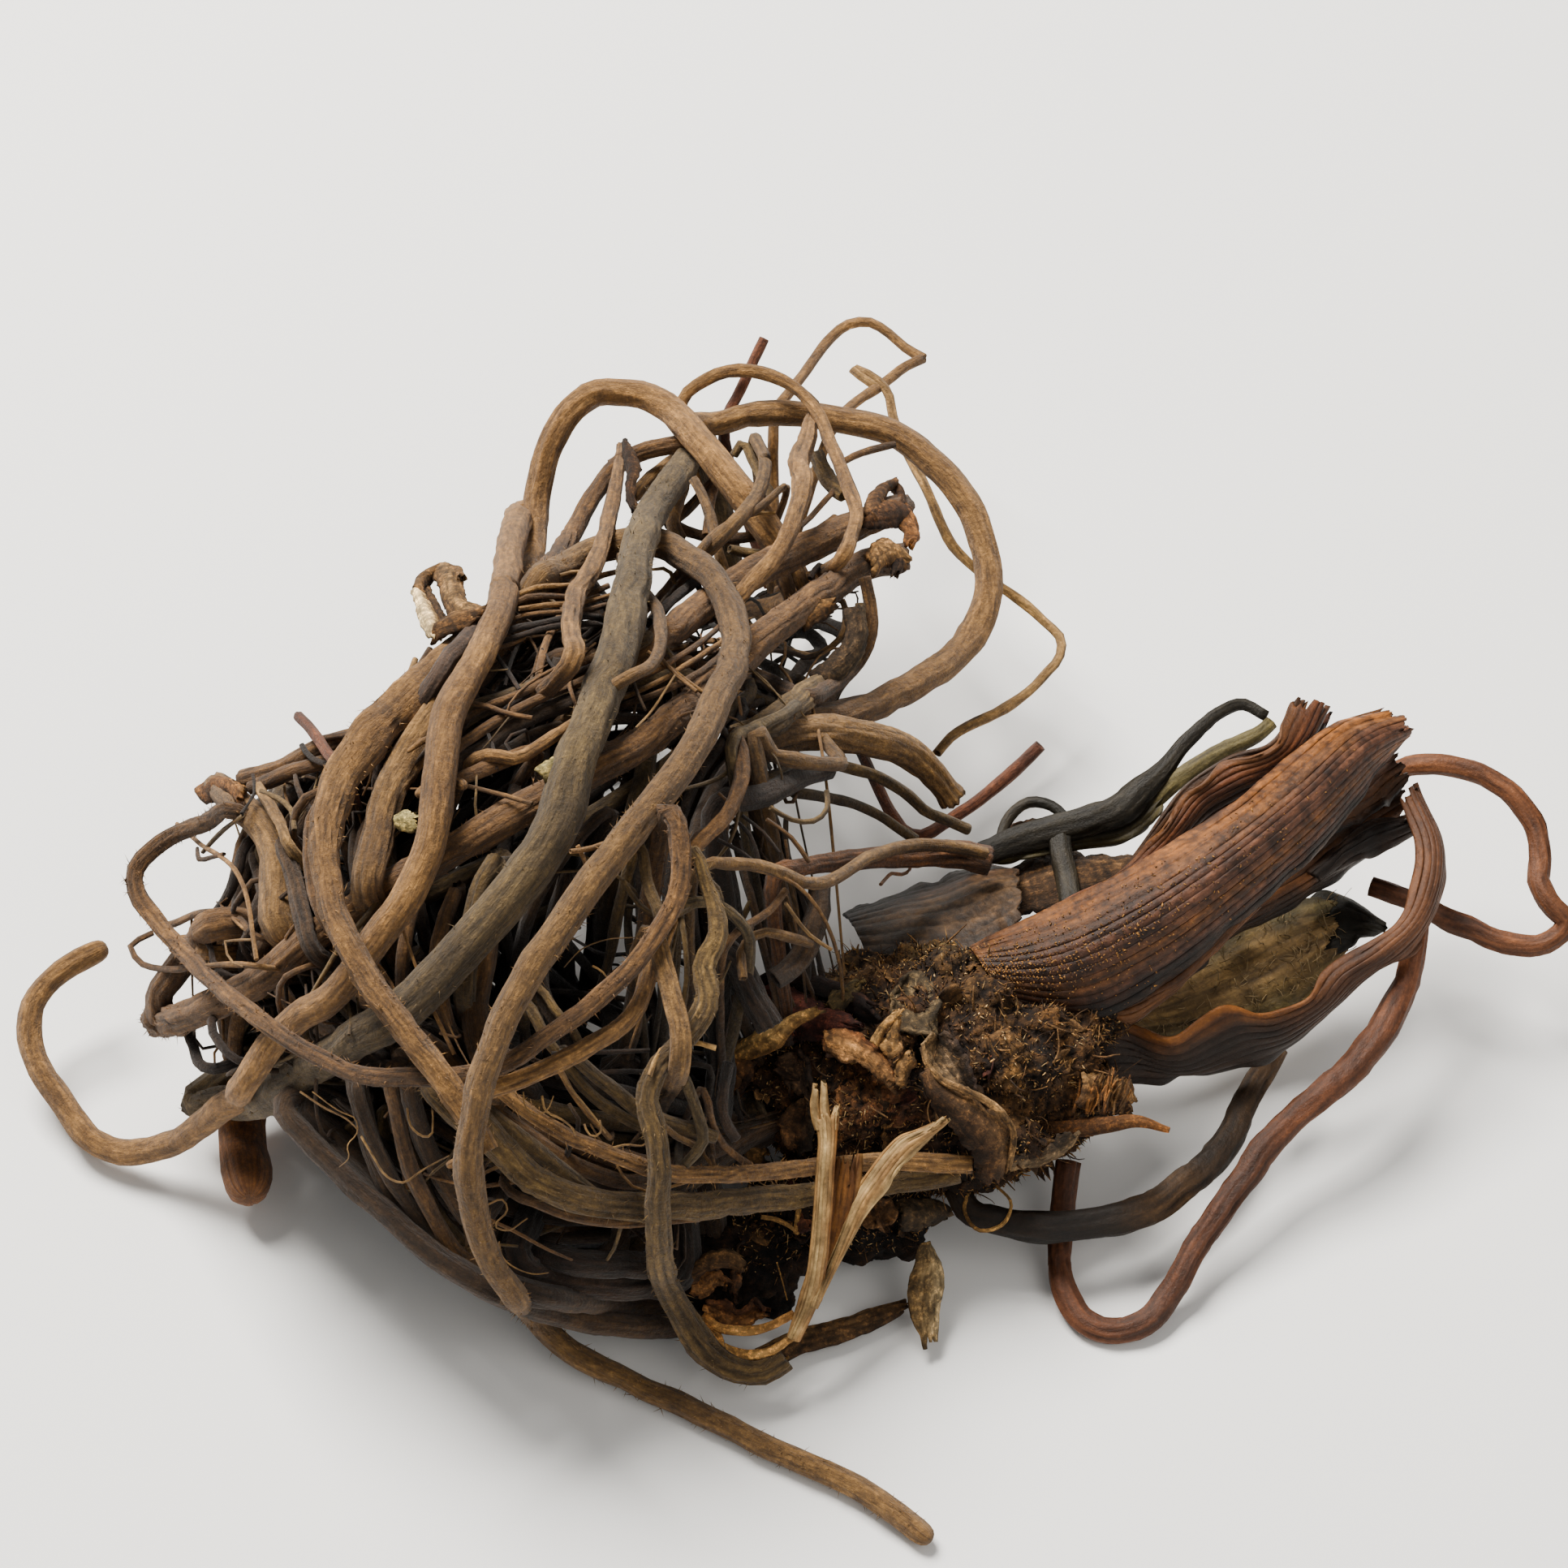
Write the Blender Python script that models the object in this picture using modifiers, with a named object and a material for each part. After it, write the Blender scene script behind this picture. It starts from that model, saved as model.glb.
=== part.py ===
"""Dried valerian root: a torn rhizome with its tangle of roots, its leaf bases and petioles.

Lengths are millimetres until the meshes are made. The pieces are laid out as an eye sees them.
A mark is (across, down, height): across and down on a square sighting frame before EYE, and the
height above the surface that the root lies on. A mark with no height lies on the skin of the
tangle's mound. seen() and skin_point() turn a mark into a point of the model.
"""

import math
import random

import bmesh
import bpy
import numpy as np
from mathutils import Vector, noise

MM = 0.001
PART_NAME = "valerian_root"

# Sighting frame
AIM = np.array((-9.2, 17.2, 20.0))
EYE_DISTANCE = 280.0
EYE_ELEVATION = math.radians(50.0)
FRAME_SIDE = 1932.0
SIGHT_LENGTH = FRAME_SIDE * 87.0 / 36.0
ACROSS = np.array((1.0, 0.0, 0.0))
DOWN = np.array((0.0, -math.sin(EYE_ELEVATION), -math.cos(EYE_ELEVATION)))
AHEAD = np.array((0.0, math.cos(EYE_ELEVATION), -math.sin(EYE_ELEVATION)))
EYE = AIM - EYE_DISTANCE * AHEAD

# Domes whose skin the outer roots follow: centre and radii
TANGLE_DOMES = (((-27.0, 9.0, 12.0), (27.0, 30.0, 25.0)), ((-14.0, 37.5, 9.5), (19.0, 22.0, 17.5)))
RHIZOME_CENTRE = (1.0, -1.5, 8.6)
RHIZOME_RADII = (15.0, 9.3, 9.3)
FOOT_CENTRE = (-7.0, -11.0, 4.8)
FOOT_RADII = (8.0, 5.0, 4.3)
COLLAR_CENTRE = (11.0, 3.0, 12.0)
COLLAR_RADII = (6.5, 5.0, 4.0)
RHIZOME_HEART = ((-9, -3, 8), (-5, -3, 8), (-1, -2, 8), (3, -1, 8), (7, -1, 8), (11, -1, 8))

# Line through the middle of the tangle, with half the tangle's width and height along it
SPINE = ((-4, -3, 9), (-16, -8, 11), (-30, -4, 13), (-38, 8, 15), (-36, 22, 15.5), (-26, 35, 13.5),
         (-10, 44, 10.5))
SPINE_WIDTHS = (6, 9, 12, 14, 14, 12, 9)
SPINE_HEIGHTS = (7, 10, 13, 16, 16, 12, 8)
SPINE_POINTS = 60
CORE_SHARE = (0.9, 0.5, 0.36, 0.32, 0.3, 0.24, 0.12)
CORE_RINGS = 12
CORE_SIDES = 10

# Spacing of the points on a root's line, and what parts two roots that cross
STEP = 2.0
CLEARANCE = 0.4
RELAX_ROUNDS = 60
PAIR_REACH = 6.0
LONGEST_MOVE = 0.6
# A hidden end may run into any root at least this wide, and runs no lower than this
STOUT = 1.5
LOWEST_RUN = 1.2
# Inner roots that no mark traces, and how far each may reach along the spine
FILLERS = 18
FILLER_SEED = 11
FILLER_WIDTHS = (1.3, 2.1)
FILLER_REACH = (0.62, 1.0)

# How far a tube's few rings may stray from its line, and its sides by its width
TRACED_SLACK = 0.33
FILLER_SLACK = 0.55
SCALE_SLACK = 0.25
STRAP_SLACK = 0.2
SIDES_BY_WIDTH = ((2.6, 6), (1.5, 5), (0.0, 4))
SCALE_SIDES = 6
BEND_LIMIT = 1.6

LEAF_THICKNESS = 0.75
LEAF_GAP = 0.35

ROOT_BARK = (0.33, 0.24, 0.16)
LEAF_BROWN = (0.30, 0.16, 0.09)
LEAF_INNER = (0.36, 0.20, 0.10)
LEAF_WOOLLY = (0.33, 0.26, 0.15)
LEAF_PAPERY = (0.26, 0.18, 0.12)
LEAF_DARK = (0.09, 0.08, 0.06)
PETIOLE_DARK = (0.16, 0.12, 0.08)
CORE_PALE = (0.62, 0.50, 0.30)
BARK_ROUGHNESS = 0.8
LEAF_ROUGHNESS = 0.6
CORE_ROUGHNESS = 0.7

# Long outer roots
ARCH = ((609, 778), (633, 722), (650, 672), (661, 610), (673, 565), (690, 525), (715, 497), (750, 483),
        (790, 487), (825, 505), (870, 555), (922, 618), (957, 670), (984, 724))
HOOKED = ((641, 632), (628, 680), (612, 760), (585, 820), (553, 880), (541, 950), (532, 1030), (504, 1100),
          (462, 1160), (420, 1218), (358, 1262), (304, 1332), (268, 1368, 6), (232, 1399, 4), (192, 1415, 2.2),
          (147, 1421, 1.3), (112, 1404, 1.7), (76, 1359, 2.8), (49, 1319, 3.8), (36, 1274, 4.8),
          (40, 1238, 5.6), (62, 1207, 6.4), (85, 1189, 7.0), (112, 1176, 7.4))
FRONT_STRAP = ((700, 700), (650, 748), (595, 792), (520, 850), (450, 915), (410, 990), (402, 1070), (420, 1145),
               (455, 1210), (510, 1280), (570, 1365), (599, 1415))
TAILED = ((665, 712), (690, 700), (745, 675), (800, 668), (860, 695), (900, 750), (905, 810), (880, 870),
          (847, 935), (785, 1015), (730, 1085), (688, 1148), (645, 1210), (607, 1290), (584, 1372),
          (578, 1430, 10), (583, 1480, 7), (600, 1545, 3.6), (640, 1604, 1.6), (700, 1662, 1.15),
          (780, 1705, 1.15), (870, 1745, 1.1), (950, 1785, 1.1), (1040, 1825, 1.0), (1100, 1862, 1.0),
          (1130, 1885, 1.0))
GREY_THICK = ((795, 632), (790, 660), (775, 740), (755, 820), (732, 880), (705, 950), (680, 1030), (630, 1100),
              (575, 1165), (510, 1235), (430, 1285), (350, 1335), (290, 1358, 7), (242, 1360, 5))
DIAGONAL = ((194, 1258, 9), (232, 1252), (321, 1207), (402, 1145), (490, 1087), (590, 1030), (690, 970),
            (790, 915), (870, 852), (950, 775), (1030, 720), (1075, 692), (1106, 690))
LEFT_FOLD = ((262, 1140), (241, 1165), (212, 1203), (197, 1230), (196, 1252))
HUSKED = ((790, 810), (830, 775), (890, 730), (940, 700), (1010, 668), (1080, 635), (1110, 625))
BACK_ARC = ((868, 524), (920, 512), (960, 508), (1040, 518), (1110, 538), (1150, 570), (1182, 604),
            (1205, 650), (1217, 700), (1215, 740), (1200, 780), (1175, 810), (1140, 835), (1070, 872),
            (1000, 888), (950, 893))
LEFT_LOOP = ((827, 1003), (839, 1049), (835, 1099), (812, 1145), (756, 1215), (715, 1248), (673, 1277),
             (632, 1306), (582, 1323), (516, 1327), (454, 1327), (400, 1306), (350, 1277), (290, 1234),
             (250, 1198), (214, 1158), (179, 1118), (165, 1091), (170, 1064), (188, 1046), (214, 1029),
             (250, 1015), (277, 997))
TORN_STRAP = ((855, 1050), (875, 1100), (885, 1150), (868, 1190), (872, 1230), (850, 1275), (808, 1320),
              (797, 1347), (805, 1385), (812, 1430), (810, 1490), (812, 1560, 5.5), (830, 1600, 4),
              (853, 1640, 2.8), (883, 1674, 2), (917, 1690, 1.6), (947, 1688, 2.2), (964, 1674, 3.6))
LOWER_STRAP = ((1180, 1447), (1100, 1460), (1000, 1470), (930, 1478), (860, 1485), (790, 1487), (730, 1482),
               (680, 1465), (640, 1440), (605, 1400), (566, 1370), (541, 1347))
UPPER_STRAP = ((1195, 1435), (1100, 1432), (1000, 1438), (930, 1445), (860, 1447), (800, 1440), (750, 1420),
               (700, 1400), (650, 1370), (610, 1335))

# Thin loops and straps at the top
TOP_LOOP = ((960, 500, 18.5), (985, 468, 18), (1005, 440, 17), (1025, 415, 16), (1045, 400, 15.5),
            (1075, 398, 15.5), (1100, 415, 15.5), (1120, 432, 15.5), (1137, 441, 15.5))
TOP_LOOP_BACK = ((1137, 441, 15.5), (1112, 454, 15.5), (1085, 475, 16), (1055, 495, 17), (1035, 515, 18),
                 (1020, 540, 18.5))
RIGHT_WISP = ((1050, 455, 16.5), (1085, 470, 16.5), (1105, 530, 15), (1140, 600, 13), (1180, 680, 11.5),
              (1215, 712, 11), (1250, 735, 10), (1285, 765, 9), (1310, 795, 8.5), (1290, 828, 8.5),
              (1260, 858, 8.5), (1225, 880, 8.5), (1175, 905, 8.5), (1155, 927, 8.5))
TOP_STRAP = ((845, 485), (870, 468), (905, 457), (940, 460), (975, 475), (1002, 500), (1018, 532), (1031, 565),
             (1045, 597), (1055, 635), (1043, 680))
TWISTED_STRAP = ((1003, 502), (995, 540), (984, 570), (990, 595), (980, 635), (954, 689), (928, 716), (905, 740))
TOP_STUB = ((941, 418), (928, 446), (912, 480), (895, 515))
LATTICE_A = ((855, 592), (870, 620), (888, 690), (895, 713))
LATTICE_B = ((930, 540), (943, 575), (925, 620), (905, 645), (870, 680))
LATTICE_C = ((965, 600), (930, 630), (890, 650), (860, 680))
HANGING_STRAP = ((767, 548), (758, 600), (748, 650), (735, 690), (710, 735), (703, 775), (708, 805))
INNER_CURVE = ((765, 687), (789, 724), (812, 760), (812, 800), (795, 826), (778, 832))
PEELED_CURL = ((540, 790), (522, 760), (514, 730), (528, 707), (549, 699), (570, 716), (580, 745), (590, 770))
INNER_ACROSS = ((582, 877), (640, 857), (702, 828), (773, 836), (847, 836))

# Stubs and straps on the right of the tangle
PINK_STICK = ((1281, 920, 13), (1240, 958, 11), (1200, 990, 9), (1165, 1015, 7.5), (1135, 1030, 6.5))
RIBBED_STUB = ((930, 915, 27), (990, 905, 25), (1050, 905, 22.5), (1090, 915, 20.5), (1122, 928, 18.5),
               (1150, 953, 16.5), (1165, 975, 15))
SHORT_TIP_A = ((970, 975, 22), (1030, 985, 18), (1065, 995, 15.5), (1100, 1015, 13), (1128, 1033, 11))
SHORT_TIP_B = ((1030, 942, 20), (1088, 960, 17), (1115, 977, 15), (1142, 1000, 13), (1170, 1012, 11.5),
               (1192, 1022, 10.5))
DARK_BROAD = ((1020, 945), (980, 960), (940, 980), (890, 990))
SPLIT_STUB = ((960, 1072), (1050, 1060), (1120, 1055), (1180, 1053), (1216, 1060))
WAVY_THIN = ((870, 1065), (910, 1065), (950, 1070), (980, 1085), (1010, 1088), (1040, 1075), (1075, 1055),
             (1115, 1043), (1142, 1040))
SMALL_CURL = ((916, 1205), (912, 1178), (927, 1154), (952, 1149), (978, 1158), (998, 1162))
GREY_RIBBON_A = ((1060, 745), (1060, 790), (1045, 820), (1010, 845), (975, 870), (940, 895), (905, 908))
GREY_RIBBON_B = ((905, 900), (915, 930), (910, 970), (895, 1005), (870, 1030), (855, 1045))

# Stubs and squiggles on the left, and straps along the front foot of the tangle
KNOBBY_STUB = ((263, 962), (285, 985), (312, 1006), (335, 1042), (340, 1082), (344, 1130))
ROUND_STUB = ((303, 1340, 8), (299, 1380, 6.5), (299, 1415, 5), (299, 1442, 3.8))
LEFT_BAND = ((300, 960), (350, 945), (400, 920), (450, 905), (490, 890))
SQUIGGLE_A = ((310, 1150), (290, 1128), (250, 1124), (215, 1138), (196, 1143))
SQUIGGLE_B = ((188, 1150), (165, 1160), (158, 1177), (175, 1187), (205, 1194), (245, 1190))
TOP_LEFT_TIP = ((368, 882), (388, 905), (402, 925), (420, 950))
FOOT_A = ((350, 1372), (400, 1425), (470, 1490), (540, 1548), (610, 1592), (700, 1622), (800, 1636), (880, 1622))
FOOT_B = ((380, 1370), (440, 1425), (500, 1490), (560, 1535), (640, 1570), (740, 1590), (840, 1590))
UPRIGHT_A = ((440, 1330), (455, 1400), (480, 1460), (520, 1520), (560, 1560))
UPRIGHT_B = ((505, 1340), (520, 1400), (545, 1450), (575, 1500))
UPRIGHT_C = ((600, 1130), (590, 1200), (585, 1260), (600, 1310))

# Scales, flakes and broken ends on the rhizome: (across, down, lift above the rhizome)
LIP_FOLD = ((1130, 1275, 1.0), (1150, 1320, 1.6), (1190, 1352, 1.8), (1232, 1380, 1.6), (1243, 1420, 1.6),
            (1225, 1458, 1.0))
PURPLE_FLAKE = ((862, 1262, 2.5), (905, 1228, 3.2), (960, 1232, 2.4), (1015, 1258, 1.6), (1070, 1290, 0.8))
PALE_BRACT = ((905, 1316, 3.5), (940, 1290, 4.2), (975, 1268, 3.8), (1008, 1250, 2.4))
FRAYED_BRUSH = ((1290, 1352, 0.0), (1345, 1348, 1.2), (1392, 1342, 2.6))
TWIG_TIP = ((1320, 1384, 0.0), (1385, 1382, 1.4), (1438, 1388, 3.0))
DRY_CURL = ((1235, 1432, 0.6), (1280, 1430, 1.4), (1310, 1416, 2.2), (1316, 1398, 2.8))
HANGING_CHIP = ((1140, 1500, 1.0), (1144, 1550, 2.5), (1132, 1600, 3.2), (1142, 1648, 4.0))

# Leaf bases: the far and the near edge of each, from the rhizome outwards
BROAD_FAR = ((1194, 1165, 15.5), (1285, 1124, 18.5), (1347, 1095, 20.0), (1461, 1030, 21.5), (1566, 953, 22.0),
             (1647, 889, 21.5), (1700, 874, 20.5))
BROAD_NEAR = ((1245, 1240, 14.0), (1352, 1255, 13.5), (1437, 1211, 15.0), (1542, 1122, 17.0), (1622, 1046, 17.5),
              (1675, 981, 17.5), (1716, 917, 17.5))
FOLDED_FAR = ((1330, 1110, 13.0), (1395, 1062, 16.0), (1441, 1001, 19.0), (1469, 965, 20.0), (1510, 941, 21.0),
              (1562, 921, 21.5), (1598, 866, 21.5))
FOLDED_NEAR = ((1300, 1150, 13.0), (1400, 1085, 14.5), (1480, 1018, 16.5), (1530, 985, 17.5), (1580, 945, 18.0),
               (1625, 905, 18.0), (1636, 884, 18.5))
INNER_FAR = ((1290, 1190, 12.0), (1400, 1150, 12.5), (1500, 1095, 13.0), (1590, 1050, 13.5), (1650, 1000, 14.0),
             (1722, 957, 15.0))
INNER_NEAR = ((1310, 1235, 9.5), (1420, 1225, 9.5), (1520, 1160, 9.5), (1590, 1118, 9.8), (1650, 1082, 10.0),
              (1732, 1028, 11.5))
WOOLLY_FAR = ((1320, 1240, 6.5), (1420, 1215, 6.5), (1500, 1170, 7.0), (1560, 1130, 7.5), (1643, 1112, 8.0))
WOOLLY_NEAR = ((1330, 1262, 5.0), (1440, 1262, 5.0), (1540, 1240, 5.5), (1600, 1212, 6.0), (1655, 1150, 7.0))
WAVED_FAR = ((1300, 1242, 12.0), (1324, 1247, 13.0), (1380, 1258, 11.6), (1437, 1275, 11.5), (1473, 1255, 12.2),
             (1502, 1239, 13.0), (1550, 1247, 12.0), (1602, 1227, 12.5), (1639, 1191, 13.0), (1683, 1163, 13.5),
             (1719, 1138, 14.0), (1738, 1100, 15.0), (1746, 1050, 15.8), (1722, 985, 16.2))
WAVED_NEAR = ((1330, 1330, 6.0), (1381, 1332, 6.5), (1461, 1328, 6.0), (1522, 1316, 6.5), (1582, 1296, 7.5),
              (1643, 1239, 9.5), (1683, 1203, 11.0), (1745, 1168, 12.2), (1768, 1120, 13.2), (1779, 1060, 14.2),
              (1748, 975, 15.2))
PAPERY_FAR = ((1037, 1122, 6.0), (1099, 1100, 6.5), (1153, 1080, 7.0), (1223, 1062, 7.5), (1246, 1068, 8.0))
PAPERY_NEAR = ((1070, 1180, 11.0), (1120, 1178, 12.5), (1190, 1170, 13.5), (1240, 1145, 13.5), (1262, 1128, 13.2))

# Petioles and the torn core of a root
WAVED_PETIOLE = ((1759, 1040, 14.9), (1756, 1090, 14.4), (1746, 1145, 12.9), (1734, 1200, 10.6),
                 (1690, 1290, 9.0), (1640, 1340, 8.0), (1590, 1380, 7.0), (1540, 1440, 5.5), (1500, 1500, 4.0),
                 (1460, 1560, 2.6), (1430, 1610, 1.3), (1380, 1640, 0.8), (1330, 1622, 0.8), (1310, 1585, 1.3),
                 (1308, 1530, 2.0), (1310, 1480, 3.0), (1316, 1430, 4.3))
INNER_PETIOLE = ((1690, 985, 13.9), (1730, 945, 14.6), (1765, 942, 15.0), (1830, 955, 15.0), (1870, 990, 14.0),
                 (1900, 1040, 12.5), (1896, 1080, 11.5), (1905, 1110, 10.8), (1930, 1134, 10.0),
                 (1912, 1158, 9.0), (1850, 1160, 8.5), (1790, 1135, 8.8), (1740, 1110, 9.2), (1690, 1094, 9.4))
DARK_STRIP = ((1190, 1062, 10.6), (1225, 1045, 11.0), (1290, 1025, 11.4), (1370, 1002, 12.5), (1430, 952, 14.0),
              (1470, 905, 15.0), (1500, 880, 15.5), (1530, 868, 15.5), (1560, 882, 15.2))
DARK_STEM = ((1312, 1172, 11.5), (1320, 1120, 10.5), (1314, 1075, 10.6), (1304, 1024, 11.4))
DARK_STRIP_LOOP = ((1232, 1040, 11.0), (1240, 1012, 11.6), (1256, 994, 12.0), (1275, 988, 12.2),
                   (1293, 991, 12.2), (1309, 1004, 12.0), (1322, 1020, 11.7))
LOW_PETIOLE = ((1175, 1460, 6.4), (1195, 1492, 5.8), (1240, 1508, 5.5), (1290, 1512, 5.5), (1340, 1508, 5.2),
               (1400, 1495, 5.0), (1470, 1450, 4.6), (1515, 1400, 4.4), (1550, 1330, 5.0), (1575, 1290, 5.0))
TALL_SPLINTER = ((970, 1648, 5.4), (985, 1615, 7.0), (1000, 1560, 9.5), (1010, 1500, 12.0), (1016, 1440, 14.5),
                 (1020, 1395, 16.0), (1016, 1345, 17.5))
SLANTED_SPLINTER = ((982, 1620, 6.8), (1010, 1580, 8.0), (1032, 1540, 10.0), (1048, 1500, 11.5),
                    (1075, 1452, 13.0), (1110, 1412, 14.5), (1163, 1385, 15.5))

# Leaf bases as sheets: name, edges, crown, rows, columns, colour
SHEATHS = (
    ("leaf_base_broad", BROAD_FAR, BROAD_NEAR, 2.0, 12, 6, LEAF_BROWN),
    ("leaf_base_folded", FOLDED_FAR, FOLDED_NEAR, 1.0, 10, 5, LEAF_BROWN),
    ("leaf_base_inner", INNER_FAR, INNER_NEAR, 0.8, 9, 4, LEAF_INNER),
    ("leaf_base_woolly", WOOLLY_FAR, WOOLLY_NEAR, 0.8, 8, 4, LEAF_WOOLLY),
    ("leaf_base_waved", WAVED_FAR, WAVED_NEAR, 0.8, 18, 4, LEAF_BROWN),
    ("leaf_base_papery", PAPERY_FAR, PAPERY_NEAR, 0.8, 8, 4, LEAF_PAPERY),
)
# Petioles that grow from a leaf base: the base, marks, widths, thickness as a share of the width
LEAF_PETIOLES = (
    ("leaf_base_waved", WAVED_PETIOLE, (1.6, 2.0, 2.1, 1.9, 1.9), 0.7),
    ("leaf_base_inner", INNER_PETIOLE, (1.6, 1.7, 1.9, 1.8, 1.6), 0.7),
)


def root(name, marks, widths, flat=1.0, lift=0.0, start="any", end="any"):
    """One root: its marks, its widths along its length, its thickness as a share of its width, its lift
    off the skin (one value or several along it), and how it starts and ends: cut, sunk into the rhizome,
    the core or the root that is named, or hidden, so that it may be sunk into any stout piece."""
    lifts = lift if isinstance(lift, tuple) else (lift,)
    shape = {"name": name, "marks": marks, "widths": widths, "flat": flat, "lifts": lifts}
    return shape | {"start": start, "end": end}


ROOTS = (
    root("arch", ARCH, (1.8, 2.2, 2.3, 2.2), lift=(-0.5, 1.5, 1.5, 1.5)),
    root("hooked", HOOKED, (2.3, 2.2, 2.4, 2.1, 2.0, 1.9), lift=1.8, start="arch", end="cut"),
    root("front_strap", FRONT_STRAP, (2.4, 3.9, 3.6, 2.4, 2.2), flat=0.6, lift=(-7, 1, 4.5, 4.5, 4.5), end="cut"),
    root("tailed", TAILED, (2.2, 2.5, 2.4, 2.3, 2.0, 1.8, 1.7), lift=2.8, end="cut"),
    root("grey_thick", GREY_THICK, (2.4, 2.6, 3.0, 3.1, 2.7, 2.4), lift=1.0, start="cut"),
    root("diagonal", DIAGONAL, (2.6, 2.4, 2.5, 2.6, 2.7, 2.5, 2.6), lift=-0.8, start="left_fold", end="cut"),
    root("left_fold", LEFT_FOLD, (2.4, 2.2), lift=-0.5, end="cut"),
    root("husked", HUSKED, (2.4, 2.4, 2.6), lift=0.0, end="cut"),
    root("back_arc", BACK_ARC, (2.2, 2.3, 2.4, 2.3), lift=(-1, -1, 0), start="arch"),
    root("left_loop", LEFT_LOOP, (1.7, 1.6, 1.7, 1.7, 1.5), flat=0.6, lift=2.4),
    root("torn_strap", TORN_STRAP, (1.7, 1.8, 2.0, 1.8, 1.9), flat=0.65, lift=1.8, end="cut"),
    root("lower_strap", LOWER_STRAP, (2.2, 2.1, 2.2, 2.0), flat=0.7, lift=0.8, start="rhizome"),
    root("upper_strap", UPPER_STRAP, (1.5, 1.3, 1.3), flat=0.8, lift=0.4, start="rhizome"),
    root("top_loop", TOP_LOOP, (0.9, 0.9), end="cut"),
    root("top_loop_back", TOP_LOOP_BACK, (0.9, 0.9), start="top_loop"),
    root("right_wisp", RIGHT_WISP, (0.95, 0.9, 0.85), start="top_loop_back", end="cut"),
    root("top_strap", TOP_STRAP, (1.1, 1.2, 1.3), flat=0.6, lift=0.8),
    root("twisted_strap", TWISTED_STRAP, (1.1, 1.5, 1.3), flat=0.6, lift=1.4, start="top_strap"),
    root("top_stub", TOP_STUB, (0.9, 1.0), start="cut"),
    root("lattice_a", LATTICE_A, (0.9, 0.9), lift=-1.0, start="cut"),
    root("lattice_b", LATTICE_B, (0.9, 0.9), lift=-1.5),
    root("lattice_c", LATTICE_C, (0.9, 0.9), lift=-0.5),
    root("hanging_strap", HANGING_STRAP, (0.9, 1.5, 1.6, 1.3), flat=0.6, lift=1.5, start="cut"),
    root("inner_curve", INNER_CURVE, (0.9, 0.9), lift=1.0),
    root("peeled_curl", PEELED_CURL, (1.4, 1.6, 1.5), flat=0.6, lift=0.0),
    root("inner_across", INNER_ACROSS, (1.4, 1.5), lift=-3.0),
    root("pink_stick", PINK_STICK, (1.1, 0.9), start="cut"),
    root("ribbed_stub", RIBBED_STUB, (2.4, 2.6, 2.8, 2.5), flat=0.8, lift=-1.0, end="cut"),
    root("short_tip_a", SHORT_TIP_A, (0.9, 0.8), lift=-2.0, end="cut"),
    root("short_tip_b", SHORT_TIP_B, (1.0, 0.9), lift=-2.0, end="cut"),
    root("dark_broad", DARK_BROAD, (1.6, 2.2), flat=0.6, lift=-3.0, start="cut"),
    root("split_stub", SPLIT_STUB, (2.0, 2.2, 2.4), flat=0.7, lift=-3.0, end="cut"),
    root("wavy_thin", WAVY_THIN, (1.0, 0.9), lift=-1.0, end="cut"),
    root("small_curl", SMALL_CURL, (0.9, 0.8), lift=-3.0, end="cut"),
    root("grey_ribbon_a", GREY_RIBBON_A, (1.8, 1.9, 1.6), flat=0.5, lift=-1.5, start="cut"),
    root("grey_ribbon_b", GREY_RIBBON_B, (1.6, 1.7), flat=0.6, lift=-1.0),
    root("knobby_stub", KNOBBY_STUB, (2.6, 2.8, 3.2, 3.0), lift=-1.0, start="cut"),
    root("round_stub", ROUND_STUB, (3.2, 3.6, 3.7), end="cut"),
    root("left_band", LEFT_BAND, (1.4, 1.6), lift=-1.0, start="cut"),
    root("squiggle_a", SQUIGGLE_A, (0.8, 0.8), lift=-1.5, end="cut"),
    root("squiggle_b", SQUIGGLE_B, (0.8, 0.8), lift=-1.5, start="cut"),
    root("top_left_tip", TOP_LEFT_TIP, (0.8, 1.0), start="cut"),
    root("foot_a", FOOT_A, (1.6, 1.8, 1.7), lift=0.0),
    root("foot_b", FOOT_B, (1.6, 1.8, 1.7), lift=-2.0),
    root("upright_a", UPRIGHT_A, (1.6, 1.7), flat=0.7, lift=-1.5),
    root("upright_b", UPRIGHT_B, (1.4, 1.5), flat=0.7, lift=-1.5),
    root("upright_c", UPRIGHT_C, (2.0, 2.0), lift=-4.0),
)

SCALES = (
    root("lip_fold", LIP_FOLD, (1.5, 3.4, 4.0, 4.2, 2.6), flat=0.35, start="rhizome", end="rhizome"),
    root("purple_flake", PURPLE_FLAKE, (2.0, 3.2, 3.4, 2.0), flat=0.3, start="cut", end="rhizome"),
    root("pale_bract", PALE_BRACT, (1.0, 2.4, 2.2, 0.8), flat=0.35, start="rhizome", end="cut"),
    root("frayed_brush", FRAYED_BRUSH, (3.0, 3.4, 3.4), flat=0.45, start="rhizome", end="cut"),
    root("twig_tip", TWIG_TIP, (1.6, 1.4, 1.0), start="rhizome", end="cut"),
    root("dry_curl", DRY_CURL, (1.4, 1.6, 1.0), flat=0.5, start="rhizome", end="cut"),
    root("hanging_chip", HANGING_CHIP, (1.2, 1.8, 2.0, 1.4), flat=0.4, start="rhizome", end="cut"),
)


def sight(across, down):
    """Unit direction from the eye through a mark."""
    ray = AHEAD * SIGHT_LENGTH + ACROSS * (across - FRAME_SIDE / 2) + DOWN * (down - FRAME_SIDE / 2)
    return ray / np.linalg.norm(ray)


def seen(across, down, height):
    """The point at a height above the surface that the eye sees at a mark."""
    ray = sight(across, down)
    return EYE + ray * (height - EYE[2]) / ray[2]


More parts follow.
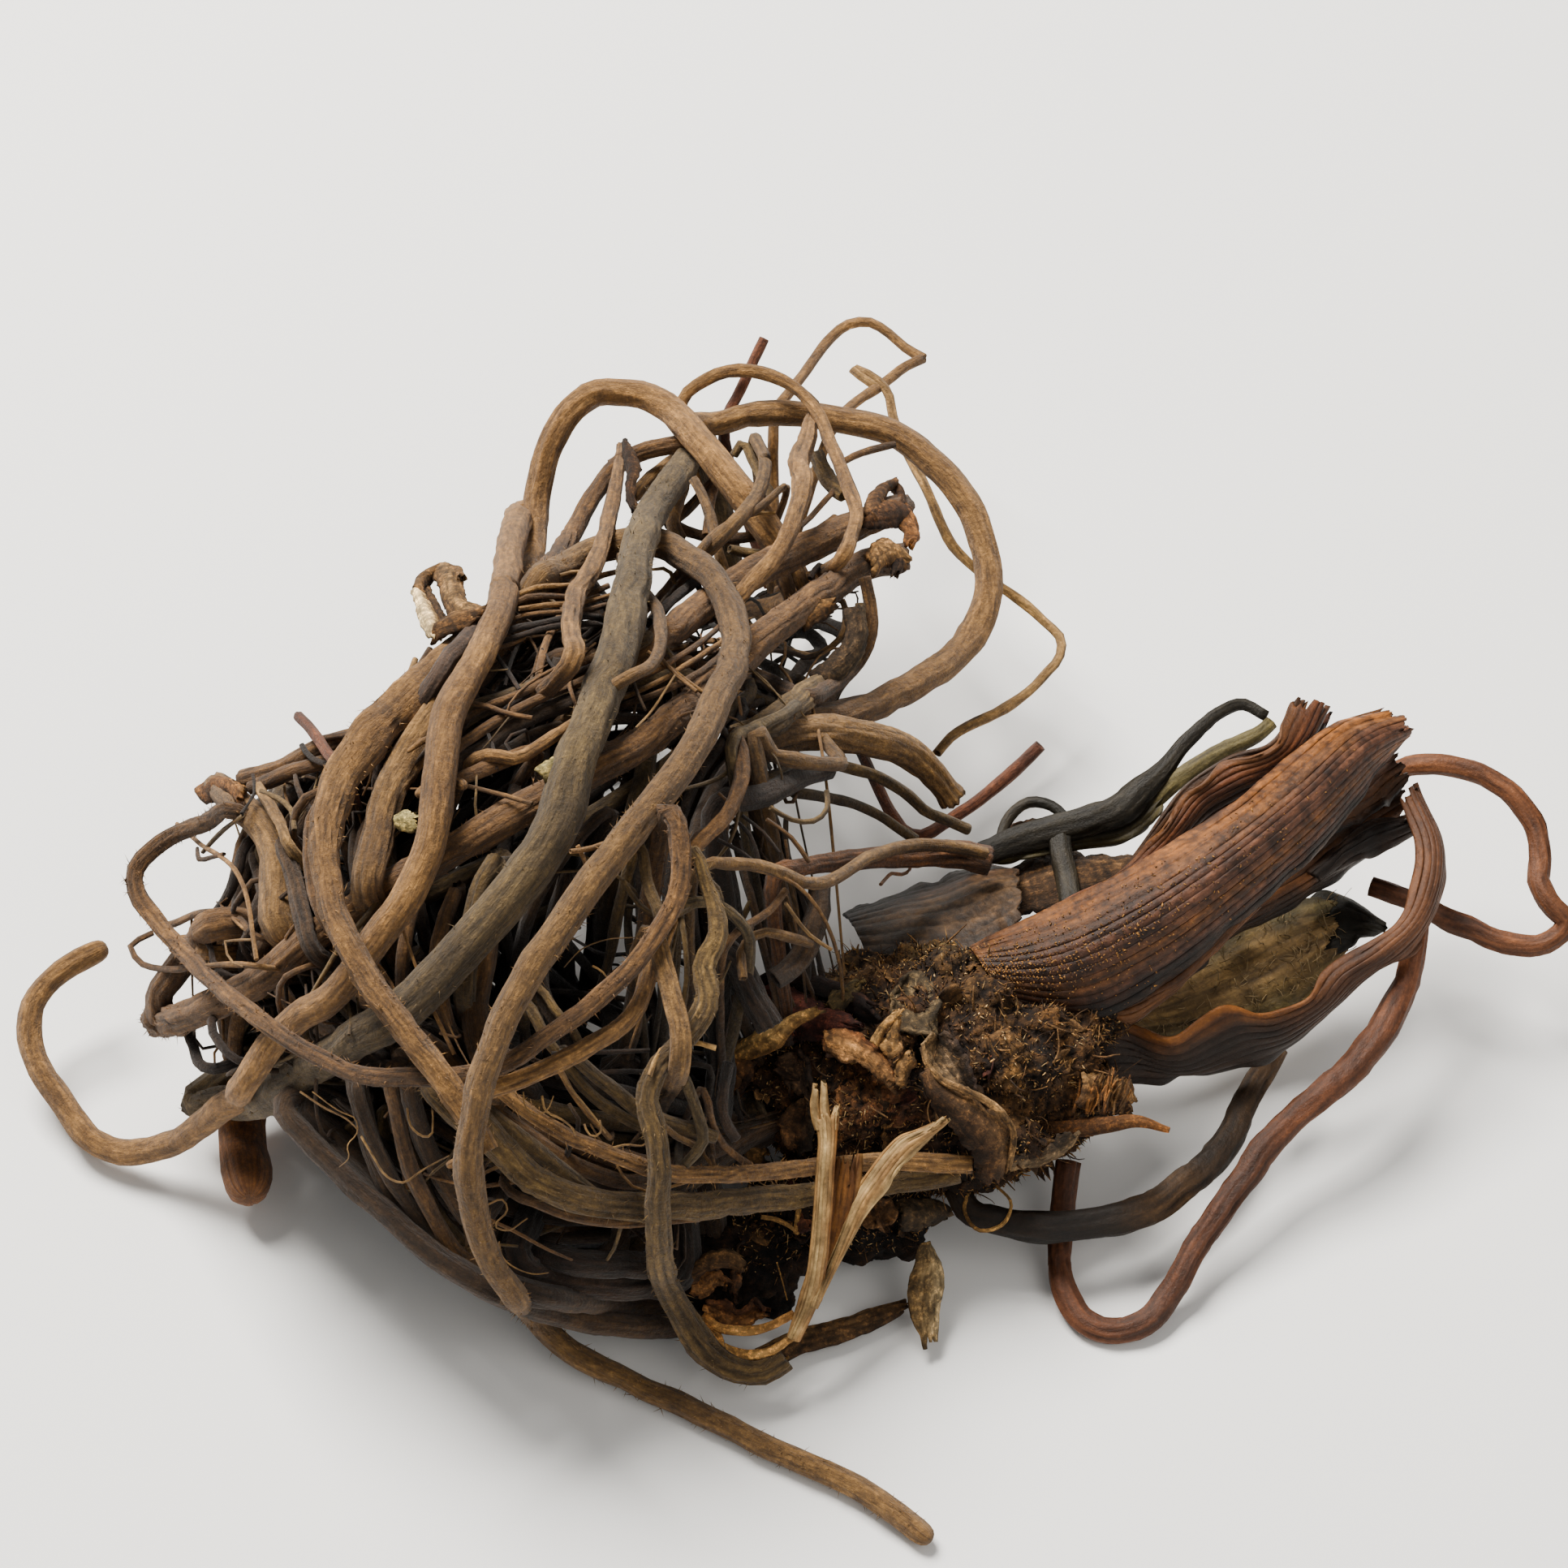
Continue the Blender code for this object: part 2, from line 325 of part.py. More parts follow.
def skin_point(across, down, lift, domes=TANGLE_DOMES):
    """The point where a sight line meets the nearest dome, or passes closest to one, moved by
    lift towards the eye."""
    ray = sight(across, down)
    meetings = []
    for centre, radii in domes:
        start = (EYE - np.array(centre)) / np.array(radii)
        way = ray / np.array(radii)
        a = way @ way
        b = start @ way
        c = start @ start - 1.0
        depth = b * b - a * c
        miss = max(0.0, -depth)
        meetings.append((miss, (-b - math.sqrt(max(depth, 0.0))) / a))
    return EYE + ray * (min(meetings)[1] - lift)


def smoothed(values, rounds=1):
    """Values along a line, each averaged with its neighbours."""
    for _ in range(rounds):
        inner = (values[:-2] + 2.0 * values[1:-1] + values[2:]) / 4.0
        values = np.concatenate((values[:1], inner, values[-1:]))
    return values


def placed(spec):
    """A root's marks as points, with the heights that come from the skin evened along the root."""
    heights = []
    for mark, lift in zip(spec["marks"], spread(spec["lifts"], len(spec["marks"]))):
        heights.append(mark[2] if len(mark) == 3 else skin_point(mark[0], mark[1], lift)[2])
    even = smoothed(np.array(heights, dtype=float), 2)
    points = []
    for mark, height in zip(spec["marks"], even):
        level = mark[2] if len(mark) == 3 else height
        points.append(seen(mark[0], mark[1], level))
    return np.array(points)


def curve_through(points, step=STEP):
    """Evenly spaced points on the smooth curve through the given points."""
    chords = np.linalg.norm(np.diff(points, axis=0), axis=1)
    marks = np.concatenate(((0.0,), np.cumsum(chords)))
    slopes = np.gradient(points, marks, axis=0, edge_order=1)
    count = max(3, int(round(marks[-1] / step)) + 1)
    where = np.linspace(0.0, marks[-1], count)
    left = np.clip(np.searchsorted(marks, where, side="right") - 1, 0, len(points) - 2)
    span = chords[left][:, None]
    t = ((where - marks[left]) / chords[left])[:, None]
    a = (2 * t**3 - 3 * t**2 + 1) * points[left]
    b = (t**3 - 2 * t**2 + t) * span * slopes[left]
    c = (3 * t**2 - 2 * t**3) * points[left + 1]
    d = (t**3 - t**2) * span * slopes[left + 1]
    return a + b + c + d


def spread(values, count):
    """Values given at even shares of a length, read at count even places."""
    return np.interp(np.linspace(0.0, 1.0, count), np.linspace(0.0, 1.0, len(values)), values)


def spine_frame(count=SPINE_POINTS):
    """The spine's points, with its sideways direction, and the tangle's half width and height."""
    points = curve_through(np.array(SPINE, dtype=float), 1.0)
    points = points[np.linspace(0, len(points) - 1, count).round().astype(int)]
    along = np.gradient(points, axis=0)
    side = np.cross(along, (0.0, 0.0, 1.0))
    side /= np.linalg.norm(side, axis=1)[:, None]
    return points, side, spread(SPINE_WIDTHS, count), spread(SPINE_HEIGHTS, count)


def filler(number, draw):
    """An inner root that leaves the rhizome and winds along the spine, as strands do in a loose rope."""
    points, side, widths, heights = spine_frame()
    last = int(len(points) * draw.uniform(*FILLER_REACH))
    share = np.linspace(0.0, 1.0, len(points))[:last]
    out = draw.uniform(0.62, 0.92) * np.clip(0.25 + share * 4.0, 0.0, 1.0)
    out *= 1.0 + 0.12 * np.sin(share * draw.uniform(9.0, 16.0) + draw.uniform(0.0, 6.3))
    outer = number % 2 == 0
    turn = draw.uniform(0.4, 1.6) * math.pi if outer else draw.uniform(0.0, 2.0) * math.pi
    turn = turn + draw.uniform(-1.6, 1.6) * share
    line = points[:last] + side[:last] * (out * widths[:last] * np.cos(turn))[:, None]
    line[:, 2] += out * heights[:last] * np.sin(turn)
    wide = draw.uniform(*FILLER_WIDTHS)
    widths = (wide * 1.1, wide, wide * 0.75)
    spec = root("filler_%02d" % number, (), widths, flat=0.85, start="rhizome", end="cut")
    return spec, curve_through(line[::4])


def laid_roots():
    """Every root's record with its line before the crossings are parted."""
    laid = []
    for spec in ROOTS:
        laid.append((spec, curve_through(placed(spec))))
    draw = random.Random(FILLER_SEED)
    for number in range(FILLERS):
        laid.append(filler(number, draw))
    return laid


def parted(laid):
    """The roots' lines with crossing roots moved apart: an outer root slides along its sight lines, so it
    is still seen where it was, and an inner one moves freely. Nothing sinks below the surface."""
    points = np.concatenate([line for spec, line in laid])
    sizes = [len(line) for spec, line in laid]
    owner = np.repeat(np.arange(len(laid)), sizes)
    half = np.concatenate([spread(spec["widths"], len(line)) * (1 + spec["flat"]) / 4 for spec, line in laid])
    traced = np.concatenate([np.full(len(line), bool(spec["marks"])) for spec, line in laid])
    eased = np.concatenate([ease_at_ends(spec, len(line)) for spec, line in laid])
    starts = np.cumsum([0] + sizes)
    near, far = (), ()
    for turn in range(RELAX_ROUNDS):
        if turn % 10 == 0:
            near, far = close_pairs(points, owner, PAIR_REACH)
        rays = points - EYE
        rays /= np.linalg.norm(rays, axis=1)[:, None]
        apart = points[near] - points[far]
        gap = np.linalg.norm(apart, axis=1) + 1e-9
        push = np.clip(half[near] + half[far] + CLEARANCE - gap, 0.0, 1.0) * 0.5
        shove = apart / gap[:, None] * (push * eased[near] * eased[far])[:, None]
        moves = np.zeros_like(points)
        np.add.at(moves, near, shove)
        np.add.at(moves, far, -shove)
        along = np.sum(moves * rays, axis=1)
        along = np.where(np.abs(along) > 1e-9, np.sign(along) * np.linalg.norm(moves, axis=1), 0.0)
        moves = np.where(traced[:, None], rays * along[:, None], moves)
        for i in range(len(laid)):
            part = slice(starts[i], starts[i + 1])
            moves[part] = smoothed(moves[part], 2)
        points = points + np.clip(moves, -LONGEST_MOVE, LONGEST_MOVE)
        points = above_surface(points, half, traced)
    return [(spec, points[starts[i]:starts[i + 1]]) for i, (spec, line) in enumerate(laid)]


def ease_at_ends(spec, count):
    """How far each point of a line takes part: none where it starts or ends inside another piece."""
    share = np.ones(count)
    if spec["start"] not in ("any", "cut"):
        share[:4] = 0.0
    if spec["end"] not in ("any", "cut"):
        share[-2:] = 0.0
    return share


def close_pairs(points, owner, reach):
    """Pairs of points of different roots that lie within reach."""
    near, far = [], []
    for i in range(0, len(points), 400):
        block = points[i:i + 400]
        gaps = np.linalg.norm(block[:, None] - points[None], axis=2)
        rows, columns = np.nonzero(gaps < reach)
        keep = (columns > rows + i) & (owner[columns] != owner[rows + i])
        near.append(rows[keep] + i)
        far.append(columns[keep])
    return np.concatenate(near), np.concatenate(far)


def above_surface(points, half, traced):
    """Points whose root would sink into the surface raised to lie on it."""
    low = half + 0.02
    rays = points - EYE
    raised = EYE + rays * ((low - EYE[2]) / rays[:, 2])[:, None]
    sunk = points[:, 2] < low
    lifted = np.where(traced[:, None], raised, np.column_stack((points[:, :2], low)))
    return np.where(sunk[:, None], lifted, points)


def nearest(line, point):
    """The point of a line nearest to a point."""
    return line[np.argmin(np.linalg.norm(line - point, axis=1))]


def direction(start, end):
    """Unit direction from one point to another."""
    return (end - start) / np.linalg.norm(end - start)


def run_in(end, before, target):
    """Points on the bend from a root's end, in its own direction, into the piece that it grows from."""
    reach = np.linalg.norm(target - end)
    way = direction(before, end) * reach * 0.5
    t = np.linspace(0.0, 1.0, max(3, int(reach / STEP) + 1))[1:, None]
    bend = (2 * t**3 - 3 * t**2 + 1) * end + (t**3 - 2 * t**2 + t) * way
    bend = bend + (3 * t**2 - 2 * t**3) * target + (t**3 - t**2) * (target - end)
    bend[:, 2] = np.maximum(bend[:, 2], LOWEST_RUN)
    return bend


def ways_in(spec, line, anchors):
    """Where a root's hidden ends can be run in: the gap, whether it is the start, and the point."""
    found = []
    for at_start, kind, end in ((True, spec["start"], line[0]), (False, spec["end"], line[-1])):
        if kind == "any":
            reachable = np.concatenate([points for wide, points in anchors.values() if wide >= STOUT])
        elif kind in anchors:
            reachable = anchors[kind][1]
        else:
            continue
        target = nearest(reachable, end)
        found.append((np.linalg.norm(target - end), at_start, target))
    return found


def joined(parts):
    """The lines, each with a hidden end run into the core, the rhizome or a root that is already joined
    to them. The root with the shortest way goes first, so that all of them hang together."""
    anchors = {"core": (STOUT, spine_frame()[0]), "rhizome": (STOUT, np.array(RHIZOME_HEART, dtype=float))}
    waiting = list(parts)
    whole = []
    while waiting:
        choices = []
        for i, (spec, line) in enumerate(waiting):
            choices += [(gap, i, at_start, target) for gap, at_start, target in ways_in(spec, line, anchors)]
        gap, i, at_start, target = min(choices, key=lambda choice: choice[:2])
        spec, line = waiting.pop(i)
        if at_start:
            line = np.concatenate((run_in(line[0], line[1], target)[::-1], line))
        else:
            line = np.concatenate((line, run_in(line[-1], line[-2], target)))
        anchors[spec["name"]] = (max(spec["widths"]), line)
        whole.append((spec, line))
    return whole


def thinned(line, slack):
    """The fewest points of a line that keep it within slack of itself."""
    if len(line) < 3:
        return list(range(len(line)))
    off = np.linalg.norm(np.cross(line - line[0], direction(line[0], line[-1])), axis=1)
    worst = int(np.argmax(off))
    if off[worst] <= slack or worst in (0, len(line) - 1):
        return [0, len(line) - 1]
    left = thinned(line[:worst + 1], slack)
    right = thinned(line[worst:], slack)
    return left + [worst + i for i in right[1:]]


def facing(line):
    """For each point of a line its direction, and the direction across it that faces the eye."""
    along = np.gradient(line, axis=0)
    along /= np.linalg.norm(along, axis=1)[:, None]
    normals = []
    last = None
    for point, way in zip(line, along):
        look = EYE - point
        look = look / np.linalg.norm(look)
        flat = look - way * (look @ way)
        if last is not None and np.linalg.norm(flat) < 0.35:
            flat = last - way * (last @ way)
        last = flat / np.linalg.norm(flat)
        normals.append(last)
    return along, np.array(normals)


def tube_mesh(name, line, widths, flat, sides):
    """A closed tube on a line, with an oval section and flat ends: a loft between unlike sections."""
    along, normals = facing(line)
    side = np.cross(along, normals)
    mesh = bmesh.new()
    rings = []
    for i, point in enumerate(line):
        ring = []
        for k in range(sides):
            angle = 2.0 * math.pi * (k + 0.5) / sides
            reach = side[i] * math.cos(angle) + normals[i] * math.sin(angle) * flat
            place = point + reach * widths[i] / 2.0
            ring.append(mesh.verts.new(Vector(place) * MM))
        rings.append(ring)
    for before, after in zip(rings, rings[1:]):
        for k in range(sides):
            j = (k + 1) % sides
            mesh.faces.new((before[k], before[j], after[j], after[k]))
    mesh.faces.new(rings[0][::-1])
    mesh.faces.new(rings[-1])
    return finished(name, mesh)


def finished(name, mesh):
    """A mesh object from a bmesh, in triangles with its faces pointing out."""
    bmesh.ops.recalc_face_normals(mesh, faces=mesh.faces)
    bmesh.ops.triangulate(mesh, faces=mesh.faces)
    data = bpy.data.meshes.new(name)
    mesh.to_mesh(data)
    mesh.free()
    return bpy.data.objects.new(name, data)


def root_tube(spec, line, slack, sides):
    """A root's tube with the fewest rings that keep its course, and no bend tighter than its width."""
    keep = thinned(line, slack)
    widths = spread(spec["widths"], len(line))[keep]
    course = line[keep]
    ways = np.gradient(course, axis=0)
    reach = np.linalg.norm(ways, axis=1)
    ways /= reach[:, None]
    bends = np.linalg.norm(np.gradient(ways, axis=0), axis=1)
    tightest = BEND_LIMIT * reach / np.maximum(bends, 1e-3)
    return tube_mesh(spec["name"], course, np.minimum(widths, tightest), spec["flat"], sides)


def lump(name, centre, radii, fineness, rough, floor):
    """A knobby blob, flat where it would sink below floor."""
    mesh = bmesh.new()
    bmesh.ops.create_icosphere(mesh, subdivisions=fineness, radius=1.0)
    for vertex in mesh.verts:
        way = vertex.co.copy()
        place = Vector([way[i] * radii[i] for i in range(3)])
        swell = noise.fractal(place * 0.16 + Vector(centre), 1.0, 2.0, 3)
        place += way * rough * swell
        place += Vector(centre)
        place.z = max(place.z, floor)
        vertex.co = place * MM
    return finished(name, mesh)


def rhizome_lumps(grown=0.0):
    """The rhizome's body, the lobe at its front foot and the collar that the leaf bases stand on."""
    body = [radius + grown for radius in RHIZOME_RADII]
    foot = [radius + grown for radius in FOOT_RADII]
    collar = [radius + grown for radius in COLLAR_RADII]
    return [
        lump("rhizome_body", RHIZOME_CENTRE, body, 4, 1.6, 0.0),
        lump("rhizome_foot", FOOT_CENTRE, foot, 2, 1.0, 0.3),
        lump("rhizome_collar", COLLAR_CENTRE, collar, 2, 0.8, 0.3),
    ]


def core_tube():
    """The tangle's dense middle, from which the hidden ends come out."""
    points, side, widths, heights = spine_frame(CORE_RINGS)
    share = spread(CORE_SHARE, len(points))
    tall = float(np.mean(np.array(SPINE_HEIGHTS) / np.array(SPINE_WIDTHS)))
    return tube_mesh("core", points, 2.0 * widths * share, tall, CORE_SIDES)


def scale_line(spec):
    """A rhizome scale's line from its marks and lifts."""
    dome = ((RHIZOME_CENTRE, RHIZOME_RADII),)
    points = [skin_point(across, down, lift, dome) for across, down, lift in spec["marks"]]
    return curve_through(np.array(points))


def marked(marks, step=STEP):
    """Points on the smooth curve through marks that all have heights."""
    return curve_through(np.array([seen(*mark) for mark in marks]), step)


def sheath(name, far, near, crown, rows, columns):
    """A leaf base: a sheet between its two edges, crowned towards the eye, with a thickness."""
    edges = []
    for marks in (far, near):
        line = marked(marks, 0.5)
        places = np.linspace(0, len(line) - 1, rows).round().astype(int)
        edges.append(line[places])
    across = edges[1] - edges[0]
    along = np.gradient(edges[0] + edges[1], axis=0)
    out = np.cross(along, across)
    out *= np.sign(np.sum(out * (EYE - edges[0]), axis=1))[:, None]
    out /= np.linalg.norm(out, axis=1)[:, None]
    mesh = bmesh.new()
    grid = []
    for i in range(rows):
        line = []
        for j in range(columns):
            share = j / (columns - 1)
            place = edges[0][i] + across[i] * share + out[i] * crown * math.sin(math.pi * share)
            line.append(mesh.verts.new(Vector(place) * MM))
        grid.append(line)
    for i in range(rows - 1):
        for j in range(columns - 1):
            mesh.faces.new((grid[i][j], grid[i][j + 1], grid[i + 1][j + 1], grid[i + 1][j]))
    sheet = finished(name, mesh)
    thick = sheet.modifiers.new("thickness", "SOLIDIFY")
    thick.thickness = LEAF_THICKNESS * MM
    thick.offset = 0.0
    return made_solid(sheet)


def strap(name, marks, widths, flat, sides=6):
    """A petiole or splinter: a tube through its marks."""
    line = marked(marks)
    keep = thinned(line, STRAP_SLACK)
    return tube_mesh(name, line[keep], spread(widths, len(line))[keep], flat, sides)


def made_solid(thing):
    """The thing with its modifiers applied, in place of the thing."""
    bpy.context.scene.collection.objects.link(thing)
    solid = applied(thing, thing.name)
    bpy.data.objects.remove(thing)
    return solid


def cleared(thing, name):
    """A leaf or petiole cut back where it meets the rhizome, by a copy of the rhizome grown by the gap."""
    for cutter in rhizome_lumps(LEAF_GAP):
        bpy.context.scene.collection.objects.link(cutter)
        bpy.context.scene.collection.objects.link(thing)
        cut = thing.modifiers.new("gap", "BOOLEAN")
        cut.operation = "DIFFERENCE"
        cut.object = cutter
        cut.solver = "MANIFOLD"
        left = applied(thing, name)
        bpy.data.objects.remove(thing)
        bpy.data.objects.remove(cutter)
        thing = left
    main_body(thing)
    thing.name = name
    return thing


def united(base, others, name):
    """The base joined with the others into one body by one Boolean union, and the others removed."""
    pile = bpy.data.collections.new(name + "_pieces")
    bpy.context.scene.collection.children.link(pile)
    bpy.context.scene.collection.objects.link(base)
    for piece in others:
        pile.objects.link(piece)
    union = base.modifiers.new("union", "BOOLEAN")
    union.operation = "UNION"
    union.operand_type = "COLLECTION"
    union.collection = pile
    union.solver = "MANIFOLD"
    whole = applied(base, name)
    for piece in others:
        bpy.data.objects.remove(piece)
    bpy.data.objects.remove(base)
    bpy.data.collections.remove(pile)
    return whole


def applied(thing, name):
    """A new object with a thing's modifiers applied."""
    graph = bpy.context.evaluated_depsgraph_get()
    data = bpy.data.meshes.new_from_object(thing.evaluated_get(graph))
    data.name = name
    return bpy.data.objects.new(name, data)


def main_body(thing):
    """Keeps the largest closed body of a mesh: loose scraps and sealed hollows go."""
    mesh = bmesh.new()
    mesh.from_mesh(thing.data)
    bodies = []
    left = set(mesh.verts)
    while left:
        body = set()
        edge = [left.pop()]
        while edge:
            vertex = edge.pop()
            body.add(vertex)
            for link in vertex.link_edges:
                other = link.other_vert(vertex)
                if other in left:
                    left.discard(other)
                    edge.append(other)
        bodies.append(body)
    bodies.sort(key=len)
    for body in bodies[:-1]:
        bmesh.ops.delete(mesh, geom=list(body), context="VERTS")
    bmesh.ops.triangulate(mesh, faces=mesh.faces)
    mesh.to_mesh(thing.data)
    mesh.free()


def material(name, colour, roughness):
    """A plain finish."""
    finish = bpy.data.materials.new(name)
    finish.use_nodes = True
    shader = finish.node_tree.nodes["Principled BSDF"]
    shader.inputs["Base Color"].default_value = (*colour, 1.0)
    shader.inputs["Roughness"].default_value = roughness
    shader.inputs["Metallic"].default_value = 0.0
    return finish


def rhizome_and_roots():
    """The rhizome with every root and scale joined to it."""
    body, *lobes = rhizome_lumps()
    pieces = lobes + [core_tube()]
    for spec, line in joined(parted(laid_roots())):
        slack = TRACED_SLACK if spec["marks"] else FILLER_SLACK
        pieces.append(root_tube(spec, line, slack, sides_for(max(spec["widths"]))))
    for spec, line in joined([(spec, scale_line(spec)) for spec in SCALES]):
        pieces.append(root_tube(spec, line, SCALE_SLACK, SCALE_SIDES))
    whole = united(body, pieces, "rhizome_and_roots")
    main_body(whole)
    whole.data.materials.append(material("root_bark", ROOT_BARK, BARK_ROUGHNESS))
    return whole


def sides_for(width):
    """The number of sides of a root's tube."""
    return next(sides for least, sides in SIDES_BY_WIDTH if width > least)


def clear_scene():
    for thing in list(bpy.data.objects):
        bpy.data.objects.remove(thing)


def leaf_bases():
    """The leaf bases and petioles, each cut clear of the rhizome."""
    things = []
    for name, far, near, crown, rows, columns, colour in SHEATHS:
        thing = sheath(name, far, near, crown, rows, columns)
        for base, marks, widths, flat in LEAF_PETIOLES:
            if base == name:
                thing = united(thing, [strap("petiole", marks, widths, flat)], name)
        things.append((thing, name, colour))
    things.append((dark_strip(), "leaf_strip_dark", LEAF_DARK))
    things.append((strap("low", LOW_PETIOLE, (2.0, 2.6, 2.6, 2.2, 1.6), 0.5), "petiole_low", PETIOLE_DARK))
    leaves = []
    for thing, name, colour in things:
        leaf = cleared(thing, name)
        leaf.data.materials.append(material(name, colour, LEAF_ROUGHNESS))
        leaves.append(leaf)
    return leaves


def dark_strip():
    """The narrow dark leaf, with the loop beside its foot and the stem that it stands on."""
    strip = strap("strip", DARK_STRIP, (1.8, 2.4, 2.6, 2.4, 1.4, 1.0, 0.9), 0.45)
    loop = strap("loop", DARK_STRIP_LOOP, (0.9, 0.9), 0.8)
    stem = strap("stem", DARK_STEM, (1.6, 1.8), 0.5)
    return united(strip, [loop, stem], "strip")


def root_core():
    """The split pale wood that stands up from the torn root."""
    tall = strap("tall", TALL_SPLINTER, (1.6, 1.4, 1.3, 1.3, 1.4, 0.9), 0.6, 5)
    slanted = strap("slanted", SLANTED_SPLINTER, (1.0, 1.5, 1.5, 1.6, 1.6, 0.7), 0.55, 5)
    core = united(tall, [slanted], "root_core_torn")
    main_body(core)
    core.data.materials.append(material("wood_core", CORE_PALE, CORE_ROUGHNESS))
    return core


def build():
    clear_scene()
    shelf = bpy.data.collections.new(PART_NAME)
    bpy.context.scene.collection.children.link(shelf)
    for piece in [rhizome_and_roots(), root_core()] + leaf_bases():
        shelf.objects.link(piece)


build()
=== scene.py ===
import math
import random

import bmesh
import bpy
import numpy as np
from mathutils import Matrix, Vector, noise


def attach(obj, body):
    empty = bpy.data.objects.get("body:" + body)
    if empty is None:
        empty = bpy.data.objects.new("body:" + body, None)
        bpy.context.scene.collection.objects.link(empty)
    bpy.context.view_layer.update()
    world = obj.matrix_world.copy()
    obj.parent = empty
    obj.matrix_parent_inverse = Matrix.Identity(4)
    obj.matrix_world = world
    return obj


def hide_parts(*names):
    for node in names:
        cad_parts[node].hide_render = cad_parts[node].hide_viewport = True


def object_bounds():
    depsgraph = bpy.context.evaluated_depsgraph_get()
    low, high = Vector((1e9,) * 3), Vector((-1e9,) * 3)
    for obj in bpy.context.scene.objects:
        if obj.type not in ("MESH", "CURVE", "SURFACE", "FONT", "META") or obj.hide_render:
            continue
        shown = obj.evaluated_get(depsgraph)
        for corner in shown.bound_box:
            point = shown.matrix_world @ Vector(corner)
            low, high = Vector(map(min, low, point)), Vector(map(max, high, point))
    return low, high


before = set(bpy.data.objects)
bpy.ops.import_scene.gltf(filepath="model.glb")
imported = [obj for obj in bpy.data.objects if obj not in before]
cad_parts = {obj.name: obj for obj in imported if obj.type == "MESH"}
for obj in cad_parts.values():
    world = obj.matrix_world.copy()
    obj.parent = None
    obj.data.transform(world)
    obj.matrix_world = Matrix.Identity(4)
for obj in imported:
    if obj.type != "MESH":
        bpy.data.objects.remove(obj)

cad_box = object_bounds()

MM = 0.001

# Sighting frame, as in the part's source. A mark is (across, down, height): across and down on a square frame
# before EYE, and the height above the surface. A mark with no height lies on the tangle's skin. Lengths are mm.
AIM = np.array((-9.2, 17.2, 20.0))
EYE_DISTANCE = 280.0
EYE_ELEVATION = math.radians(50.0)
FRAME_SIDE = 1932.0
LENS = 87.0
SENSOR = 36.0
SIGHT_LENGTH = FRAME_SIDE * LENS / SENSOR
ACROSS = np.array((1.0, 0.0, 0.0))
DOWN = np.array((0.0, -math.sin(EYE_ELEVATION), -math.cos(EYE_ELEVATION)))
AHEAD = np.array((0.0, math.cos(EYE_ELEVATION), -math.sin(EYE_ELEVATION)))
EYE = AIM - EYE_DISTANCE * AHEAD

# Domes that stand for the tangle and the rhizome: centre and radii
TANGLE_DOMES = (((-27.0, 9.0, 12.0), (27.0, 30.0, 25.0)), ((-14.0, 37.5, 9.5), (19.0, 22.0, 17.5)))
RHIZOME_CENTRE = (1.0, -1.5, 8.6)
COLLAR_CENTRE = (11.0, 3.0, 12.0)
COLLAR_RADII = (6.5, 5.0, 4.0)
BODY_RADII = (13.6, 8.3, 8.3)
BODY_FOOT = (-5.5, -9.6, 4.0)
BODY_FOOT_RADII = (7.0, 4.2, 3.7)
BODY_DOMES = ((RHIZOME_CENTRE, BODY_RADII), (BODY_FOOT, BODY_FOOT_RADII))
FRONT_DOMES = TANGLE_DOMES + BODY_DOMES
RHIZOME_HEART = ((-9, -3, 8), (-5, -3, 8), (-1, -2, 8), (3, -1, 8), (7, -1, 8), (11, -1, 8))
# Line through the middle of the tangle, with half its width and height along it
SPINE = ((-4, -3, 9), (-16, -8, 11), (-30, -4, 13), (-38, 8, 15), (-36, 22, 15.5), (-26, 35, 13.5), (-10, 44, 10.5))
SPINE_WIDTHS = (6, 9, 12, 14, 14, 12, 9)
SPINE_HEIGHTS = (7, 10, 13, 16, 16, 12, 8)
SPINE_POINTS = 60
# Spacing of a line's points, and what parts two roots that cross
STEP = 2.0
CLEARANCE = 0.4
RELAX_ROUNDS = 60
PAIR_REACH = 6.0
LONGEST_MOVE = 0.6
EVENING_TURNS = 5
# How crumbly torn sheets are, and which stay smooth
SCALE_CRUMBLE = 0.2
# noise_vector starts from the clock, unless it is given a seed
CRUMBLE_SEED = 11
SMOOTH_CRUMBLE = 0.05
HUSK_CRUMBLE = 0.1
SMOOTH_SHEETS = ("pale_bract", "lip_rim", "gold_stalk", "hanging_chip", "purple_rim", "floor_strip")
# Roots that reach above this mark are seen against the light and get no painted shade
LATTICE_FOOT = 690
# Roots with short hairs, and the hairs on a millimetre
FUZZY = ("lower_strap", "upper_strap", "torn_strap", "left_loop", "front_strap", "diagonal", "tailed", "grey_thick")
FUZZ_PER_MM = 6
# How fine roots are meshed: the least width, the sides and the step, with the last one for the thinnest
ROOT_MESHES = ((2.0, 30, 0.85), (1.3, 22, 0.85), (0.7, 13, 0.9), (0.0, 7, 1.0))
# Shares of a mesh's sides, step and a root's width: inner strands, and roots that only fill
STRAND_MESH = (0.52, 1.4)
FILLING_MESH = (0.4, 2.0, 0.65)
# Hidden ends run no lower than this
LOWEST_RUN = 1.2
# Inner roots that no mark traces
FILLERS = 18
FILLER_SEED = 11
FILLER_WIDTHS = (1.3, 2.1)
FILLER_REACH = (0.62, 1.0)


def rgb(red, green, blue):
    """A colour given in display values from 0 to 255, as light."""
    part = np.array((red, green, blue)) / 255.0
    return np.where(part <= 0.04045, part / 12.92, ((part + 0.055) / 1.055) ** 2.4)


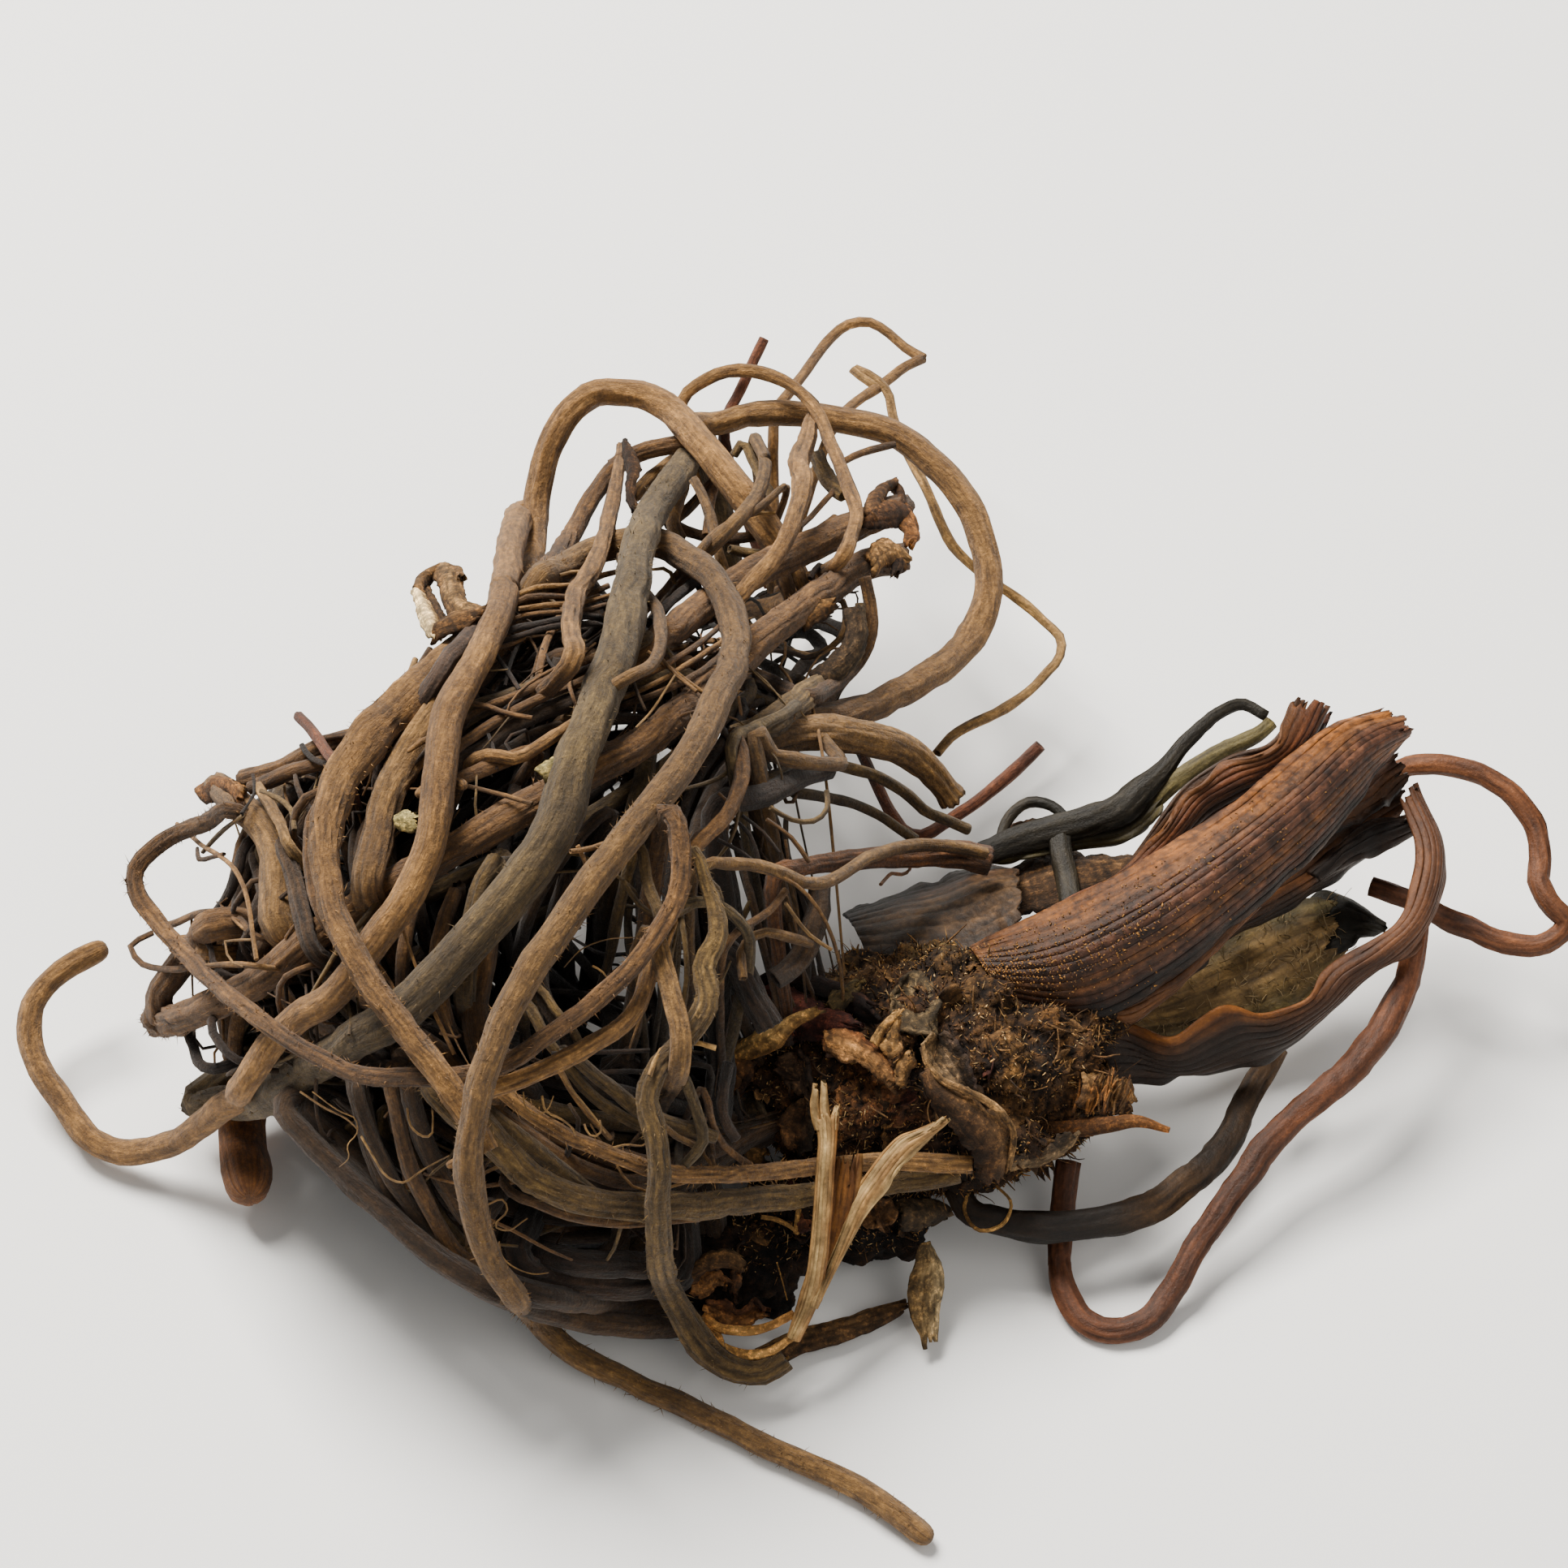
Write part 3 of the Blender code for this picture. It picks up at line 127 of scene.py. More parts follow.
TAN = (rgb(150, 112, 62), rgb(118, 86, 46))
TAWNY = (rgb(128, 97, 54), rgb(100, 74, 40))
GREY = (rgb(98, 81, 50), rgb(74, 60, 36))
BROWN = (rgb(118, 85, 46), rgb(84, 59, 31))
PALE = (rgb(160, 126, 74), rgb(124, 94, 53))
OLIVE = (rgb(114, 91, 50), rgb(82, 64, 35))
ORANGE = (rgb(144, 92, 42), rgb(104, 66, 31))
RUSSET = (rgb(122, 72, 44), rgb(84, 48, 31))
MAUVE = (rgb(106, 80, 60), rgb(76, 57, 43))
# DARK and INNER are painted shade: dark colours for roots that lie in the shadowed depths of the tangle
DARK = (rgb(56, 38, 22), rgb(32, 22, 14))
INNER = (rgb(74, 53, 29), rgb(46, 32, 18))
STRAW = (rgb(196, 152, 92), rgb(158, 110, 58))

# Long outer roots
ARCH = ((622, 744), (643, 712), (657, 672), (661, 610), (673, 565), (690, 525), (715, 497), (750, 483),
        (790, 487), (825, 505), (870, 555), (922, 618), (957, 670), (984, 724))
HOOKED = ((641, 632), (628, 680), (612, 760), (585, 820), (553, 880), (541, 950), (532, 1030), (504, 1100),
          (462, 1160), (420, 1218), (358, 1262), (304, 1332), (268, 1368, 6), (232, 1399, 4), (192, 1415, 2.2),
          (147, 1421, 1.3), (112, 1404, 1.7), (76, 1359, 2.8), (49, 1319, 3.8), (36, 1274, 4.8),
          (40, 1238, 5.6), (62, 1207, 6.4), (85, 1189, 7.0), (112, 1176, 7.4))
FRONT_STRAP = ((700, 700), (650, 748), (595, 792), (520, 850), (450, 915), (410, 990), (402, 1070), (420, 1145),
               (455, 1210), (510, 1280), (570, 1365), (599, 1415))
TAILED = ((665, 712), (690, 700), (745, 675), (800, 668), (860, 695), (900, 750), (905, 810), (880, 870),
          (847, 935), (785, 1015), (730, 1085), (688, 1148), (645, 1210), (607, 1290), (584, 1372),
          (578, 1430), (583, 1480), (600, 1545), (628, 1588), (655, 1618, 6.0), (700, 1662, 1.9),
          (780, 1705, 1.15), (870, 1745, 1.1), (950, 1785, 1.1), (1040, 1825, 1.0), (1100, 1862, 1.0),
          (1130, 1885, 1.0))
GREY_THICK = ((862, 540), (835, 585), (808, 622), (790, 660), (775, 740), (755, 820), (732, 880), (705, 950),
              (680, 1030), (630, 1100),
              (575, 1165), (510, 1235), (430, 1285), (350, 1335), (290, 1358, 7), (242, 1360, 5))
DIAGONAL = ((194, 1258, 9), (232, 1252), (321, 1207), (402, 1145), (490, 1087), (590, 1030), (690, 970),
            (790, 915), (870, 852), (950, 775), (1030, 720), (1075, 692), (1106, 690))
LEFT_FOLD = ((262, 1140), (241, 1165), (212, 1203), (197, 1230), (196, 1252))
HUSKED = ((790, 810), (830, 775), (890, 730), (940, 700), (1010, 668), (1080, 635), (1110, 625))
BACK_ARC = ((868, 524), (920, 512), (960, 508), (1040, 518), (1110, 538), (1150, 570), (1182, 604),
            (1205, 650), (1217, 700), (1215, 740), (1200, 780), (1175, 810), (1140, 835), (1070, 872),
            (1010, 886), (975, 890))
LEFT_LOOP = ((827, 1003), (839, 1049), (835, 1099), (812, 1145), (756, 1215), (715, 1248), (673, 1277),
             (632, 1306), (582, 1323), (516, 1327), (454, 1327), (400, 1306), (350, 1277), (290, 1234),
             (250, 1198), (214, 1158), (179, 1118), (165, 1091), (170, 1064), (188, 1046), (214, 1029),
             (250, 1015), (277, 997))
TORN_STRAP = ((855, 1050), (875, 1100), (885, 1150), (868, 1190), (872, 1230), (850, 1275), (808, 1320),
              (797, 1347), (805, 1385), (812, 1430), (810, 1490), (814, 1550), (830, 1600, 7.0),
              (853, 1640, 4.8), (883, 1674, 3.2), (917, 1690, 2.4), (947, 1688, 2.6), (964, 1674, 3.8))
LOWER_STRAP = ((1180, 1447), (1100, 1460), (1000, 1470), (930, 1478), (860, 1485), (790, 1487), (730, 1482),
               (680, 1465), (640, 1440), (605, 1400), (566, 1370), (541, 1347))
UPPER_STRAP = ((1195, 1435), (1100, 1432), (1000, 1438), (930, 1445), (860, 1447), (800, 1440), (750, 1420),
               (700, 1400), (650, 1370), (610, 1335))

# Thin loops and straps at the top
TOP_LOOP = ((960, 500, 18.5), (985, 468, 18), (1005, 440, 17), (1025, 415, 16), (1045, 400, 15.5),
            (1075, 398, 15.5), (1100, 415, 15.5), (1120, 432, 15.5), (1137, 441, 15.5))
TOP_LOOP_BACK = ((1137, 441, 15.5), (1112, 454, 15.5), (1085, 475, 16), (1055, 495, 17), (1035, 515, 18),
                 (1020, 540, 18.5))
RIGHT_WISP = ((1050, 455, 16.5), (1085, 470, 16.5), (1105, 530, 15), (1140, 600, 13), (1180, 680, 11.5),
              (1215, 712, 11), (1250, 735, 10), (1285, 765, 9), (1310, 795, 8.5), (1290, 828, 8.5),
              (1260, 858, 8.5), (1225, 880, 8.5), (1175, 905, 8.5), (1155, 927, 8.5))
TOP_STRAP = ((845, 485), (870, 468), (905, 457), (940, 460), (975, 475), (1002, 500), (1018, 532), (1031, 565),
             (1045, 597), (1055, 635), (1043, 680))
TWISTED_STRAP = ((1003, 502), (995, 540), (984, 570), (990, 595), (980, 635), (954, 689), (928, 716), (905, 740))
TOP_STUB = ((941, 418), (928, 446), (912, 480), (895, 515))
LATTICE_A = ((855, 592), (870, 620), (888, 690), (895, 713))
LATTICE_B = ((930, 540), (943, 575), (925, 620), (905, 645), (870, 680))
LATTICE_C = ((965, 600), (930, 630), (890, 650), (860, 680))
HANGING_STRAP = ((767, 548), (758, 600), (748, 650), (735, 690), (710, 735), (703, 775), (708, 805))
INNER_CURVE = ((765, 687), (789, 724), (812, 760), (812, 800), (795, 826), (778, 832))
INNER_ACROSS = ((582, 877), (640, 857), (702, 828), (773, 836), (847, 836))

# Stubs and straps on the right of the tangle
PINK_STICK = ((1281, 920, 13), (1240, 958, 11), (1200, 990, 9), (1165, 1015, 7.5), (1135, 1030, 6.5))
RIBBED_STUB = ((930, 915, 27), (990, 905, 25), (1050, 905, 22.5), (1090, 915, 20.5), (1122, 928, 18.5),
               (1150, 953, 16.5), (1165, 975, 15))
SHORT_TIP_A = ((970, 975, 22), (1030, 985, 18), (1065, 995, 15.5), (1100, 1015, 13), (1128, 1033, 11))
SHORT_TIP_B = ((1030, 942, 20), (1088, 960, 17), (1115, 977, 15), (1142, 1000, 13), (1170, 1012, 11.5),
               (1192, 1022, 10.5))
DARK_BROAD = ((1020, 945), (980, 960), (940, 980), (890, 990))
SPLIT_STUB = ((960, 1072), (1050, 1060), (1120, 1055), (1180, 1053), (1216, 1060))
WAVY_THIN = ((870, 1065), (910, 1065), (950, 1070), (980, 1085), (1010, 1088), (1040, 1075), (1075, 1055),
             (1115, 1043), (1142, 1040), (1180, 1044), (1214, 1052))
SMALL_CURL = ((916, 1205), (912, 1178), (927, 1154), (952, 1149), (978, 1158), (998, 1162))
RIBBON_BACK = ((1066, 712), (1073, 745), (1072, 785), (1058, 815), (1035, 838), (1000, 858))
GREY_RIBBON_A = ((1060, 745), (1060, 790), (1045, 820), (1010, 845), (975, 870), (940, 895), (905, 908))
GREY_RIBBON_B = ((905, 900), (915, 930), (910, 970), (895, 1005), (870, 1030), (855, 1045))

# Stubs and squiggles on the left, and straps along the front foot of the tangle
KNOBBY_STUB = ((272, 972), (288, 987), (312, 1006), (335, 1042), (340, 1082), (344, 1130))
ROUND_STUB = ((303, 1340, 8), (299, 1380, 6.5), (299, 1415, 5), (299, 1442, 3.8))
LEFT_BAND = ((300, 960), (350, 945), (400, 920), (450, 905), (490, 890))
SQUIGGLE_A = ((310, 1150), (290, 1128), (250, 1124), (215, 1138), (196, 1143))
SQUIGGLE_B = ((188, 1150), (165, 1160), (158, 1177), (175, 1187), (205, 1194), (245, 1190))
TOP_LEFT_TIP = ((368, 882), (388, 905), (402, 925), (420, 950))
FOOT_A = ((350, 1372), (400, 1425), (470, 1490), (540, 1548), (610, 1592), (700, 1622), (800, 1636), (880, 1622))
FOOT_B = ((380, 1370), (440, 1425), (500, 1490), (560, 1545), (640, 1588), (740, 1606), (840, 1606))
UPRIGHT_A = ((440, 1330), (455, 1400), (480, 1460), (520, 1520), (560, 1560))
UPRIGHT_B = ((505, 1340), (520, 1400), (545, 1450), (575, 1500))
UPRIGHT_C = ((600, 1130), (590, 1200), (585, 1260), (600, 1310))

# Leaf bases: the far and the near edge of each, from the rhizome outwards
BROAD_FAR = ((1194, 1165, 15.5), (1285, 1124, 18.5), (1347, 1095, 20.0), (1461, 1030, 21.5), (1566, 953, 22.0),
             (1647, 889, 21.5), (1700, 874, 20.5))
BROAD_NEAR = ((1245, 1240, 14.0), (1352, 1255, 13.5), (1437, 1211, 15.0), (1542, 1122, 17.0), (1622, 1046, 17.5),
              (1675, 981, 17.5), (1716, 917, 17.5))
FOLDED_FAR = ((1330, 1110, 13.0), (1395, 1062, 16.0), (1441, 1001, 19.0), (1469, 965, 20.0), (1510, 941, 21.0),
              (1562, 921, 21.5), (1598, 866, 21.5))
FOLDED_NEAR = ((1300, 1150, 13.0), (1400, 1085, 14.5), (1480, 1018, 16.5), (1530, 985, 17.5), (1580, 945, 18.0),
               (1625, 905, 18.0), (1636, 884, 18.5))
INNER_FAR = ((1290, 1190, 12.0), (1400, 1150, 12.5), (1500, 1095, 13.0), (1590, 1050, 13.5), (1650, 1000, 14.0),
             (1722, 957, 15.0))
INNER_NEAR = ((1310, 1235, 9.5), (1420, 1225, 9.5), (1520, 1160, 9.5), (1590, 1118, 9.8), (1650, 1082, 10.0),
              (1732, 1028, 11.5))
WOOLLY_FAR = ((1320, 1240, 6.5), (1420, 1205, 6.8), (1500, 1150, 7.6), (1560, 1118, 8.0), (1643, 1106, 8.2))
WOOLLY_NEAR = ((1330, 1272, 5.0), (1440, 1278, 4.8), (1540, 1262, 5.0), (1600, 1238, 5.4), (1655, 1186, 6.4))
WAVED_FAR = ((1300, 1242, 12.0), (1324, 1247, 13.0), (1380, 1258, 11.6), (1437, 1275, 11.5), (1473, 1255, 12.2),
             (1502, 1239, 13.0), (1550, 1247, 12.0), (1602, 1227, 12.5), (1639, 1191, 13.0), (1683, 1163, 13.5),
             (1719, 1138, 14.0), (1738, 1100, 15.0), (1746, 1050, 15.8), (1722, 985, 16.2))
WAVED_NEAR = ((1330, 1330, 6.0), (1381, 1332, 6.5), (1461, 1328, 6.0), (1522, 1316, 6.5), (1582, 1296, 7.5),
              (1643, 1239, 9.5), (1683, 1203, 11.0), (1745, 1168, 12.2), (1768, 1120, 13.2), (1779, 1060, 14.2),
              (1748, 975, 15.2))
PAPERY_FAR = ((1037, 1122, 6.0), (1099, 1100, 6.5), (1153, 1080, 7.0), (1223, 1062, 7.5), (1246, 1068, 8.0))
PAPERY_NEAR = ((1070, 1180, 11.0), (1120, 1178, 12.5), (1190, 1170, 13.5), (1240, 1145, 13.5), (1262, 1128, 13.2))

# More folds of the leaf bases: the keel under the broad one, the end of the inner one, and the dark web
BROAD_KEEL_FAR = ((1336, 1232, 13.0), (1390, 1222, 13.6), (1440, 1196, 14.6), (1490, 1150, 15.8), (1530, 1112, 16.4))
BROAD_KEEL_NEAR = ((1346, 1256, 12.4), (1392, 1260, 12.4), (1438, 1226, 13.2), (1488, 1180, 14.6), (1548, 1122, 16.0))
END_FAR = ((1600, 1012, 15.2), (1640, 976, 15.8), (1680, 940, 16.2), (1712, 926, 16.4))
END_NEAR = ((1610, 1040, 14.6), (1660, 1020, 14.8), (1700, 1000, 15.2), (1730, 968, 15.8))
HOOD_FAR = ((1610, 1075, 12.6), (1650, 1040, 13.4), (1690, 1012, 14.0), (1735, 1010, 14.2))
HOOD_NEAR = ((1625, 1085, 12.0), (1668, 1062, 12.6), (1705, 1050, 13.0), (1738, 1028, 13.8))
DARK_END_FAR = ((1600, 1120, 7.4), (1630, 1100, 8.0), (1665, 1108, 8.4), (1700, 1136, 8.8))
DARK_END_NEAR = ((1620, 1180, 6.6), (1650, 1176, 7.0), (1680, 1160, 7.6), (1706, 1144, 8.4))
FOLD_FAR = ((1296, 1262, 12.4), (1310, 1250, 12.8), (1322, 1244, 13.0), (1334, 1248, 13.0))
FOLD_NEAR = ((1304, 1286, 11.4), (1312, 1284, 11.6), (1320, 1276, 12.0), (1324, 1262, 12.4))
WEB_FAR = ((1180, 1050, 10.2), (1250, 1026, 10.8), (1320, 1012, 11.2), (1380, 992, 12.0), (1420, 960, 13.2))
WEB_NEAR = ((1190, 1068, 9.8), (1262, 1060, 9.8), (1330, 1046, 10.2), (1392, 1036, 10.8), (1436, 1000, 12.0))
DARK_LOWER = ((1400, 1010, 11.6), (1440, 968, 13.2), (1480, 940, 14.2), (1520, 918, 14.8), (1550, 906, 15.0),
              (1566, 890, 15.1))

# Petioles and the torn core of a root
WAVED_PETIOLE = ((1759, 1040, 14.9), (1756, 1090, 14.4), (1746, 1145, 12.9), (1734, 1200, 10.6),
                 (1690, 1290, 9.0), (1640, 1340, 8.0), (1590, 1380, 7.0), (1540, 1440, 5.5), (1500, 1500, 4.0),
                 (1460, 1560, 2.6), (1430, 1610, 1.3), (1380, 1640, 0.8), (1330, 1622, 0.8), (1310, 1585, 1.3),
                 (1308, 1530, 2.0), (1310, 1480, 3.0), (1316, 1430, 4.3))
INNER_PETIOLE = ((1690, 985, 13.9), (1730, 945, 14.6), (1765, 942, 15.0), (1830, 955, 15.0), (1870, 990, 14.0),
                 (1900, 1040, 12.5), (1896, 1080, 11.5), (1905, 1110, 10.8), (1930, 1134, 10.0),
                 (1912, 1158, 9.0), (1850, 1160, 8.5), (1790, 1135, 8.8), (1740, 1110, 9.2), (1690, 1094, 9.4))
DARK_STRIP = ((1190, 1062, 10.6), (1225, 1045, 11.0), (1290, 1025, 11.4), (1370, 1002, 12.5), (1430, 952, 14.0),
              (1470, 905, 15.0), (1500, 880, 15.5), (1530, 868, 15.5), (1560, 882, 15.2))
DARK_STEM = ((1312, 1172, 11.5), (1320, 1120, 10.5), (1314, 1075, 10.6), (1304, 1024, 11.4))
DARK_STRIP_LOOP = ((1232, 1040, 11.0), (1240, 1012, 11.6), (1256, 994, 12.0), (1275, 988, 12.2),
                   (1293, 991, 12.2), (1309, 1004, 12.0), (1322, 1020, 11.7))
LOW_PETIOLE = ((1175, 1460, 6.4), (1195, 1492, 5.8), (1240, 1508, 5.5), (1290, 1512, 5.5), (1340, 1508, 5.2),
               (1400, 1495, 5.0), (1470, 1450, 4.6), (1515, 1400, 4.4), (1550, 1330, 5.0), (1575, 1290, 5.0))
# Edges of the split wood, from its foot to its tips
TALL_LEFT = ((972, 1646, 5.4), (984, 1604, 7.4), (997, 1552, 9.8), (1003, 1500, 12.0), (1007, 1440, 14.4),
             (1009, 1400, 15.8),
             (1002, 1374, 16.8))
TALL_RIGHT = ((984, 1652, 5.2), (1006, 1604, 7.2), (1018, 1552, 9.8), (1023, 1500, 12.0), (1027, 1440, 14.4),
              (1030, 1400, 15.8), (1032, 1376, 16.6))
FORK_TIPS = (
    (((1005, 1392, 16.1), (998, 1366, 17.0), (1003, 1344, 17.6)),
     ((1014, 1392, 16.1), (1008, 1366, 17.0), (1007, 1345, 17.6))),
    (((1013, 1392, 16.2), (1011, 1362, 17.1), (1014, 1337, 17.8)),
     ((1024, 1392, 16.2), (1020, 1362, 17.1), (1017, 1338, 17.8))),
    (((1022, 1392, 16.1), (1026, 1376, 16.6), (1030, 1365, 17.0)),
     ((1031, 1392, 16.1), (1032, 1378, 16.6), (1033, 1366, 17.0))),
)
SLANTED_LEFT = ((996, 1610, 7.4), (1016, 1560, 9.0), (1036, 1510, 10.6), (1052, 1470, 12.0), (1070, 1444, 12.8),
                (1090, 1418, 13.6), (1110, 1400, 14.3), (1126, 1395, 14.7), (1161, 1380, 15.6))
SLANTED_RIGHT = ((1004, 1610, 7.2), (1030, 1562, 8.8), (1052, 1522, 10.2), (1070, 1492, 11.4), (1092, 1466, 12.5),
                 (1112, 1438, 13.3), (1132, 1414, 14.2), (1146, 1400, 14.7), (1165, 1383, 15.6))
AMBER_LEFT = ((1000, 1606, 7.0), (1012, 1560, 9.0), (1018, 1510, 10.8), (1024, 1460, 12.8), (1029, 1430, 13.8))
AMBER_RIGHT = ((1010, 1600, 6.9), (1030, 1556, 8.8), (1048, 1508, 10.6), (1060, 1462, 12.5), (1062, 1432, 13.4))


def root(name, marks, widths, look=TAN, flat=1.0, lift=0.0, start="any", end="any", ribs=7, groove=0.16, tips="torn",
         tones=(1.0,)):
    """One root: its marks, widths, colours, thickness as a share of the width, lift off the skin, how it
    starts and ends, its ribs with their depth, what its free ends look like, and shades along it."""
    lifts = lift if isinstance(lift, tuple) else (lift,)
    shape = {"name": name, "marks": marks, "widths": widths, "flat": flat, "lifts": lifts}
    finish = {"look": look, "ribs": ribs, "groove": groove, "tips": tips, "tones": tones}
    return shape | {"start": start, "end": end} | finish


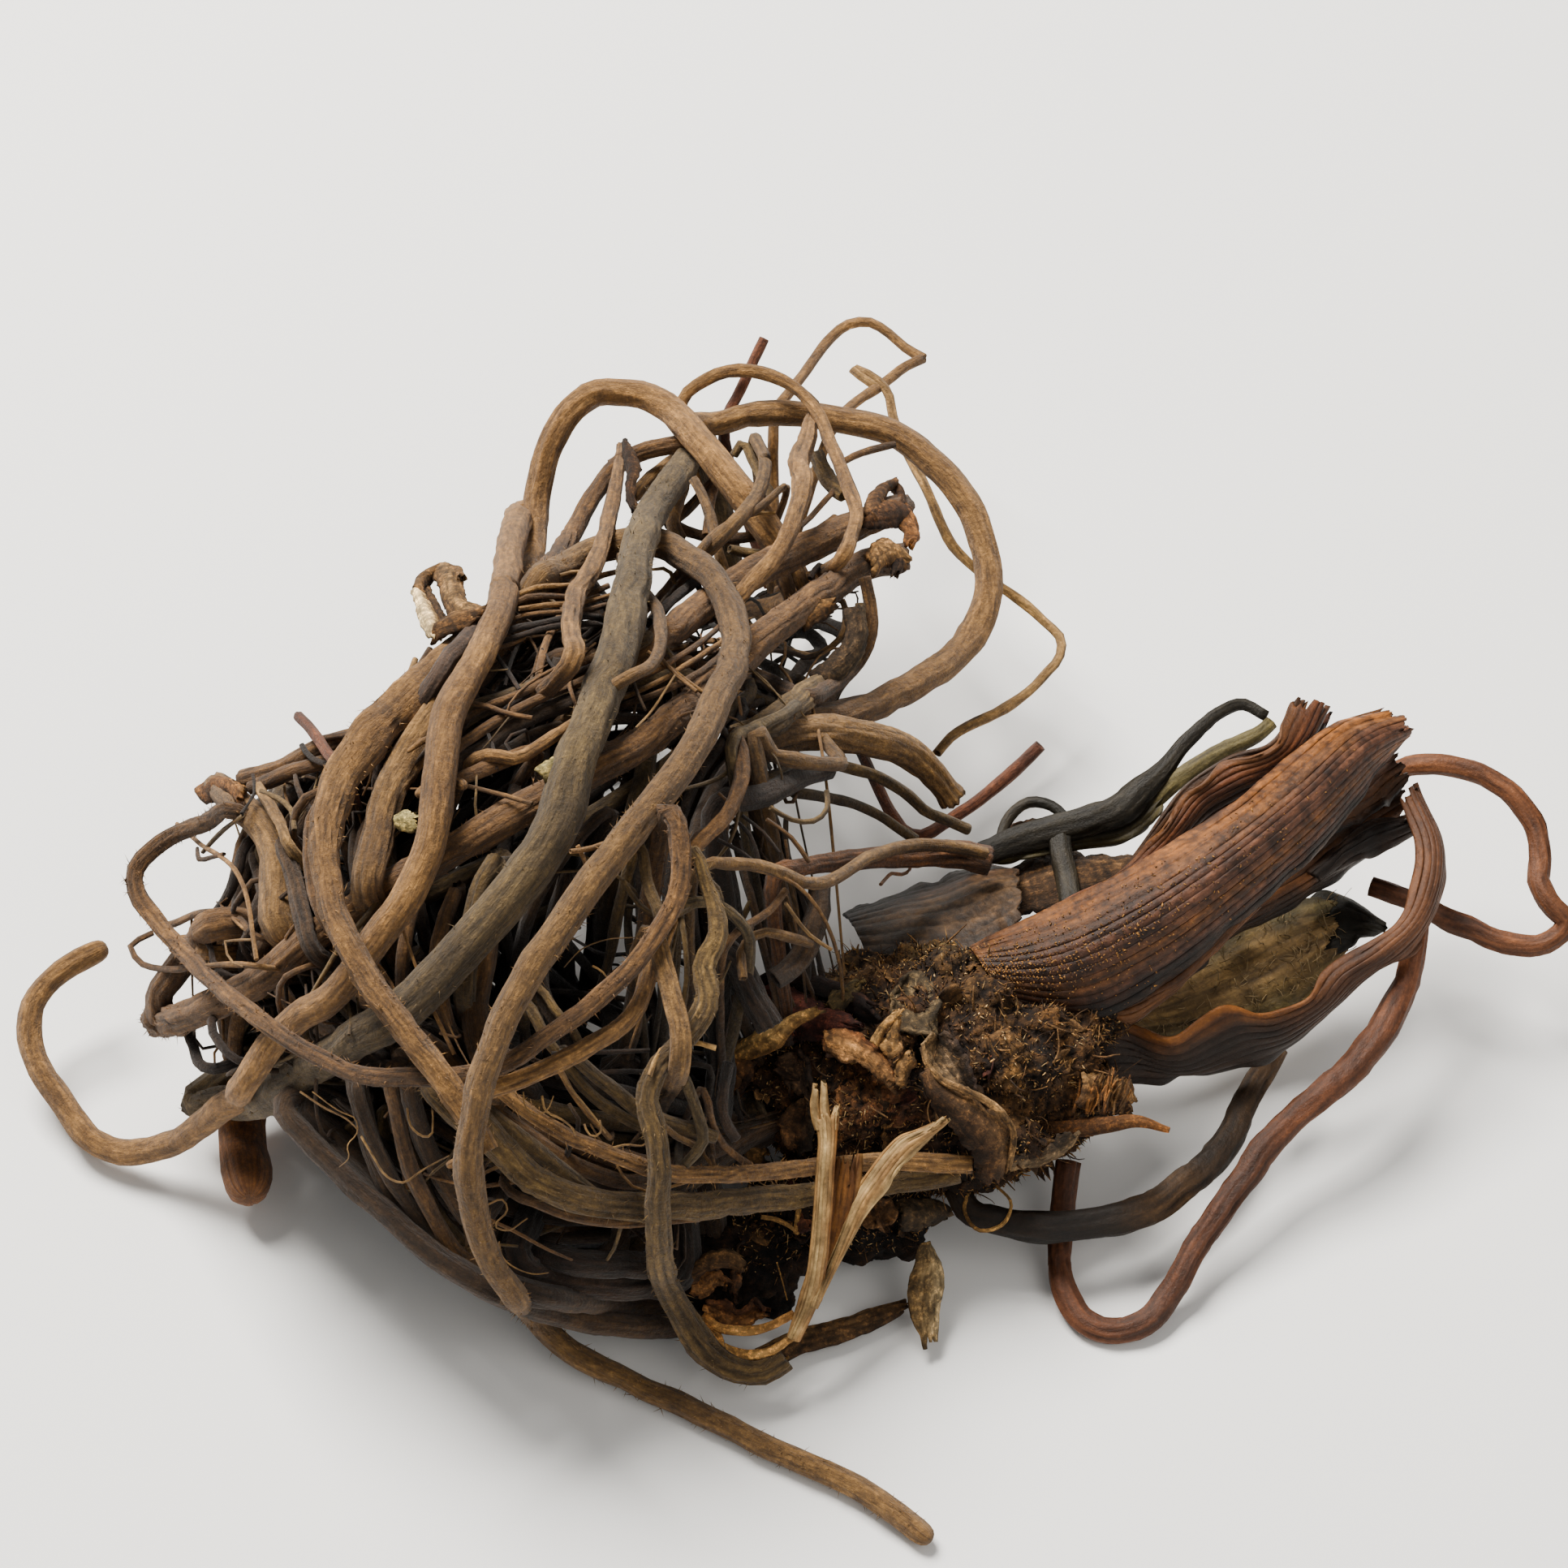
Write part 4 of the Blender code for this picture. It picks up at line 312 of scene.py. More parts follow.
ROOTS = (
    root("arch", ARCH, (1.6, 2.1, 2.2, 2.3, 2.5, 2.5, 1.3), lift=(-7.0, -4.0, 0.5, 1.5, 1.5, 0.0, -7.0), start="cut",
         groove=0.14, tones=(0.8, 0.85, 1.0, 1.0, 0.95, 0.9)),
    root("hooked", HOOKED, (2.3, 2.2, 2.4, 2.1, 2.0, 1.9), lift=1.8, start="arch", end="cut", groove=0.1,
         tips="round"),
    root("front_strap", FRONT_STRAP, (2.4, 3.9, 3.4, 2.1, 1.8), flat=0.55, lift=(-7, 1, 4.5, 4.5, 4.5), end="cut",
         ribs=15, groove=0.3),
    root("tailed", TAILED, (2.0, 2.2, 2.3, 2.2, 1.9, 1.7, 1.7), TAWNY,
         lift=(0.5, 2.0, 2.8, 2.8, 4.0, 6.0, 6.0, 3.0, 3.0), end="cut", groove=0.14, tips="round",
         tones=(0.75, 0.85, 0.88, 0.88, 0.85, 0.95, 1.3)),
    root("grey_thick", GREY_THICK, (1.9, 2.4, 2.6, 3.0, 3.1, 2.9, 2.6, 2.4), GREY,
         lift=(-5.0, 4.5, 3.0, 1.0, 1.0, 1.0, 1.0, 1.0), groove=0.14),
    root("diagonal", DIAGONAL, (2.6, 2.4, 2.4, 2.5, 2.6, 2.5, 2.6), BROWN, lift=-0.8, start="left_fold", end="cut",
         ribs=11, groove=0.26),
    root("left_fold", LEFT_FOLD, (2.4, 2.2), BROWN, lift=-0.5, end="cut", groove=0.2),
    root("husked", HUSKED, (2.0, 2.2, 2.6, 2.4), BROWN, lift=-0.4, end="cut", ribs=11, groove=0.28),
    root("back_arc", BACK_ARC, (1.9, 2.3, 2.4, 2.3), TAN, lift=(-1, -1, 0, -1, -6), start="arch", end="cut",
         groove=0.16,
         tones=(0.85, 0.9, 0.9, 0.9, 0.65)),
    root("left_loop", LEFT_LOOP, (1.7, 1.4, 1.3, 1.4, 1.4), BROWN, flat=0.55, lift=2.4, ribs=7, groove=0.36),
    root("torn_strap", TORN_STRAP, (0.9, 0.9, 1.0, 1.7, 1.6, 1.7, 2.0, 2.2, 1.9), OLIVE, flat=0.6,
         lift=(1.8, 1.8, 2.4, 4.2, 5.0, 5.0), end="cut", ribs=7, groove=0.36),
    root("lower_strap", LOWER_STRAP, (1.5, 1.9, 2.1, 2.3, 2.1), OLIVE, flat=0.6, lift=(0.9, 0.5, 0.2), start="cut",
         tones=(1.15,), ribs=10, groove=0.34) | {"domes": FRONT_DOMES},
    root("upper_strap", UPPER_STRAP, (1.5, 1.3, 1.1, 1.2), TAN, flat=0.6, lift=(1.0, 0.9, 0.1), start="cut", ribs=8,
         groove=0.36) | {"domes": FRONT_DOMES},
    root("knob_a", ((540, 962), (528, 970), (519, 977)), (1.1, 0.8), lift=1.2, start="cut", end="cut", tips="round"),
    root("knob_b", ((546, 958), (560, 962), (569, 967)), (1.1, 0.8), lift=1.2, start="cut", end="cut", tips="round"),
    root("knob_c", ((538, 908), (522, 913), (506, 924)), (0.7, 0.4), lift=0.6, start="cut", end="cut", tips="round"),
    root("knob_d", ((574, 1430), (564, 1431), (557, 1434)), (0.9, 0.6), lift=3.0, start="cut", end="cut",
         tips="round"),
    root("top_loop", TOP_LOOP, (0.9, 0.9), end="cut", ribs=5),
    root("top_loop_back", TOP_LOOP_BACK, (0.9, 0.9), start="top_loop", ribs=5),
    root("right_wisp", RIGHT_WISP, (0.95, 0.9, 0.85), PALE, start="top_loop_back", end="cut", ribs=4, groove=0.25),
    root("top_strap", TOP_STRAP, (1.1, 1.1, 1.2, 1.3), flat=0.6, lift=(0.8, 0.8, 3.0, 3.0), ribs=6, groove=0.32),
    root("twisted_strap", TWISTED_STRAP, (0.9, 1.9, 1.5, 1.3, 1.1), TAN, flat=0.6, lift=(1.0, 4.0, 4.0, 3.0),
         start="top_strap", ribs=9, groove=0.36),
    root("top_stub", TOP_STUB, (0.9, 1.0), RUSSET, start="cut", ribs=5),
    root("lattice_a", LATTICE_A, (0.9, 0.9), TAWNY, lift=1.0, start="cut", ribs=7, groove=0.36),
    root("lattice_b", LATTICE_B, (1.0, 1.0, 1.3, 0.9), TAWNY, lift=(-3.0, 3.0, 3.0, 2.0), ribs=6, groove=0.3),
    root("lattice_c", LATTICE_C, (0.6, 0.7), TAWNY, lift=2.0, ribs=5, groove=0.3),
    root("hanging_strap", HANGING_STRAP, (0.9, 1.3, 1.6, 1.5, 1.1), flat=0.6, lift=(3.0, 5.0, 5.0, 4.5), start="cut",
         ribs=8, groove=0.36),
    root("inner_curve", INNER_CURVE, (1.0, 1.0, 1.0, 0.8), TAWNY, lift=(4.0, 3.0, 2.0, 2.0), start="cut", ribs=5,
         groove=0.24),
    root("inner_across", INNER_ACROSS, (1.4, 1.5), OLIVE, lift=-3.0, ribs=6, groove=0.25),
    root("pink_stick", PINK_STICK, (1.1, 0.9), RUSSET, start="cut", ribs=5),
    root("ribbed_stub", RIBBED_STUB, (1.4, 1.7, 2.6, 2.9, 2.6, 2.1), TAWNY, flat=0.8, lift=-1.0, end="cut", ribs=10,
         groove=0.3, tips="husk"),
    root("short_tip_a", SHORT_TIP_A, (0.9, 0.8), OLIVE, lift=-2.0, start="dark_broad", end="cut", ribs=4),
    root("short_tip_b", SHORT_TIP_B, (1.0, 0.9), OLIVE, lift=-2.0, start="dark_broad", end="cut", ribs=4),
    root("dark_broad", DARK_BROAD, (1.6, 2.2), DARK, flat=0.6, lift=-3.0, start="cut", ribs=6),
    root("split_stub", SPLIT_STUB, (0.9, 1.2, 1.6, 2.2), ORANGE, flat=0.7, lift=-3.0, end="cut", ribs=8, groove=0.3,
         tones=(0.5, 0.7, 0.9, 0.8)),
    root("wavy_thin", WAVY_THIN, (0.8, 1.0, 1.0), TAWNY, lift=-1.0, end="cut", ribs=6, groove=0.3),
    root("small_curl", SMALL_CURL, (0.7, 0.8), TAWNY, lift=-3.0, start="cut", end="cut", ribs=4, groove=0.3),
    root("stub_under", ((935, 903), (945, 925), (975, 935), (1008, 941), (1038, 941)), (0.9, 1.2, 1.1), TAWNY,
         lift=-0.5,
         end="ribbed_stub", ribs=6, groove=0.3),
    root("ribbon_back", RIBBON_BACK, (1.0, 1.2, 1.3, 1.5, 1.8), BROWN, flat=0.5, lift=-1.5, start="cut", ribs=8,
         groove=0.34),
    root("grey_ribbon_a", GREY_RIBBON_A, (0.8, 1.2, 1.8, 2.2, 2.2, 1.6), OLIVE, flat=0.45, lift=(-1.0, -1.0, -5.0),
         start="cut", end="cut", ribs=9, groove=0.34),
    root("grey_ribbon_b", GREY_RIBBON_B, (1.1, 1.2, 1.0), BROWN, flat=0.5, lift=-1.0, start="cut", ribs=6,
         groove=0.34),
    root("knobby_stub", KNOBBY_STUB, (2.0, 2.4, 3.2, 3.0), TAWNY, lift=-1.0, start="cut", groove=0.12, tips="husk"),
    root("round_stub", ROUND_STUB, (3.2, 3.6, 3.7), ORANGE, end="cut", groove=0.08, tips="round"),
    root("left_band", LEFT_BAND, (1.4, 1.6), BROWN, lift=-1.0, start="cut", ribs=6, groove=0.25),
    root("squiggle_a", SQUIGGLE_A, (0.5, 0.6), BROWN, lift=-1.5, end="cut", ribs=4),
    root("squiggle_b", SQUIGGLE_B, (0.5, 0.6), BROWN, lift=-1.5, start="cut", ribs=4),
    root("top_left_tip", TOP_LEFT_TIP, (0.8, 1.0), RUSSET, start="cut", ribs=4),
    root("foot_a", FOOT_A, (1.6, 1.8, 1.7), INNER, lift=0.0, ribs=6),
    root("foot_b", FOOT_B, (1.6, 1.8, 1.7), INNER, lift=-2.0, ribs=6),
    root("upright_a", UPRIGHT_A, (1.6, 1.7), INNER, flat=0.7, lift=-1.5, ribs=6),
    root("upright_b", UPRIGHT_B, (1.4, 1.5), INNER, flat=0.7, lift=-1.5, ribs=6),
    root("upright_c", UPRIGHT_C, (2.0, 2.0), BROWN, lift=-4.0, ribs=6),
)

# Inner strands as they are seen: colours, width, thickness share, lift, marks
STRANDS = (
    (BROWN, 1.6, 1.0, -1.5, ((850, 545), (800, 553), (760, 575), (735, 605), (712, 645), (690, 680), (665, 712))),
    (TAN, 0.5, 0.7, -0.3, ((648, 728), (675, 722), (705, 722), (745, 708), (780, 700))),
    (BROWN, 0.5, 0.7, -0.5, ((645, 738), (680, 734), (710, 735), (750, 722))),
    (TAN, 0.45, 0.7, -0.5, ((640, 750), (690, 744), (720, 742), (760, 730))),
    (BROWN, 0.5, 0.7, -0.8, ((636, 762), (680, 754), (710, 754), (750, 745))),
    (DARK, 0.6, 0.7, -1.2, ((628, 776), (670, 768), (700, 762), (735, 760))),
    (DARK, 0.5, 0.7, -1.4, ((618, 792), (650, 780), (690, 770), (740, 770))),
    (PALE, 0.4, 0.7, 0.6, ((690, 709), (715, 704), (735, 706))),
    (BROWN, 0.6, 0.8, -2.0, ((702, 742), (682, 772), (668, 805), (662, 840), (655, 862))),
    (DARK, 0.35, 1.0, -2.5, ((640, 790), (630, 815), (622, 845))),
    (DARK, 0.35, 1.0, -2.5, ((610, 805), (625, 825), (640, 850))),
    (DARK, 0.3, 1.0, -2.5, ((668, 800), (680, 820), (692, 835))),
    (BROWN, 0.45, 1.0, -2.0, ((600, 800), (640, 790), (665, 775))),
    (BROWN, 0.8, 0.8, -1.2, ((560, 925), (600, 897), (650, 868), (700, 846), (745, 828))),
    (BROWN, 0.7, 0.8, -1.2, ((596, 872), (650, 850), (700, 825), (750, 800))),
    (DARK, 0.5, 0.8, -1.6, ((640, 862), (700, 833), (750, 812))),
    (BROWN, 0.45, 1.0, -1.0, ((570, 866), (600, 870), (628, 880), (655, 885))),
    (INNER, 1.2, 0.8, -2.4, ((560, 945), (620, 905), (680, 872), (740, 850))),
    (TAN, 1.0, 0.7, -0.6, ((603, 930), (625, 936), (645, 932), (672, 914), (705, 893), (740, 868))),
    (BROWN, 1.1, 0.5, -1.0, ((560, 962), (600, 946), (640, 930), (655, 925))),
    (DARK, 0.3, 1.0, -1.5, ((602, 905), (612, 915), (606, 935), (612, 948))),
    (DARK, 0.3, 1.0, -1.5, ((632, 930), (620, 915), (634, 905), (648, 900))),
    (TAWNY, 1.3, 1.0, -7.0, ((850, 560), (838, 610), (828, 640), (838, 665))),
    (BROWN, 1.0, 1.0, -7.0, ((820, 640), (850, 656), (900, 664), (960, 655))),
    (BROWN, 0.9, 1.0, -8.0, ((880, 590), (850, 625), (822, 648))),
    (BROWN, 1.0, 1.0, -6.0, ((752, 572), (790, 552), (830, 545), (862, 552))),
    (TAWNY, 1.2, 0.9, -6.0, ((780, 612), (810, 580), (845, 558))),
    (OLIVE, 0.9, 0.9, -7.0, ((905, 560), (912, 545), (930, 575), (950, 610))),
    (BROWN, 0.8, 0.9, -7.0, ((870, 660), (880, 600), (892, 560))),
    (BROWN, 1.3, 0.6, -5.0, ((940, 632), (950, 655), (958, 690), (975, 735))),
    (OLIVE, 0.9, 0.9, -6.0, ((900, 676), (940, 684), (980, 676))),
    (BROWN, 1.1, 0.8, -3.0, ((905, 725), (940, 700), (985, 672), (1030, 640))),
    (OLIVE, 1.5, 0.6, -5.0, ((1005, 560), (1020, 590), (1040, 610))),
    (BROWN, 0.5, 0.9, -5.0, ((1040, 590), (1010, 625), (985, 650))),
    (BROWN, 0.6, 0.9, -5.0, ((905, 745), (925, 770), (935, 790))),
    (PALE, 0.4, 1.0, 0.3, ((955, 632), (930, 632), (905, 648), (875, 668))),
    (BROWN, 0.5, 0.8, -1.0, ((815, 822), (850, 800), (880, 778), (900, 755))),
    (TAN, 0.5, 0.8, -1.0, ((820, 835), (858, 812), (890, 790))),
    (BROWN, 0.6, 0.8, -1.2, ((830, 845), (866, 826), (890, 805))),
    (OLIVE, 1.2, 0.9, -2.5, ((785, 792), (830, 770), (870, 746), (900, 725))),
    (DARK, 0.9, 1.0, -3.0, ((800, 768), (830, 738), (860, 714), (880, 700))),
    (DARK, 0.6, 1.0, -2.5, ((855, 712), (868, 738), (885, 765))),
    (PALE, 0.35, 1.0, 0.0, ((803, 702), (818, 699), (828, 708), (831, 718))),
    (TAN, 0.4, 1.0, 0.0, ((798, 803), (830, 826), (858, 848), (880, 862))),
    (TAN, 0.35, 1.0, 0.3, ((806, 800), (840, 838), (858, 852))),
    (PALE, 0.2, 1.0, 0.6, ((832, 832), (812, 862), (796, 885), (784, 897))),
    (MAUVE, 1.6, 0.9, -0.5, ((604, 754), (585, 780), (560, 806), (535, 840), (508, 885), (480, 930))),
    (TAWNY, 2.4, 0.5, 0.2, ((560, 850), (520, 905), (488, 960), (468, 1020), (452, 1080))),
    (PALE, 0.5, 0.8, -0.6, ((512, 812), (498, 845), (480, 878), (455, 905), (430, 935))),
    (BROWN, 0.6, 0.8, -1.0, ((530, 800), (505, 840), (470, 890), (440, 925))),
    (BROWN, 0.6, 0.8, -1.0, ((398, 910), (430, 906), (455, 914), (475, 930))),
    (TAN, 0.4, 1.0, 2.0, ((703, 1049), (725, 1046), (744, 1040))),
    (TAN, 0.4, 1.0, 2.0, ((712, 1042), (722, 1066), (729, 1092))),
    (TAN, 0.4, 1.0, 0.0, ((575, 968), (615, 978), (655, 990))),
    (OLIVE, 1.7, 0.7, -2.0, ((612, 1060), (592, 1100), (578, 1150), (572, 1210))),
    (BROWN, 1.2, 0.8, -2.5, ((560, 1100), (547, 1140), (540, 1190), (545, 1240))),
    (BROWN, 1.0, 0.8, -2.5, ((508, 1120), (498, 1160), (496, 1210), (505, 1260))),
    (INNER, 1.2, 0.8, -3.0, ((700, 1080), (690, 1120), (672, 1165), (668, 1220), (690, 1262))),
    (INNER, 1.0, 0.8, -3.0, ((750, 1000), (722, 1022), (690, 1060), (660, 1110))),
    (GREY, 1.0, 0.7, -1.0, ((905, 908), (935, 895), (965, 880), (1000, 850))),
    (OLIVE, 0.45, 0.9, -2.0, ((950, 995), (975, 1010), (1000, 1012), (1018, 1000), (1019, 975))),
    (DARK, 0.35, 1.0, -3.0, ((900, 1005), (925, 1030), (935, 1060))),
    (DARK, 0.35, 1.0, -3.0, ((915, 1005), (945, 1030), (960, 1050))),
    (DARK, 0.35, 1.0, -3.0, ((885, 1035), (905, 1045), (930, 1062))),
    (BROWN, 0.4, 1.0, -2.5, ((945, 1010), (970, 1025), (985, 1050), (997, 1062))),
    (INNER, 1.9, 0.4, -4.0, ((1012, 1092), (1003, 1140), (985, 1180), (955, 1205))),
    (BROWN, 0.7, 0.8, -2.5, ((968, 1098), (950, 1120), (930, 1135), (905, 1150))),
    (PALE, 0.3, 1.0, -2.0, ((968, 1113), (990, 1115), (975, 1130), (980, 1143), (1000, 1152), (1024, 1170))),
    (ORANGE, 0.3, 1.0, -2.0, ((1085, 1090), (1100, 1076), (1118, 1076), (1125, 1056))),
    (GREY, 0.9, 0.5, -2.0, ((845, 1115), (875, 1110), (900, 1125), (913, 1135))),
    (OLIVE, 0.9, 0.6, 0.5, ((790, 1045), (797, 1090), (812, 1128))),
    (OLIVE, 0.45, 1.0, 0.0, ((768, 1085), (785, 1112), (812, 1132), (850, 1120))),
    (TAWNY, 1.5, 0.5, 2.2, ((805, 1150), (820, 1200), (835, 1250), (838, 1292))),
    (OLIVE, 0.5, 0.8, -0.5, ((838, 1130), (845, 1170), (846, 1205), (842, 1235))),
    (TAN, 1.35, 0.6, 1.2, ((805, 1170), (796, 1210), (780, 1250), (740, 1280), (690, 1308), (640, 1330),
                           (600, 1342))),
    (PALE, 0.45, 0.7, 2.2, ((800, 1325), (808, 1302), (830, 1287), (858, 1284), (881, 1291))),
    (OLIVE, 0.9, 0.8, -2.0, ((655, 1245), (670, 1275), (690, 1302), (720, 1340), (760, 1372), (800, 1392))),
    (OLIVE, 0.7, 0.8, -2.0, ((668, 1220), (685, 1245), (702, 1264))),
    (OLIVE, 1.1, 0.8, -1.5, ((705, 1300), (758, 1345), (790, 1370), (835, 1387), (880, 1402))),
    (TAN, 0.5, 0.8, -1.0, ((690, 1318), (712, 1358), (740, 1390))),
    (OLIVE, 1.2, 0.8, -0.8, ((595, 1365), (640, 1400), (690, 1440), (732, 1474), (755, 1490))),
    (BROWN, 0.8, 0.8, -0.5, ((630, 1470), (700, 1498), (780, 1506), (860, 1500))),
    (GREY, 0.85, 0.6, 0.0, ((838, 1318), (852, 1350), (862, 1380), (866, 1410), (848, 1432))),
    (BROWN, 0.6, 0.8, -1.0, ((870, 1350), (878, 1385), (895, 1415), (925, 1435))),
    (DARK, 2.4, 1.0, -2.5, ((640, 1560), (700, 1578), (760, 1584), (830, 1580))),
    (DARK, 2.0, 1.0, -4.0, ((650, 1540), (720, 1556), (800, 1560))),
    (DARK, 2.2, 1.0, -4.5, ((898, 1170), (922, 1215), (945, 1262))),
    (DARK, 0.9, 0.8, -1.5, ((897, 1310), (890, 1350), (893, 1385), (906, 1402))),
    (PALE, 0.5, 0.8, -0.5, ((812, 1380), (830, 1398), (853, 1410))),
    (DARK, 0.4, 1.0, -2.0, ((680, 1298), (740, 1296), (800, 1294))),
    (DARK, 0.4, 1.0, -2.0, ((735, 1322), (790, 1320), (830, 1330))),
    (INNER, 1.1, 0.8, -1.0, ((440, 1340), (450, 1380), (470, 1430), (500, 1480), (545, 1535))),
    (BROWN, 1.2, 0.7, -1.0, ((480, 1330), (490, 1380), (505, 1440), (530, 1490), (560, 1540), (605, 1572))),
    (OLIVE, 0.9, 0.8, -1.5, ((500, 1380), (515, 1440), (545, 1500), (590, 1555))),
    (PALE, 0.9, 0.6, 0.5, ((318, 968), (330, 990), (345, 1010), (353, 1036))),
    (OLIVE, 0.45, 0.8, 0.3, ((322, 975), (345, 985), (360, 1000), (363, 1022))),
    (BROWN, 1.2, 0.8, -2.0, ((310, 972), (350, 955), (400, 940), (440, 925))),
    (DARK, 0.5, 0.8, -1.0, ((372, 918), (380, 931), (400, 941), (425, 948))),
    (DARK, 0.3, 1.0, 1.0, ((298, 1002), (310, 985), (316, 966), (312, 955))),
    (OLIVE, 0.4, 1.0, 0.5, ((250, 1050), (270, 1027), (300, 1005))),
    (TAN, 0.4, 1.0, 1.5, ((218, 1015), (236, 1031), (256, 1046), (280, 1061), (296, 1082), (306, 1112), (311, 1150),
                          (316, 1182))),
    (BROWN, 0.4, 1.0, 1.0, ((243, 1046), (247, 1060), (262, 1056), (276, 1052))),
    (DARK, 0.8, 0.8, -1.5, ((303, 1040), (292, 1075), (280, 1105), (266, 1130))),
    (TAN, 1.4, 0.5, -1.0, ((212, 1166), (235, 1166), (255, 1176))),
    (DARK, 0.5, 0.8, -1.0, ((250, 1150), (260, 1170), (264, 1190))),
    (PALE, 0.2, 1.0, 1.0, ((277, 1160), (294, 1158), (310, 1158))),
    (PALE, 0.2, 1.0, 1.0, ((277, 1160), (281, 1175), (285, 1188), (300, 1191))),
    (TAN, 0.5, 0.8, 0.8, ((250, 1192), (285, 1188), (312, 1190))),
    (DARK, 0.9, 0.8, -1.0, ((235, 1265), (239, 1290), (250, 1315))),
    (DARK, 0.7, 0.8, -1.0, ((260, 1262), (270, 1285), (290, 1305))),
    (BROWN, 0.75, 0.8, 0.5, ((402, 984), (386, 1002), (381, 1050), (384, 1100), (395, 1128))),
    (BROWN, 0.6, 0.8, 0.0, ((362, 1010), (372, 986), (402, 975))),
    (BROWN, 0.5, 0.8, -0.5, ((345, 1245), (342, 1220), (352, 1203), (375, 1192))),
    (OLIVE, 0.25, 1.0, -1.0, ((428, 1232), (432, 1255), (430, 1275))),
    (OLIVE, 0.25, 1.0, -1.0, ((440, 1230), (442, 1246), (441, 1262))),
    (INNER, 1.4, 0.8, -2.0, ((350, 1040), (362, 1080), (372, 1120), (380, 1160))),
    (BROWN, 0.7, 0.9, 0.0, ((1040, 568), (1070, 555), (1102, 548))),
    (DARK, 0.5, 0.9, -1.0, ((998, 712), (1012, 696), (1026, 706))),
    (PALE, 0.6, 0.8, -1.0, ((1042, 752), (1037, 785), (1018, 802))),
)
HAIRS = (
    ((370, 1345), (400, 1365), (430, 1381), (441, 1392)),
    ((385, 1345), (420, 1370), (438, 1379), (440, 1396), (428, 1411), (430, 1426), (418, 1438)),
    ((445, 1400), (460, 1425), (475, 1448), (495, 1457), (520, 1442), (545, 1428), (553, 1424)),
    ((502, 1365), (505, 1385), (515, 1397), (530, 1400), (533, 1380), (533, 1368)),
    ((600, 1485), (620, 1478), (625, 1492), (610, 1510), (622, 1516), (650, 1501)),
    ((615, 1530), (620, 1550), (636, 1563), (660, 1570), (676, 1568)),
    ((695, 1192), (716, 1170), (746, 1158), (782, 1155)),
    ((730, 1190), (745, 1200), (750, 1211)),
    ((645, 1345), (648, 1365), (660, 1373), (672, 1370), (682, 1350)),
    ((668, 1350), (672, 1368), (690, 1378), (705, 1390), (709, 1399)),
    ((670, 1305), (692, 1322), (700, 1336), (716, 1356), (736, 1381), (746, 1396)),
    ((720, 1385), (728, 1400), (740, 1396), (739, 1380)),
    ((755, 1414), (775, 1410), (790, 1412), (797, 1408)),
)

# Bundles of hidden roots: marks of the middle strand, strands, spread in marks, widths, lifts
BUNDLES = (
    (((705, 745), (580, 840), (490, 940), (450, 1060), (465, 1190), (530, 1300)), 7, 80, (0.8, 1.8), (-8, -3)),
    (((235, 1295), (420, 1190), (620, 1065), (800, 955), (950, 850), (1040, 760)), 8, 100, (0.8, 1.8), (-9, -4)),
    (((640, 1340), (600, 1210), (615, 1080), (665, 950), (725, 820), (770, 700)), 8, 130, (0.8, 1.8), (-10, -5)),
    (((880, 1420), (852, 1260), (835, 1110), (850, 970), (900, 860), (965, 770)), 8, 90, (0.6, 1.5), (-10, -4)),
    (((1120, 1440), (950, 1475), (760, 1465), (600, 1400), (480, 1310), (410, 1220)), 7, 70, (0.8, 1.6), (-7, -3)),
    (((900, 1610), (760, 1600), (620, 1560), (500, 1480), (410, 1405), (350, 1360)), 8, 34, (0.9, 1.7), (-4, -1)),
    (((700, 710), (770, 620), (870, 575), (980, 565), (1060, 640)), 7, 70, (0.4, 0.9), (-6, -2)),
    (((640, 830), (760, 720), (890, 650), (1020, 640)), 6, 80, (0.4, 0.9), (-6, -2)),
    (((240, 1340), (265, 1200), (330, 1060), (415, 940), (500, 850), (590, 770)), 8, 55, (0.7, 1.6), (-5, -1.5)),
    (((430, 1300), (450, 1400), (510, 1490), (590, 1560)), 7, 75, (0.8, 1.6), (-6, -2)),
    (((880, 890), (930, 990), (960, 1090), (930, 1190)), 7, 50, (0.4, 0.9), (-8, -4)),
    (((560, 900), (700, 860), (860, 840), (960, 880)), 6, 50, (0.6, 1.4), (-8, -4)),
    (((640, 1180), (760, 1290), (880, 1370), (1000, 1400)), 6, 80, (0.7, 1.4), (-8, -4)),
)
BUNDLE_SEED = 23
EXTRA_FILLERS = 36
EXTRA_SEED = 41
# Painted shade: roots are darkened from this share of a dome's radius inwards, over this span, to this depth
DEEP_FROM = 0.97
DEEP_SPAN = 0.36
DEEP_SHADE = 0.9
# Hidden roots stay within this share of the domes
FREE_SHARE = 0.9

# The outline that hidden roots stay in
OUTLINE = ((640, 640), (625, 700), (607, 745), (590, 765), (545, 800), (512, 835), (480, 885), (445, 910), (400, 932),
           (350, 962), (300, 982), (262, 1000), (225, 1035), (190, 1075), (185, 1110), (205, 1170), (196, 1215),
           (222, 1260), (240, 1300), (246, 1366), (330, 1380), (400, 1436), (470, 1496), (540, 1556), (610, 1596),
           (700, 1624), (820, 1632), (840, 1600), (832, 1510), (868, 1480), (880, 1420), (868, 1330), (880, 1240),
           (900, 1190), (930, 1150), (950, 1100), (985, 1060), (1000, 990), (965, 930), (1040, 860), (1070, 760),
           (1062, 722), (1020, 760), (960, 742), (900, 770), (850, 775), (800, 780), (755, 752), (735, 715),
           (700, 700),
           (678, 690), (660, 672))
